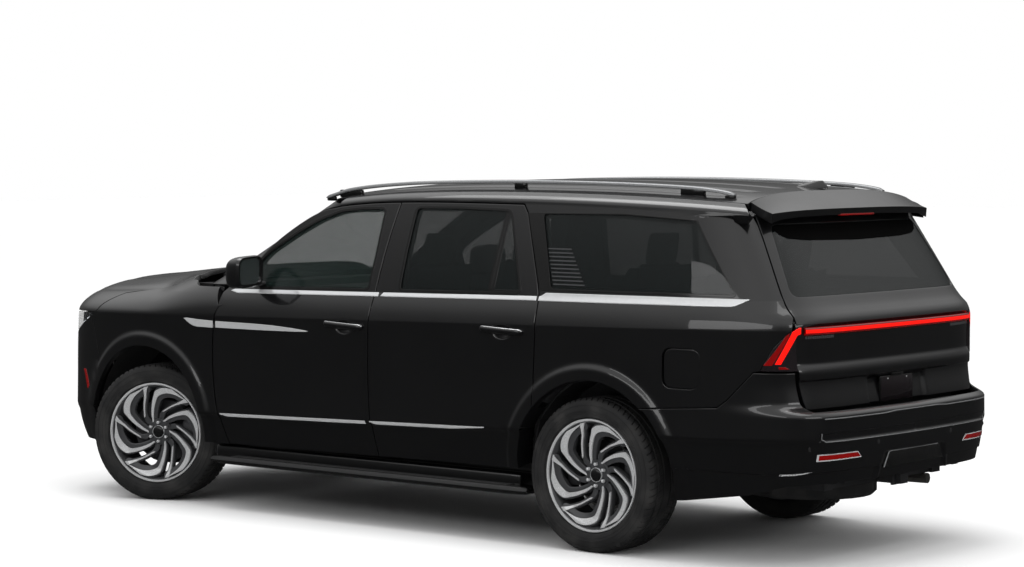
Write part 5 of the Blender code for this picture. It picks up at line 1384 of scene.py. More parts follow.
def bumperRelief(y, z):
    # step recess, reflector pockets, hitch cover and lower edge, as depths into the skin
    wide = 1 - blend(0.785, 0.80, abs(y))
    deep = 0.010 * wide * blend(0.650, 0.656, z) * (1 - blend(0.690, 0.694, z))
    trapezoid = 0.31 - 0.30 * (z - 0.44)
    cover = (1 - blend(trapezoid, trapezoid + 0.02, abs(y))) * (1 - blend(0.560, 0.575, z))
    deep += 0.012 * cover
    lower = blend(trapezoid + 0.03, trapezoid + 0.05, abs(y)) * (1 - blend(0.494, 0.500, z))
    deep += 0.010 * lower
    return deep


def rearBumperPlace(u, z):
    x, y, z = roundTail(u, z, rearBumperBase)
    along = blend(-2.45, -2.60, u)
    low = (1 - blend(0.478, 0.484, z)) * (1 - along)
    return (x + bumperRelief(y, z) * along, y - 0.008 * low, z)


def tailBase(u, z):
    return roundTail(u, z, rearBumperBase)


def bumperU(x, z):
    return solve(tailBase, 0, x, z, -2.80, size["rearMid"])


def bumperUOfY(y, z):
    return solve(tailBase, 1, y, z, -6.9, -2.55)


def bumperRows(u):
    levels = (
        spread(0.30, 0.46, 8)
        + [0.472, 0.478, 0.481, 0.484, 0.489, 0.494, 0.497, 0.500, 0.506] + spread(0.52, 0.556, 3)
    )
    levels += (
        [0.562, 0.567, 0.572, 0.577, 0.585] + spread(0.60, 0.64, 3)
        + [0.648, 0.651, 0.654, 0.658] + spread(0.667, 0.685, 2)
    )
    levels += (
        [0.689, 0.692, 0.695, 0.70] + spread(0.71, 0.765, 5)
        + [0.775, 0.785, 0.795, 0.805, 0.815, 0.825, 0.835] + spread(0.85, 1.0, 7)
    )
    return levels


def onBumperSide(points):
    return [(bumperU(x, z), z) for x, z in points]


def onBumperTail(points):
    return [(bumperUOfY(y, z), z) for y, z in points]


sideTop = resampleOpen(
    [(-1.783, 0.775), (-1.80, 0.7745), (-2.255, 0.8052), (-2.317, 0.849), (-2.455, 0.990)], 0.02
)
sideLow = resampleOpen([(-2.62, 0.427), (-2.390, 0.368), (-2.026, 0.315), (-1.945, 0.310)], 0.02)
notch = [(0.8305, 0.990), (0.8295, 0.96), (0.826, 0.91), (0.8205, 0.86), (0.808, 0.805), (0.80, 0.800)]
leftHalf = onBumperSide(sideTop) + onBumperTail(notch)
lowHalf = (
    [(tailMiddle, 0.436)] + onBumperTail([(y, 0.436) for y in (0.2, 0.4, 0.6, 0.75)])
    + onBumperSide(sideLow)
)
archSide = arc((size["rearAxle"], size["rearArchZ"]), size["archRadius"], 349.5, 408.5, 26)
archSide = [(size["rearAxle"] - (x - size["rearAxle"]), z) for x, z in archSide if 0.311 < z < 0.774]
leftLoop = leftHalf + [(tailMiddle, 0.800)] + lowHalf + archSide
half = panel(
    leftLoop, rearBumperPlace, 0.03, rows=bumperRows, step=0.02, features=[rearFlare], roll=0.002, turn=-1,
    inner=False, flange=0.03,
)
# the middle line carries no rim: the two halves meet there
kept = [k for k, f in enumerate(half.faces) if any(abs(half.points[i][1]) >= 0.0035 for i in f)]
half.faces, half.slots = [half.faces[k] for k in kept], [half.slots[k] for k in kept]
for i, (x, y, z) in enumerate(half.points):
    if abs(y) < 0.0035:
        half.points[i] = (x, 0.0, z)
bumperShape = Shape().join(half).join(half.mirrored())


def besideBumper(points, lift, thick, slot):
    # a raised strip on the left of the bumper's tail; points are (y, z)
    def place(u, z):
        a = Vector(rearBumperPlace(u, z))
        return (a.x - lift, a.y, a.z)
    return panel(
        onBumperTail(points), place, thick, step=0.02, roll=0.0008, turn=-1, inner=False, flange=0.006,
        edgeStep=0.01, slots=(slot, slot),
    )


# each reflector: a chrome frame and a lens in the glowing red lens finish, a painted glow, as a reflector is
# no lamp
reflectorFrame = [(0.800, 0.553), (0.488, 0.557), (0.524, 0.5905), (0.800, 0.589)]
reflectorLens = [(0.79, 0.559), (0.50, 0.563), (0.53, 0.586), (0.79, 0.584)]
reflector = besideBumper(reflectorFrame, 0.0006, 0.004, 3).join(besideBumper(reflectorLens, 0.0026, 0.004, 2))
for side, made in ((1, reflector), (-1, reflector.mirrored())):
    bumperShape.join(made)
    # parking sensors
    for y, z in ((0.833, 0.617), (0.351, 0.624)):
        x = rearBumperPlace(bumperUOfY(y, z), z)[0]
        bumperShape.join(
            prism(arc((y * side, z), 0.0125, 0, 345, 23), x - 0.0012, x + 0.004, "x", 0.0008, slot=1)
        )
cover = [(0.29, 0.487), (0.245, 0.565), (-0.245, 0.565), (-0.29, 0.487)]
hitchX = rearBumperPlace(tailMiddle, 0.52)[0]
bumperShape.join(prism(rounded(cover, 0.012), hitchX - 0.006, hitchX + 0.010, "x", 0.004, 3, slot=4))
# the bright edge of the lower valance at each corner
accent = [(-2.585, 0.487), (-2.66, 0.492), (-2.735, 0.503), (-2.735, 0.495), (-2.66, 0.484), (-2.585, 0.479)]


accentEdge = panel(
    onBumperSide(accent), rearBumperPlace, 0.004, step=0.02, roll=0.0006, turn=-1, inner=False, flange=0.008,
    slots=(3, 3),
)
bumperShape.join(accentEdge).join(accentEdge.mirrored())


def trimLine(points):
    # a fine bright line across the bumper's skin
    path = []
    for y, z in resampleOpen(points, 0.03):
        x = rearBumperPlace(bumperUOfY(abs(y), z), z)[0]
        path.append((x - 0.0012, y, z))
    return tube(path, 0.0038, 8, 5, flatness=0.8)


bumperShape.join(trimLine(bothSides([(0.786, 0.694), (0.780, 0.665), (0.760, 0.651)])))
bumperShape.join(trimLine(bothSides([(0.770, 0.7660), (0.30, 0.7660), (0.20, 0.7720)])))
coverEdge = [(0.290, 0.487), (0.243, 0.563), (0.228, 0.5665), (-0.228, 0.5665)]
bumperShape.join(tube([(hitchX - 0.0065, y, z) for y, z in coverEdge], 0.0034, 8, 5))
addPiece(
    "rear_bumper_skin", bumperShape, [paint, plasticBlack, redLensAndReflectorGlow, chrome, trimBlack, satin], "body",
    "black_paint", ["rear_bumper"],
)

# hitch receiver behind the cut-out
receiver = block((-2.70, -0.045, 0.375), (-2.50, 0.045, 0.465), 0.006)
receiver.join(block((-2.712, -0.055, 0.365), (-2.694, 0.055, 0.475), 0.004))
receiver.join(block((-2.716, -0.034, 0.386), (-2.711, 0.034, 0.454), 0.002, 1, slot=1))
addPiece("hitch_receiver", receiver, [steelPaint, plasticBlack], "body", "chassis_steel")
print("rear bumper built")


# Wheels and tyres, made once in the wheel's own place: outwards is +y, and u runs to the rear
def tyreShape():
    # tread with four grooves, cross slots that follow a slant, and stepped sidewalls
    radius, half = size["tyreRadius"], size["tyreWidth"] / 2
    ends = [
        (0.2832, 0.112), (0.2975, 0.1125), (0.3005, 0.1215), (0.3065, 0.1292), (0.3072, 0.1325),
        (0.311, 0.1340), (0.324, 0.1378), (0.3245, 0.1390), (0.3275, 0.1392), (0.328, 0.1382),
    ]
    ends += [
        (0.340, 0.1404), (0.3405, 0.1420), (0.344, 0.1421), (0.3445, 0.1408), (0.356, 0.1404),
        (0.368, 0.1382), (0.3685, 0.1396), (0.3715, 0.1393), (0.372, 0.1372), (0.382, 0.1340),
        (0.390, 0.1298),
    ]
    shoulder = [(0.3955, 0.1255), (0.3995, 0.1205), (0.4022, 0.1150)]
    crown, grooves = [], (0.078, 0.029, -0.029, -0.078)
    levels = {0.109, 0.100, 0.092, 0.0, 0.058, 0.046, 0.014, -0.014, -0.046, -0.058, -0.092, -0.100, -0.109}
    levels |= {g + d for g in grooves for d in (0.0062, 0.0045, -0.0045, -0.0062)}
    for w in sorted(levels, reverse=True):
        deep = any(abs(w - g) < 0.005 for g in grooves)
        crown.append((radius - 0.0016 * (w / 0.1) ** 2 - (0.0072 if deep else 0.0), w))
    # the inner side wall carries only its bead and its bulge
    inside = [
        (0.3935, -0.1272), (0.382, -0.1340), (0.356, -0.1404), (0.324, -0.1378), (0.3065, -0.1292),
        (0.2975, -0.1125),
    ]
    profile = ends + shoulder + crown + [(r, -w) for r, w in reversed(shoulder)] + inside
    profile += [(0.294, -0.100), (0.2832, -0.09), (0.2832, 0.09)]
    # each pitch of the tread has five stations, of which two carry the cross slot
    shares = (0.0, 0.10, 0.17, 0.27, 0.63)
    pitches = 68
    steps = pitches * len(shares)
    points = []
    for k in range(steps):
        share = (k // len(shares) + shares[k % len(shares)]) / pitches
        crossSlot = k % len(shares) in (1, 2)
        for r, w in profile:
            slant = 0.35 * (abs(w) - 0.05) + 0.12 * w
            a = 2 * math.pi * share + (slant / radius * min(1, max(0, (r - 0.37) / 0.025)))
            cut = 0.0
            if crossSlot and r > 0.394 and abs(w) < 0.128:
                cut = 0.0058 if abs(w) > 0.084 else (0.003 if 0.032 < abs(w) < 0.075 else 0.0)
            points.append(((r - cut) * math.cos(a), w, (r - cut) * math.sin(a)))
    return Shape(points, ringSides(steps, len(profile), loop=True))


def polar(r, a):
    return (r * math.cos(math.radians(a)), r * math.sin(math.radians(a)))


def polarLine(points, steps=5):
    return curve([polar(r, a) for r, a in points], steps)


def wheelFaceY(u, v):
    # the face dishes in towards the hub
    r = math.hypot(u, v)
    return 0.0885 - 0.018 * (1 - blend(0.06, 0.25, r)) ** 1.4 + 0.0215 * blend(0.215, 0.276, r)


def spokeBar(outline, lift, depth, roll, slot):
    # u to the rear is -x on a left wheel
    return panel(
        outline, lambda u, v: (-u, wheelFaceY(u, v) + lift, v), 0.01, step=0.02, roll=roll, turn=1,
        inner=False, flange=depth, edgeStep=0.0095, slots=(slot, slot),
    )


# a bright bar and a thin one over darker bodies that stand out a little on both sides:
# leading and trailing edge as (radius, angle), lift, depth, roll and material
spokes = (
    (
        (
            (0.064, 131), (0.090, 119.5), (0.116, 114), (0.175, 103), (0.2325, 95), (0.248, 91),
            (0.262, 84.5), (0.2725, 77), (0.2785, 68),
        ),
        (
            (0.2785, 43), (0.2745, 45), (0.2640, 52), (0.2560, 61), (0.2480, 69), (0.234, 79), (0.212, 89.5),
            (0.175, 95.5), (0.141, 101), (0.100, 109.5), (0.068, 119),
        ),
        0.0, 0.010, 0.0011, 0,
    ),
    (
        (
            (0.052, 140), (0.090, 123.5), (0.116, 117), (0.175, 105.5), (0.232, 97.5), (0.262, 90),
            (0.2795, 82),
        ),
        (
            (0.2795, 40), (0.250, 40), (0.232, 48), (0.228, 60), (0.215, 72), (0.196, 82), (0.160, 88),
            (0.120, 93), (0.085, 98), (0.055, 104),
        ),
        -0.0085, 0.030, 0.004, 1,
    ),
    (
        ((0.124, 139.6), (0.180, 121.5), (0.235, 111.6), (0.2785, 107.2)),
        ((0.2785, 101.0), (0.235, 107.6), (0.180, 118.0), (0.1235, 134.6)),
        0.0, 0.010, 0.0010, 0,
    ),
    (
        ((0.060, 150), (0.110, 147), (0.180, 125), (0.235, 114), (0.2795, 109.5)),
        ((0.2795, 98.5), (0.235, 105), (0.180, 114.5), (0.118, 129), (0.060, 128)),
        -0.0085, 0.028, 0.003, 1,
    ),
)


def rimShape():
    barrel = [
        (0.2972, 0.1135), (0.2972, 0.1205), (0.2955, 0.1238), (0.2930, 0.1245), (0.2885, 0.1238),
        (0.2872, 0.1215), (0.2845, 0.1150), (0.2790, 0.106), (0.2725, 0.094), (0.2690, 0.075),
        (0.2670, 0.04), (0.2600, 0.0),
    ]
    barrel += [
        (0.2560, -0.06), (0.2600, -0.09), (0.2790, -0.112), (0.2915, -0.1235), (0.2972, -0.1225),
        (0.2972, -0.1135), (0.2826, -0.1125), (0.2826, 0.1125),
    ]
    made = lathe(list(reversed(barrel)), 144)
    for f in range(len(made.faces)):
        # the outer lip is machined, the rest of the barrel is dark
        made.slots[f] = 0 if len(barrel) - 1 - f % len(barrel) <= 6 else 1
    for i in range(6):
        for leading, trailing, lift, depth, roll, slot in spokes:
            edges = [polarLine([(r, a + 60 * i) for r, a in edge]) for edge in (leading, trailing)]
            made.join(spokeBar(edges[0] + edges[1], lift, depth, roll, slot))
    # hub with nut seats, nuts and a bare cap
    made.join(
        lathe(
            [(0.0, 0.0725), (0.050, 0.0725), (0.074, 0.070), (0.079, 0.064), (0.079, 0.046), (0.0, 0.046)],
            72, 1, closed=False,
        )
    )
    for i in range(6):
        u, v = polar(0.0565, 30 + 60 * i)
        seat = lathe(
            [
                (0.0, 0.0728), (0.0115, 0.0728), (0.0135, 0.0745), (0.0150, 0.0745), (0.0155, 0.070),
                (0.0, 0.068),
            ],
            24, 1, closed=False,
        )
        nut = lathe(
            [
                (0.0, 0.0935), (0.0050, 0.0930), (0.0085, 0.0905), (0.0098, 0.0870), (0.0100, 0.074),
                (0.0, 0.072),
            ],
            6, 2, closed=False,
        )
        for shape in (seat, nut):
            made.join(shape.moved(Matrix.Translation((-u, 0, v))))
    made.join(
        lathe(
            [
                (0.0, 0.0880), (0.018, 0.0872), (0.030, 0.0845), (0.0345, 0.0805), (0.0352, 0.070),
                (0.0, 0.068),
            ],
            48, 3, closed=False,
        )
    )
    made.join(
        lathe(
            [(0.0352, 0.072), (0.0352, 0.0800), (0.0364, 0.0812), (0.0378, 0.0800), (0.0380, 0.070)], 48, 2,
            closed=False,
        )
    )
    valve = tube([(0.2500, 0.10, 0.0), (0.2470, 0.088, 0.0), (0.2440, 0.070, 0.0)], 0.0042, 10, 3)
    return made.join(valve.moved(Matrix.Rotation(math.radians(98), 4, "Y")))


def discShape():
    # ventilated brake disc with its bell, and the caliper
    made = lathe(
        [
            (0.105, -0.004), (0.188, -0.004), (0.190, -0.006), (0.190, -0.0125), (0.188, -0.0140),
            (0.175, -0.0140), (0.175, -0.0200), (0.188, -0.0200), (0.190, -0.0215), (0.190, -0.029),
            (0.188, -0.031), (0.105, -0.031),
        ],
        96, 0,
    )
    for k in range(60):
        fin = block((0.110, -0.0205, -0.0022), (0.187, -0.0135, 0.0022), 0.0004, 1, slot=1)
        made.join(fin.moved(Matrix.Rotation(math.radians(6 * k), 4, "Y")))
    made.join(
        lathe(
            [
                (0.0, 0.0440), (0.072, 0.0440), (0.079, 0.040), (0.081, 0.002), (0.106, -0.001),
                (0.106, -0.030), (0.06, -0.030), (0.0, -0.030),
            ],
            72, 1, closed=False,
        )
    )
    outerHalf = rounded([(-0.226, -0.068), (-0.156, -0.078), (-0.150, 0.078), (-0.226, 0.068)], 0.022, 6)
    made.join(prism(outerHalf, 0.002, 0.034, "y", 0.007, 3, slot=1))
    innerHalf = rounded([(-0.228, -0.066), (-0.150, -0.072), (-0.150, 0.072), (-0.228, 0.066)], 0.02, 6)
    made.join(prism(innerHalf, -0.058, -0.034, "y", 0.006, 3, slot=1))
    made.join(block((-0.2285, -0.045, -0.052), (-0.1925, 0.020, 0.052), 0.006, 3, slot=1))
    for z in (-0.045, 0.045):
        made.join(prism(arc((-0.19, z), 0.011, 0, 345, 23), 0.030, 0.0355, "y", 0.001, slot=0))
    return made


def wheelPlace(side, front):
    if not front:
        return Matrix.Translation((size["rearAxle"], side * size["halfTrack"], size["axleZ"]))
    pin = Matrix.Translation((size["frontAxle"], side * size["kingpin"], size["axleZ"]))
    steered = pin @ Matrix.Rotation(size["steerRest"], 4, "Z")
    return steered @ Matrix.Translation((0, side * (size["halfTrack"] - size["kingpin"]), 0))


tyre, rim, disc = tyreShape(), rimShape(), discShape()
for axle in ("front", "rear"):
    for side, hand in ((1, "left"), (-1, "right")):
        label = axle + "_" + hand
        place = wheelPlace(side, axle == "front")
        for kind, shape, finishes, slot in (
            ("tyre_", tyre, [tyreRubber], "tyre_rubber"),
            ("rim_", rim, [wheelFace, wheelPocket, chrome, trimBlack], "wheel_metal"),
        ):
            made = (shape if side > 0 else shape.mirrored()).moved(place)
            if kind == "tyre_":
                made.points = [(x, y, max(0.0003, z)) for x, y, z in made.points]
            addPiece(kind + label + "_fine", made, finishes, "wheel_" + label, slot, [kind + label], angle=30)
        brakes = (disc if side > 0 else disc.mirrored()).moved(place)
        carrier = "steer_" + hand if axle == "front" else "body"
        addPiece("brake_" + label, brakes, [discSteel, castIron], carrier, "cast_metal", angle=30)
print("wheels built")


# Side glass, bright strips, handles and mirrors
def darkBand(outline, opening, place):
    # a thin black band between the glass and the painted frame
    return panel(
        outline, place, 0.004, holes=[inset(opening, 0.0030)], step=0.03, roll=0.0010, turn=-1, inner=False,
        flange=0.008, edgeStep=0.02, slots=(0, 0),
    )


divider = [(-0.782, 1.766), (-0.762, 1.766), (-0.712, 1.335), (-0.736, 1.336)]
corner = [
    (-0.800, 1.764), (-0.782, 1.765), (-0.736, 1.337), (-0.946, 1.340), (-0.938, 1.352), (-0.760, 1.350)
]
for which, window, finish in (("front", frontWindow(), tintFront), ("rear", rearWindow(), tint)):
    opening = rounded(window, 0.03)
    pane = paneMade(inset(opening, 0.0008), sidePlace, 0.008, 0.012, -1)
    if which == "rear":
        pane.join(raised(divider, sidePlace, -0.0065, 0.004, 1, -1))
        pane.join(raised(corner, sidePlace, -0.0070, 0.002, 1, -1))
    body = which + "_door_{}"
    addPair(
        which + "_glass_pane", pane, [finish, trimBlack], body, "tinted_glass", [which + "_door_glass_{}"]
    )
    band = darkBand(inset(opening, -0.0135), opening, lifted(sidePlace, 0.0012, -1))
    addPair(which + "_window_seal", band, [trimBlack], body, "black_plastic")

# quarter glass; its dark band also covers the pillar up to the door's gap, and fine lines lie behind it
opening = rounded(quarterWindow(), 0.03)
pane = paneMade(inset(opening, 0.0008), quarterPlace, 0.008, 0.02, -1)
addPair("quarter_glass_pane", pane, [tint, trimBlack], "body", "tinted_glass", ["quarter_glass_{}"])
pillarBack = [(x - 0.006, z) for x, z in curve([(-0.917, 1.762), (-1.017, 1.509), (-1.078, 1.352)], 6)]
coverLine = [(-1.09, 1.352), (-2.405, 1.360), (-2.43, 1.372), (-2.262, 1.742), (-1.60, 1.768), *pillarBack]
cover = darkBand(coverLine, opening, lifted(quarterPlace, 0.0014, -1))
for i in range(10):
    z = 1.388 + 0.0205 * i
    start = -1.155 + 0.36 * (z - 1.40)
    end = start - 0.21 + 0.006 * i
    line = [(start, z), (end, z), (end, z + 0.0065), (start + 0.003, z + 0.0065)]
    cover.join(raised(line, quarterPlace, -0.0074, 0.0004, 1, -1, roll=0.0001))
addPair("quarter_glass_trim", cover, [trimBlack, wheelPocket], "body", "black_plastic")


def beltTop(x):
    return 1.3022 - 0.0182 * (x - 0.077)


def brightStrip(name, points, place, lift, thick, body, roll, edgeStep=0.02):
    strip = raised(points, place, lift, thick, 0, -1, roll=roll, edgeStep=edgeStep)
    addPair(name, strip, [chrome], body, "chrome")


for which, start, end in (("front", 1.214, 0.062), ("rear", 0.046, -1.068)):
    line = (
        [(start + 0.008, beltTop(start) - 0.010)] if which == "front" else [(start, beltTop(start) - 0.021)]
    )
    line += [(x, beltTop(x) - 0.0225) for x in spread(start - 0.05, end, 12)]
    line += [(x, beltTop(x)) for x in spread(end, start - 0.02, 12)]
    brightStrip(which + "_belt_strip", line, sidePlace, 0.0042, 0.006, which + "_door_{}", 0.0022)
stepTop = [
    (-1.084, 1.3225), (-1.100, 1.3270), (-1.128, 1.3430), (-1.60, 1.3475), (-2.10, 1.3520), (-2.402, 1.3535)
]
stepLow = [
    (-2.400, 1.3490), (-2.330, 1.3180), (-2.312, 1.3145), (-2.11, 1.3105), (-1.60, 1.3045), (-1.084, 1.2992)
]
stepLine = resampleOpen(stepTop, 0.05) + resampleOpen(stepLow, 0.05)
stepLine = [(tailX(x, z) if x < -2.0 else x, z) for x, z in stepLine]
brightStrip("quarter_belt_strip", stepLine, quarterPlace, 0.0046, 0.006, "body", 0.0022)

# badge strips, bare: one on the fender, one on the door
doorStrip = [
    (1.307, 1.055), (1.00, 1.0555), (0.70, 1.0590), (0.585, 1.0620), (0.560, 1.0665), (0.585, 1.0700),
    (0.70, 1.0800), (0.85, 1.0880), (1.00, 1.0915), (1.307, 1.0930),
]
brightStrip("door_badge_strip", doorStrip, sidePlace, 0.0035, 0.006, "front_door_{}", 0.002, 0.01)
for which, low, high in (("front", 0.125, 1.272), ("rear", -0.742, 0.090)):
    # a chrome spear on the ledge's crease, thin at its tip: a painted highlight, standing in for the light
    # caught by the ledge
    line = []
    for x in spread(low, high, 20):
        share = min(1, (high - x) / 0.06 + 0.3) * min(1, (x - low) / 0.30 + 0.25 if low < 0 else 1)
        line.append((x, ledgeHeight(x) - 0.017 * share))
    line += [(x, ledgeHeight(x) + 0.0005) for x in reversed(spread(low, high, 20))]
    brightStrip(which + "_painted_ledge_highlight", line, sidePlace, 0.0030, 0.005, which + "_door_{}", 0.0016)


def handleShape(which):
    cx, cz = handles[which]
    cz += 0.008
    rows = spread(0, 1, 28)
    ring = [
        (0.0, -0.0165), (0.006, -0.0178), (0.013, -0.0150), (0.0175, -0.008), (0.0185, 0.0),
        (0.0175, 0.008), (0.013, 0.0145), (0.006, 0.0165), (0.0, 0.0155),
    ]
    points = []
    for t in rows:
        x = cx + 0.147 - 0.294 * t
        taper = min(1.0, 8 * min(t, 1 - t) + 0.45)
        lift = 0.0085 + 0.010 * math.sin(math.pi * t) ** 0.6 - 0.004
        for out, up in ring:
            z = cz - 0.012 * (t - 0.5) + up * taper
            points.append((x, sideWidth(x, cz) + lift * (0.3 + 0.7 * taper) + out * taper, z))
    made = Shape(points, ringSides(len(rows), len(ring)) + ringEnds(len(rows), len(ring)))
    for k in range((len(rows) - 1) * len(ring)):
        # the upper edge is bright
        made.slots[k] = 1 if k % len(ring) in (6, 7) else 0
    # mounting pads at both ends
    for x in (cx + 0.118, cx - 0.118):
        base = sideWidth(x, cz)
        made.join(
            block((x - 0.022, base - 0.004, cz - 0.012), (x + 0.022, base + 0.012, cz + 0.011), 0.005, 2)
        )
    return made


for which in ("front", "rear"):
    addPair(
        which + "_handle", handleShape(which), [paint, chrome], which + "_door_{}", "black_paint", angle=50
    )


def mirrorShape():
    cx, cy, cz = 1.015, 1.072, 1.395
    columns, rings, power = 40, 22, 2 / 4.2
    points = []
    for i in range(rings + 1):
        t = i / rings
        # from the flat glass side at the rear to the rounded nose
        x = cx - 0.073 + 0.148 * t
        grow = (1 - max(0.0, (t - 0.25) / 0.75) ** 2.6) ** 0.5 if t < 1 else 0.0
        grow = max(grow, 0.02) * (0.93 + 0.07 * min(1, t / 0.12))
        for k in range(columns):
            a = 2 * math.pi * k / columns
            c, s = math.cos(a), math.sin(a)
            y = cy + 0.1165 * grow * math.copysign(abs(c) ** power, c)
            z = (
                cz - 0.014 * t + 0.0915 * grow * math.copysign(abs(s) ** power, s)
                - 0.010 * (y - cy) / 0.117 * 0.5
            )
            points.append((x - 0.030 * (y - cy) / 0.117 * (1 - t) * 0.4, y, z))
    nose = tuple(reversed(range(rings * columns, (rings + 1) * columns)))
    made = Shape(points, [*ringSides(rings + 1, columns, flip=True), nose])

    def at(y, z):
        return cx - 0.073 - 0.012 * (y - cy) / 0.117

    # the frame round the glass, and the glass itself
    rim = [(made.points[k][1], made.points[k][2]) for k in range(columns)]
    inner = inset(rim, 0.012)
    base = len(made.points)
    made.points += [(at(y, z), y, z) for y, z in inner] + [(at(y, z) + 0.010, y, z) for y, z in inner]
    for k in range(columns):
        n = (k + 1) % columns
        made.faces += [
            (k, n, base + n, base + k), (base + k, base + n, base + columns + n, base + columns + k)
        ]
        made.slots += [1, 1]
    made.faces.append(tuple(base + columns + k for k in range(columns)))
    made.slots.append(2)
    # arm to the door
    arm = [(0.985, sideWidth(0.985, 1.335) - 0.004, 1.318), (1.000, 0.985, 1.322), (1.015, 1.02, 1.336)]
    made.join(tube(arm, 0.027, 18, 1, flatness=0.62))
    return made


addPair(
    "mirror_fine", mirrorShape(), [paint, trimBlack, lampSilver, clearLens], "front_door_{}", "black_paint",
    ["mirror_{}"], angle=40,
)
print("side trim built")


# Roof with long ribs, rails and antenna
def roofSkin(x, u):
    # u runs across in metres; shallow channels run along the panel
    k = max(-0.95, min(0.95, u))
    px, py, pz = roofPoint(x, k)
    ends = blend(0.30, 0.10, x) * blend(-2.20, -2.05, x)
    groove = 0.0
    for mid in (0.10, 0.31, 0.50):
        groove = max(groove, 1 - blend(0.012, 0.030, abs(abs(k) - mid) * 0.9))
    return (px, py, pz - 0.0065 * groove * ends)


def roofColumns():
    marks = set(spread(-0.676, 0.676, 36))
    for mid in (0.10, 0.31, 0.50):
        for d in (-0.034, -0.026, -0.019, -0.012, 0.012, 0.019, 0.026, 0.034):
            marks |= {mid + d, -mid - d}
    return sorted(marks)


seam = size["roofSeam"] - 0.0006
frontLine = [(frontEdgeX(k) - size["gap"], k) for k in spread(seam, -seam, 30)]
rearLine = [(rearEdgeX(k) + 0.015, k) for k in spread(-seam, seam, 30)]
roofLine = frontLine + [(x, -seam) for x in spread(frontLine[-1][0], rearLine[0][0], 40)[1:-1]]
roofLine += rearLine + [(x, seam) for x in spread(rearLine[-1][0], frontLine[0][0], 40)[1:-1]]
roof = panel(
    roofLine, roofSkin, 0.030, rows=lambda x: roofColumns(), step=0.04, roll=0.003, turn=1, slots=(0, 1),
    edgeStep=0.03,
)


def finShape():
    # antenna fin
    low = roofHeight(-2.14) - 0.004
    points = []
    for share, halfWide in (
        (0.0, 0.022), (0.12, 0.0205), (0.35, 0.0165), (0.6, 0.0115), (0.82, 0.0065), (0.95, 0.0030),
        (1.0, 0.0012),
    ):
        front = -2.045 - 0.10 * share**1.3 - 0.05 * share**4
        back = -2.262 + 0.030 * share**2
        z = low + 0.0415 * share
        for k in range(28):
            a = 2 * math.pi * k / 28
            c, s = math.cos(a), math.sin(a)
            x = back + (front - back) * (0.5 + 0.5 * math.copysign(abs(c) ** 0.8, c))
            y = halfWide * math.copysign(abs(s) ** 0.8, s) * (1 - 0.55 * max(0, c))
            points.append((x, y, z - 0.010 * (1 - share) * (1 + c) * 0.2))
    return Shape(points, [*ringSides(7, 28), tuple(range(6 * 28, 7 * 28))])


roof.join(finShape())
addPiece("roof_skin", roof, [paint, headliner], "body", "black_paint", ["roof_panel"])

railHeights = (
    (0.69, 0.012), (0.665, 0.0155), (0.62, 0.020), (0.57, 0.0262), (0.50, 0.032), (0.35, 0.034),
    (0.15, 0.034), (-0.10, 0.034), (-0.60, 0.034), (-1.00, 0.034), (-1.30, 0.034), (-1.60, 0.034),
    (-1.90, 0.034), (-2.05, 0.029), (-2.13, 0.022), (-2.165, 0.016),
)
railLine = curve([(x, 0.700, roofZ(x, 0.7) + lift) for x, lift in railHeights], 5)


def railShape():
    ring = [
        (-0.0185, -0.006), (-0.0175, 0.002), (-0.0135, 0.0075), (-0.006, 0.0100), (0.006, 0.0100),
        (0.0135, 0.0075), (0.0175, 0.002), (0.0185, -0.006), (0.0150, -0.0095), (-0.0150, -0.0095),
    ]
    points = []
    for i, p in enumerate(railLine):
        taper = min(1.0, 0.35 + min(i, len(railLine) - 1 - i) * 0.16)
        points += [(p[0], p[1] + y * (0.6 + 0.4 * taper), p[2] + z * taper) for y, z in ring]
    count, n = len(railLine), len(ring)
    made = Shape(points, ringSides(count, n, flip=True) + ringEnds(count, n, flip=True))
    # feet
    for x, reach, high in (
        (0.50, 0.085, 0.031), (-0.75, 0.040, 0.031), (-1.90, 0.075, 0.031), (0.655, 0.03, 0.012),
        (-2.135, 0.03, 0.012),
    ):
        z = roofZ(x, 0.7)
        made.join(block((x - reach, 0.688, z - 0.012), (x + reach, 0.712, z + high), 0.006, 2, slot=1))
    return made


addPair("roof_rail_fine", railShape(), [satin, trimBlack], "body", "chrome", ["roof_rail_{}"], angle=40)
print("roof built")


# Front: windshield, hood, fenders, bumper, grille and lamps
shieldSides = resampleOpen([(0.7995, 1.2950), (0.6397, 1.7745)], 0.03)
topEdge = []
for k in spread(0.655, -0.655, 30):
    x, y, z = roofPoint(frontEdgeX(k) + 0.0030, k)
    if abs(y) < 0.6340:
        topEdge.append((y, z - 0.002))
shieldEdge = shieldSides + topEdge + [(-y, z) for y, z in reversed(shieldSides)]
shieldLine = [(solve(upperPoint, 1, y, z, 1.1, -1.1), z) for y, z in shieldEdge]
shieldLine += [(s, 1.2950) for s in spread(shieldLine[-1][0], shieldLine[0][0], 24)[1:-1]]
shield = paneMade(shieldLine, upperPoint, 0.008, 0.05, 1, step=0.05)
addPiece("windshield_pane", shield, [tintLight, trimBlack], "body", "tinted_glass", ["windshield"])
for side in (1, -1):
    wiper = tube(
        [(1.600, 0.52 * side, 1.306), (1.585, 0.30 * side, 1.318), (1.590, 0.02 * side, 1.325)], 0.0065, 8,
        0, flatness=0.7,
    )
    wiper.join(
        tube(
            [(1.665, 0.55 * side, 1.300), (1.630, 0.545 * side, 1.312), (1.592, 0.30 * side, 1.328)], 0.008,
            8, 0, flatness=0.6,
        )
    )
    addPiece("wiper_" + ("left" if side > 0 else "right"), wiper, [trimBlack], "body", "black_plastic")


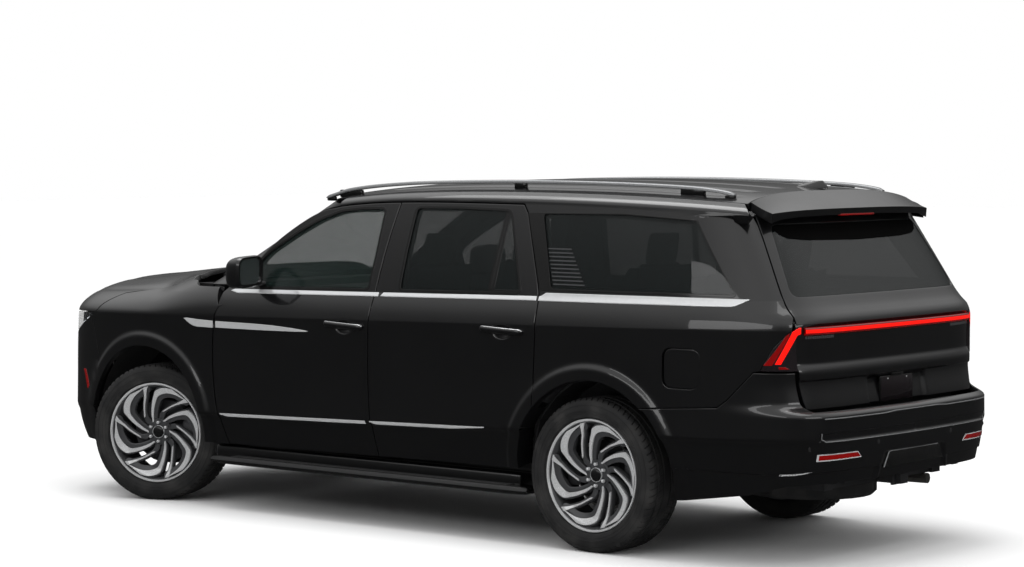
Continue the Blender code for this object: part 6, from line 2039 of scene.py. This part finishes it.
def hoodPlace(x, k):
    # k runs across from -1 to 1; ridges lead from the pillars to the lamps, and the rear edge kicks up
    px, py, pz = hoodPoint(x, 1 - abs(k))
    ridge = 0.0
    for mid, deep in ((0.58 - 0.05 * (x - 1.7), 0.005), (0.30 - 0.04 * (x - 1.7), 0.0035)):
        ridge += deep * (1 - blend(0.0, 0.05, abs(abs(k) - mid)))
    ridge *= 1 - blend(2.55, 2.78, x)
    return (px, math.copysign(py, k) if k else 0.0, pz - ridge)


def hoodK(x, y):
    return math.copysign(bisect(lambda k: hoodPoint(x, 1 - k)[1] < abs(y), 0.0, 1.0, 30), y)


hoodEdge = [
    (1.662, 0.45), (1.695, 0.73), (1.735, 0.795), (1.80, 0.820), (2.0, 0.835), (2.24, 0.845), (2.40, 0.945)
]
hoodSeam = [(1.650, 0.0)] + resampleOpen(hoodEdge, 0.02) + [(2.40, 0.0)]
hoodEdge = inset(hoodSeam, halfGap)[1:-1]
hoodSideLine = [(x, hoodK(x, y)) for x, y in hoodEdge if hoodPoint(x, 0)[1] > y - 0.001]
noseSide = [(x, 0.985) for x in spread(hoodSideLine[-1][0] + 0.02, 2.800, 16)]
noseLine = [(2.808, k) for k in spread(0.93, -0.93, 30)]
hoodBack = [(1.662 - 0.010 * (1 - (y / 0.45) ** 2), hoodK(1.66, y)) for y in spread(-0.43, 0.43, 20)]
hoodHalf = hoodSideLine + noseSide
hoodLoop = hoodHalf + noseLine + [(x, -k) for x, k in reversed(hoodHalf)] + hoodBack
hood = panel(hoodLoop, hoodPlace, 0.028, step=0.025, roll=0.0025, turn=1, slots=(0, 1), edgeStep=0.02)
addPiece("hood_skin", hood, [paint, plasticBlack], "hood", "black_paint", ["hood"])


def fenderK(x, z):
    return (z - size["skirt"]) / (creaseHeight(x) - size["skirt"])


def onFenderTop(x, y):
    return 2 - abs(hoodK(x, y))


def seamPoint(t):
    # the seam between fender and bumper, as (x, z)
    return (2.355 + 0.107 * t, 0.765 + 0.329 * t)


def fenderRows(x):
    levels = [fenderK(x, z) for z in sideRows(x) if z < creaseHeight(x) + 0.001]
    return levels + [1.0 + 0.03 * i for i in range(1, 14)]


cowlHeight = 1.2885
line = [
    (x, fenderK(x, z))
    for x, z in [(frontGap(z) + 2 * halfGap, z) for z in spread(sillHeight(1.25), 1.262, 20)]
]
line += [(x, fenderK(x, cowlHeight)) for x in (1.255, 1.30)]
for x in spread(1.34, 1.655, 10):
    top = cowlHeight + 0.03 * blend(1.54, 1.60, x)
    line.append((x, bisect(lambda k: fenderPoint(x, k)[2] < top, 1.0, 1.7, 24)))
hoodSide = inset(hoodSeam, -halfGap)[1:-1]
line += [(x, onFenderTop(x, y)) for x, y in hoodSide if y > 0.74 and hoodPoint(x, 0)[1] > y - 0.001]
line += [(x, 1.012) for x in spread(line[-1][0] + 0.02, 2.52, 5)]
line += [(2.535, 0.998), (2.462, fenderK(2.462, creaseHeight(2.462) - size["gap"] + 0.001))]
line += [(x - halfGap, fenderK(x, z)) for x, z in [seamPoint(t) for t in spread(1, 0, 12)[1:]]]
frontArch = arc((size["frontAxle"], size["frontArchZ"]), size["archRadius"], 43, 185, 46)
line += [(x, fenderK(x, z)) for x, z in frontArch]
fender = panel(
    line, fenderPoint, 0.02, step=0.02, rows=fenderRows,
    features=[[(x, fenderK(x, z)) for x, z in frontFlare if z < 1.12]],
    roll=0.0025, turn=-1, inner=False, flange=0.03, slots=(0, 1),
)
fenderStrip = [
    (1.5720, 1.1010), (1.5500, 1.0860), (1.5200, 1.0690), (1.4900, 1.0580), (1.4600, 1.0540),
    (1.329, 1.0530), (1.329, 1.0935), (1.46, 1.0975), (1.54, 1.1030),
]
fender.join(
    raised(
        [(x, fenderK(x, z)) for x, z in fenderStrip], fenderPoint, 0.0035, 0.006, 2, -1, roll=0.002,
        edgeStep=0.01,
    )
)
liner = wheelLiner(
    size["frontAxle"], size["frontArchZ"], 0.60,
    lambda x, z: noseWidth(min(2.52, x), max(0.4, z)) - (0.065 if x > 2.24 else 0.02),
)
addPair(
    "front_fender_skin", fender, [paint, plasticBlack, chrome], "body", "black_paint", ["front_fender_{}"]
)
addPair("front_wheel_liner", liner, [plasticBlack], "body", "black_plastic")


def bumperPlace(s, r):
    x0 = lowerPoint(s, 0.9)[0]
    top = creaseHeight(x0) - size["gap"]
    z = size["skirt"] + (top - size["skirt"]) * r
    x, y, z = lowerPoint(s, z)
    dip = 0.0
    if abs(y) < 0.75:
        dip = 0.014 * (1 - blend(0.70, 0.75, abs(y))) * (1 - blend(0.535, 0.555, z)) * blend(0.33, 0.35, z)
    return (x - dip, y, z)


def bumperS(y, z):
    return solve(lowerPoint, 1, y, z, -1.2, 1.2)


def bumperSX(x, z):
    return solve(lowerPoint, 0, x, z, 1.9, 0.9)


def bumperR(s, z):
    x0 = lowerPoint(s, 0.9)[0]
    return (z - size["skirt"]) / (creaseHeight(x0) - size["gap"] - size["skirt"])


def onBumper(points):
    return [(s, bumperR(s, z)) for s, z in points]


def acrossNose(points):
    return [(bumperS(y, z), z) for y, z in points]


def alongNose(points):
    return [(bumperSX(x, z), z) for x, z in points]


def noseBar(z, half, steps, depth):
    # a line across the nose, set in by a depth
    return [(lowerPoint(bumperS(y, z), z)[0] - depth, y, z) for y in spread(-half, half, steps)]


def valancePlace(s, z):
    x, y, _ = lowerPoint(s, 0.32)
    return (x - 0.085 - 0.10 * (0.335 - z), y * 0.955, z)


def archX(z):
    return size["frontAxle"] + math.sqrt(size["archRadius"] ** 2 - (z - size["frontArchZ"]) ** 2)


sideCut = alongNose(
    [(archX(z), z) for z in spread(0.345, 0.762, 18)] + [seamPoint(t) for t in spread(0.02, 0.98, 12)]
)
lampCut = alongNose([(2.48, 1.066), (2.56, 1.028), (2.60, 1.006)])
lampCut += [(s, 0.931 + 0.075 * blend(0.95, 1.10, s) * 0.5) for s in (1.04, 1.0, 0.94, 0.8)]
lampCut += acrossNose([(0.556, 0.925), (0.556, 1.05)])
halfLine = onBumper(sideCut + lampCut) + [(bumperS(y, 1.06), 0.995) for y in (0.53, 0.45)]
bottomLine = [(s, 0.012) for s in spread(-sideCut[0][0], sideCut[0][0], 40)]
whole = halfLine + [(-s, r) for s, r in reversed(halfLine)] + bottomLine
grilleHole = onBumper(acrossNose(inset(grilleOutline(), -0.003)))
intake = rounded([(-0.62, 0.37), (0.62, 0.37), (0.56, 0.50), (-0.56, 0.50)], 0.03)
front = panel(
    whole, bumperPlace, 0.03, holes=[grilleHole, onBumper(acrossNose(intake))], step=0.05,
    rows=lambda s: spread(0.0, 1.0, 34), roll=0.0025, turn=1, inner=False, flange=0.03, slots=(0, 1),
)
marker = resampleOpen([(2.478, 0.630), (2.500, 0.690), (2.528, 0.745)], 0.02)
marker += resampleOpen([(2.556, 0.745), (2.528, 0.690), (2.508, 0.628)], 0.02)
marker = onBumper(alongNose(marker))
for line in (marker, [(-s, r) for s, r in marker]):
    front.join(raised(line, bumperPlace, 0.0016, 0.004, 2, 1, roll=0.0006, edgeStep=0.01))
front.join(sheet(spread(-0.92, 0.92, 40), spread(0.178, 0.335, 6), valancePlace, 0.008, slots=(1, 1)))
addPiece("front_bumper_skin", front, [paint, plasticBlack, redLensAndReflectorGlow], "body", "black_paint", ["front_bumper"])
mesh = Shape()
for y in spread(-0.60, 0.60, 23):
    x = lowerPoint(bumperS(y, 0.43), 0.43)[0] - 0.05
    mesh.join(block((x - 0.006, y - 0.004, 0.372), (x + 0.006, y + 0.004, 0.498), 0.001, 1))
for z in (0.392, 0.414, 0.436, 0.458, 0.480):
    mesh.join(tube(noseBar(z, 0.61, 24, 0.043), 0.004, 6))
back = acrossNose(rounded([(-0.65, 0.345), (0.65, 0.345), (0.60, 0.525), (-0.60, 0.525)], 0.03))
mesh.join(panel(
    back, lifted(lowerPoint, -0.062, 1), 0.004, step=0.06, roll=0.0005, turn=1, edgeStep=0.03, slots=(0, 0),
))
addPiece("intake_mesh", mesh, [plasticBlack], "body", "black_plastic")

frameOuter = acrossNose(inset(grilleOutline(), 0.0006))
frameInner = acrossNose(inset(grilleOutline(), 0.026))
grille = panel(
    frameOuter, lifted(lowerPoint, -0.006, 1), 0.03, holes=[frameInner], step=0.04, roll=0.004, turn=1,
    slots=(0, 0),
)
for row in range(7):
    z = 0.634 + 0.066 * row
    grille.join(tube(noseBar(z, 0.448 + 0.045 * (z - 0.6) / 0.46, 30, 0.022), 0.0105, flatness=0.9))
for y in spread(-0.46, 0.46, 34):
    x = lowerPoint(bumperS(y, 0.83), 0.83)[0] - 0.034
    grille.join(block((x - 0.006, y - 0.0035, 0.615), (x + 0.006, y + 0.0035, 1.045), 0.001, 1, slot=1))
grille.join(panel(
    frameOuter, lifted(lowerPoint, -0.047, 1), 0.004, step=0.06, roll=0.0005, turn=1, edgeStep=0.03,
    slots=(1, 1),
))
addPiece("grille_fine", grille, [chrome, plasticBlack], "body", "chrome", ["grille"])


# head lamp: clear lens over a silver bowl with slanting light strips
lensTop = alongNose([(x, creaseHeight(x) - size["gap"] - 0.0004) for x in (2.412, 2.50, 2.60, 2.70)])
lensLow = alongNose(resampleOpen([(2.440, 1.082), (2.60, 1.0115), (2.72, 0.968)], 0.03))
topZ = creaseHeight(2.8) - size["gap"] - 0.0006
lens = (
    list(reversed(lensTop)) + lensLow
    + [(1.02, 0.940), (0.94, 0.940 - 0.008), (bumperS(0.5615, 0.928), 0.930)]
)
lens += [(bumperS(0.5615, 1.05), topZ)] + [(s, topZ) for s in (0.80, 0.90, 0.98)]
lamp = panel(lens, lowerPoint, 0.004, step=0.03, roll=0.002, turn=1, inner=False, flange=0.02, slots=(0, 1))
lamp.join(panel(
    inset(lens, 0.004), lifted(lowerPoint, -0.030, 1), 0.006, step=0.03, roll=0.001, turn=1, inner=False,
    flange=0.006, slots=(1, 1),
))
for i in range(5):
    z = 0.962 + 0.024 * i
    start, end = bumperSX(2.70 - 0.055 * i, z + 0.01), bumperSX(2.60 - 0.045 * i, z + 0.028)
    strip = [(start - 0.07, z - 0.012), (end, z + 0.018), (end, z + 0.029), (start - 0.07, z - 0.002)]
    lamp.join(raised(strip, lowerPoint, -0.012, 0.004, 2, 1, roll=0.001, edgeStep=0.02))
addPair("head_lamp_fine", lamp, [clearLens, lampSilver, lampWhite], "body", "clear_lens", ["headlamp_{}"])
print("front built")


# Seats: padded forms with piping and stitched channels
def pillow(half, crown, power, seams, slot=0, steps=(22, 20)):
    # a stuffed form about the origin, thickness along z; seams are (axis, place, width, depth)
    us = [math.sin(math.pi / 2 * t) for t in spread(-1, 1, steps[0])]
    vs = [math.sin(math.pi / 2 * t) for t in spread(-1, 1, steps[1])]
    for axis, at, width, depth in seams:
        marks = [at + d * width for d in (-1.6, -0.6, 0, 0.6, 1.6)]
        if axis == 0:
            us = sorted(set(us) | {m for m in marks if abs(m) < 1})
        else:
            vs = sorted(set(vs) | {m for m in marks if abs(m) < 1})
    top, low = [], []
    for u in us:
        for v in vs:
            full = max(0.0, (1 - abs(u) ** power) * (1 - abs(v) ** power)) ** (1 / 2.6)
            x = half[0] * u * (1 - 0.025 * (1 - full) * (1 - v * v))
            y = half[1] * v * (1 - 0.025 * (1 - full) * (1 - u * u))
            lift = half[2] * full * (1 + crown * (1 - u * u) * (1 - v * v))
            for axis, at, width, depth in seams:
                lift -= depth * math.exp(-(((u, v)[axis] - at) / width) ** 2) * full
            top.append((x, y, lift - half[2] * crown))
            low.append((x, y, -half[2] * full * 0.9))
    n = len(vs)
    count = len(top)
    faces = []
    for i in range(len(us) - 1):
        for j in range(n - 1):
            a, b, c, d = i * n + j, (i + 1) * n + j, (i + 1) * n + j + 1, i * n + j + 1
            faces += [(a, b, c, d), (count + a, count + d, count + c, count + b)]
    border = [i * n for i in range(len(us))] + [(len(us) - 1) * n + j for j in range(1, n)]
    border += [i * n + n - 1 for i in reversed(range(len(us) - 1))] + [j for j in reversed(range(1, n - 1))]
    for a, b in zip(border, border[1:] + border[:1]):
        faces.append((b, a, a + count, b + count))
    return Shape(top + low, faces, slot)


def channels(places, width, depth):
    # seams that run across a pad
    return [(0, at, width, depth) for at in places]


def seatShape(x, y, width, places):
    made = Shape()
    recline = 0.17
    wide = width / places
    seatSeams = (
        channels((-0.45, -0.05, 0.35), 0.035, 0.006)
        + [(1, side * 0.90, 0.03, 0.006) for side in (-1, 1)]
    )
    backSeams = (
        channels((-0.55, -0.2, 0.15, 0.5), 0.03, 0.006)
        + [(1, side * 0.88, 0.03, 0.006) for side in (-1, 1)]
    )
    edgeSeam = channels((0.0,), 0.02, 0.003)
    # back pads stand up: thickness to the front, u up the back, v across
    turn = Matrix(((0, 0, 1, 0), (0, 1, 0, 0), (1, 0, 0, 0), (0, 0, 0, 1)))
    base = Matrix.Translation((x - 0.50, 0, 0.80)) @ Matrix.Rotation(-recline, 4, "Y")
    for i in range(places):
        mid = y + (i - (places - 1) / 2) * width / places
        # cushion between two bolsters
        cushion = pillow((0.252, wide * 0.355, 0.088), 0.10, 7, seatSeams)
        made.join(cushion.moved(Matrix.Translation((x - 0.26, mid, 0.812))))
        for side in (-1, 1):
            bolster = pillow((0.245, wide * 0.095, 0.090), 0.0, 4, edgeSeam, 1, (18, 12))
            made.join(bolster.moved(Matrix.Translation((x - 0.258, mid + side * wide * 0.40, 0.822))))
        back = pillow((0.325, wide * 0.335, 0.066), 0.10, 7, backSeams).moved(turn)
        made.join(back.moved(base @ Matrix.Translation((0.004, mid, 0.33))))
        for side in (-1, 1):
            wing = pillow((0.310, wide * 0.095, 0.074), 0.0, 4, edgeSeam, 1, (18, 12)).moved(turn)
            made.join(wing.moved(base @ Matrix.Translation((0.010, mid + side * wide * 0.385, 0.325))))
        shell = pillow((0.322, wide * 0.455, 0.030), 0.0, 8, [], 1, (16, 16)).moved(turn)
        made.join(shell.moved(base @ Matrix.Translation((-0.042, mid, 0.33))))
        headSeams = [(0, -0.3, 0.04, 0.004), (1, 0.0, 0.012, 0.003)]
        head = pillow((0.093, 0.125, 0.047), 0.05, 3.4, headSeams, 0, (18, 18)).moved(turn)
        made.join(head.moved(base @ Matrix.Translation((0.0, mid, 0.737))))
        for side in (-0.055, 0.055):
            post = tube([(0, mid + side, 0.62), (0, mid + side, 0.70)], 0.006, 10, 2)
            made.join(post.moved(base))
    return made


def seatBase(x, y, width):
    made = block((x - 0.46, y - width * 0.34, 0.56), (x - 0.08, y + width * 0.34, 0.735), 0.03, 3)
    for side in (-1, 1):
        rail = y + side * width * 0.30
        made.join(block((x - 0.50, rail - 0.02, 0.530), (x - 0.02, rail + 0.02, 0.565), 0.006, 2, 1))
        mid = y + side * width * 0.45
        cheek = [(x - 0.50, 0.66), (x - 0.06, 0.66), (x - 0.04, 0.76), (x - 0.49, 0.78)]
        made.join(prism(rounded(cheek, 0.03), mid - 0.012, mid + 0.012, "y", 0.005))
    return made


for name, x, y, width, places in (
    ("front_seat_left", 0.72, 0.40, 0.54, 1), ("front_seat_right", 0.72, -0.40, 0.54, 1),
    ("second_seat_left", -0.26, 0.40, 0.52, 1), ("second_seat_right", -0.26, -0.40, 0.52, 1),
    ("third_row_seat", -1.24, 0.0, 1.16, 2),
):
    soft = addPiece(
        name + "_soft", seatShape(x, y, width, places), [seatLeather, trimLeather, chrome], "body",
        "cabin_leather", [name], angle=60,
    )
    addPiece(name + "_base", seatBase(x, y, width), [cabinPlastic, castIron], "body", "black_plastic")
print("seats built")

# Dashboard with screens, vents and console; steering wheel with a leather rim
dash = prism(
    curve(
        [
            (1.4047, 1.05), (1.404, 1.20), (1.39, 1.252), (1.30, 1.262), (1.18, 1.240), (1.06, 1.213),
            (1.005, 1.175), (0.985, 1.13), (1.00, 1.05), (1.03, 0.98), (1.12, 0.89), (1.22, 0.825),
            (1.32, 0.803), (1.40, 0.80),
        ],
        4,
    ),
    -0.763, 0.763, "y", 0.008, 2, 0,
)
for low, high, radius, steps, slot in (
    ((0.984, -0.735, 1.085), (1.02, 0.735, 1.105), 0.006, 2, 1),
    ((0.975, -0.12, 1.06), (0.992, 0.18, 1.215), 0.008, 2, 2),
    ((1.02, 0.24, 1.145), (1.035, 0.56, 1.235), 0.008, 2, 2),
    *[
        ((0.990, y - 0.06, z), (1.03, y + 0.06, z + 0.006), 0.002, 1, 1)
        for y in (-0.62, -0.30, 0.66) for z in (1.03, 1.045, 1.06)
    ],
    ((0.22, -0.105, 0.53), (1.25, 0.105, 0.845), 0.02, 3, 3),
    ((0.22, -0.098, 0.845), (0.62, 0.098, 0.880), 0.014, 3, 0),
    ((0.66, -0.085, 0.842), (0.95, 0.085, 0.852), 0.004, 2, 2),
):
    dash.join(block(low, high, radius, steps, slot))
knob = lathe([(0.0, 0.0), (0.034, 0.0), (0.038, 0.006), (0.034, 0.012), (0.0, 0.010)], 32, 1, closed=False)
for y in (-0.045, 0.045):
    dash.join(knob.moved(Matrix.Translation((0.80, y, 0.850)) @ Matrix.Rotation(math.radians(90), 4, "X")))
wheelAt = Matrix.Translation((0.87, 0.40, 1.10)) @ Matrix.Rotation(math.radians(-65), 4, "Y")
rimLine = [(0.185 * math.cos(a), 0.185 * math.sin(a), 0.0) for a in spread(0, 2 * math.pi, 72)[:-1]]
steering = tube(rimLine, 0.0155, 14, 0, closed=True)
steering.join(block((-0.055, -0.060, -0.025), (0.050, 0.060, 0.022), 0.018, 4, 3))
for low, high in (
    ((-0.018, -0.178, -0.008), (0.018, -0.050, 0.008)), ((-0.018, 0.050, -0.008), (0.018, 0.178, 0.008)),
    ((-0.175, -0.020, -0.008), (-0.045, 0.020, 0.008)),
):
    steering.join(block(low, high, 0.006, 2, 1))
steering.join(tube([(0, 0, -0.01), (0, 0, -0.28)], 0.033, 20, 3))
dash.join(steering.moved(wheelAt))
addPiece(
    "dashboard_fine", dash, [trimLeather, satin, trimBlack, cabinPlastic], "body", "cabin_leather",
    ["dashboard"],
)
addPiece(
    "load_cover_shelf", block((-2.46, -0.62, 0.515), (-1.98, 0.62, 0.532), 0.004, 2), [carpet], "body",
    "black_plastic",
)
print("cabin built")

# Running boards with ribbed treads, on brackets
boardPath = (
    (1.365, 0.930, 0.55), (1.345, 0.938, 0.85), (1.30, 0.944, 0.97), (1.20, 0.945, 1), (-0.90, 0.945, 1),
    (-0.97, 0.942, 0.97), (-1.01, 0.934, 0.85), (-1.022, 0.927, 0.55),
)
ring = [
    (-0.060, -0.010), (-0.052, -0.022), (0.040, -0.023), (0.056, -0.015), (0.0615, 0.0),
    (0.056, 0.015), (0.046, 0.0225), (0.020, 0.0235), (-0.045, 0.0235), (-0.060, 0.014),
]
points = [(x, y + dy, 0.285 + dz * taper) for x, y, taper in boardPath for dy, dz in ring]
count, n = len(boardPath), len(ring)
board = Shape(points, ringSides(count, n, flip=True) + ringEnds(count, n, flip=True))
for k in range((count - 1) * n):
    # the upper outer edge has a finish of its own
    board.slots[k] = 1 if k % n in (4, 5) else 0
for y in spread(0.905, 0.985, 8):
    board.join(block((-0.88, y - 0.0022, 0.3078), (1.20, y + 0.0022, 0.3108), 0.0008, 1, slot=2))
for x in (1.0, 0.1, -0.7):
    board.join(block((x - 0.035, 0.56, 0.292), (x + 0.035, 0.90, 0.306), 0.004, 2, slot=3))
addPair(
    "running_board_fine", board, [trimBlack, plasticBlack, plasticBlack, steelPaint], "body",
    "black_plastic", ["running_board_{}"], angle=35,
)

# CAD pieces that stay: each takes a finish of its own
finishOf = {
    "cabin_floor": carpet, "chassis_frame": steelPaint, "cowl_panel": plasticBlack, "driveline": castIron,
    "engine": castIron, "exhaust": exhaustSteel, "front_knuckle_left": castIron,
    "front_knuckle_right": castIron, "front_suspension": steelPaint, "fuel_tank": plasticBlack,
    "rear_suspension": steelPaint, "spare_wheel": tyreRubber,
}
for name, finish in finishOf.items():
    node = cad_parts[name]
    node.data.materials.clear()
    node.data.materials.append(finish)
print("kept pieces finished")


# Floor, lights and camera

def areaLight(name, place, target, sizeX, sizeY, power, color=(1, 1, 1)):
    data = bpy.data.lights.new(name, "AREA")
    data.shape = "RECTANGLE"
    data.size, data.size_y = sizeX, sizeY
    data.energy = power
    data.color = color
    lamp = bpy.data.objects.new(name, data)
    bpy.context.scene.collection.objects.link(lamp)
    lamp.location = place
    lamp.rotation_euler = (Vector(target) - Vector(place)).to_track_quat("-Z", "Y").to_euler()
    return lamp


def buildStage():
    low = -0.0005
    mesh = bpy.data.meshes.new("floor")
    mesh.from_pydata([(-60, -60, low), (60, -60, low), (60, 60, low), (-60, 60, low)], [], [(0, 1, 2, 3)])
    mesh.materials.append(floorMaterial())
    floor = bpy.data.objects.new("floor", mesh)
    bpy.context.scene.collection.objects.link(floor)
    floor.visible_glossy = False
    world = bpy.data.worlds.new("studio")
    bpy.context.scene.world = world
    world.use_nodes = True
    tree = world.node_tree
    back = next(n for n in tree.nodes if n.type == "BACKGROUND")
    path = tree.nodes.new("ShaderNodeLightPath")
    tap = Tap(tree, path.outputs["Is Camera Ray"])
    through = Tap(tree, path.outputs["Is Transmission Ray"])
    seen = tap.math("MAXIMUM", through)
    glossy = Tap(tree, path.outputs["Is Glossy Ray"])
    direction = Tap(tree, tree.nodes.new("ShaderNodeTexCoord").outputs["Generated"])
    height = axes(direction)[2]
    shine = height.step(-0.10, 0.22) * 0.11 + height.step(0.20, 0.60) * 0.62 + 0.03
    tone = tap.node("ShaderNodeCombineColor", 0, {0: shine, 1: shine, 2: shine})
    # soft light mostly from above, so that the ground under the car stays dark
    soft = height.step(0.15, 0.75) * 0.70 + 0.30
    fill = tap.node("ShaderNodeCombineColor", 0, {0: soft, 1: soft, 2: soft})
    color = mixColors(tap, glossy, fill, tone)
    color = mixColors(tap, seen, color, (1.0, 1.0, 1.0, 1))
    tree.links.new(color.socket, back.inputs["Color"])
    data = bpy.data.lights.new("high_sun", "SUN")
    data.energy, data.angle = 0.72, math.radians(40)
    sun = bpy.data.objects.new("high_sun", data)
    bpy.context.scene.collection.objects.link(sun)
    sun.rotation_euler = Vector((0.34, -0.06, 1.0)).to_track_quat("Z", "Y").to_euler()
    areaLight("top_softbox", (-0.4, 0.5, 6.5), (-0.4, 0, 1.0), 9.0, 3.0, 150)
    areaLight("side_softbox", (-1.0, 9.0, 4.2), (-0.5, 0, 0.8), 9.0, 1.6, 90)
    areaLight("rear_softbox", (-9.5, 1.5, 3.6), (-2.0, 0, 0.9), 5.0, 1.6, 70)


def buildCamera():
    data = bpy.data.cameras.new("photo_camera")
    data.lens, data.sensor_width = 99.12, 36.0
    data.clip_end = 300
    camera = bpy.data.objects.new("photo_camera", data)
    bpy.context.scene.collection.objects.link(camera)
    camera.location = (-10.473, 12.470, 2.184)
    yaw, pitch = math.radians(39.747), math.radians(3.055)
    look = Vector((math.sin(yaw) * math.cos(pitch), -math.cos(yaw) * math.cos(pitch), -math.sin(pitch)))
    camera.rotation_euler = look.to_track_quat("-Z", "Y").to_euler()
    bpy.context.scene.camera = camera


buildStage()
buildCamera()
bpy.context.scene.view_settings.view_transform = "Standard"
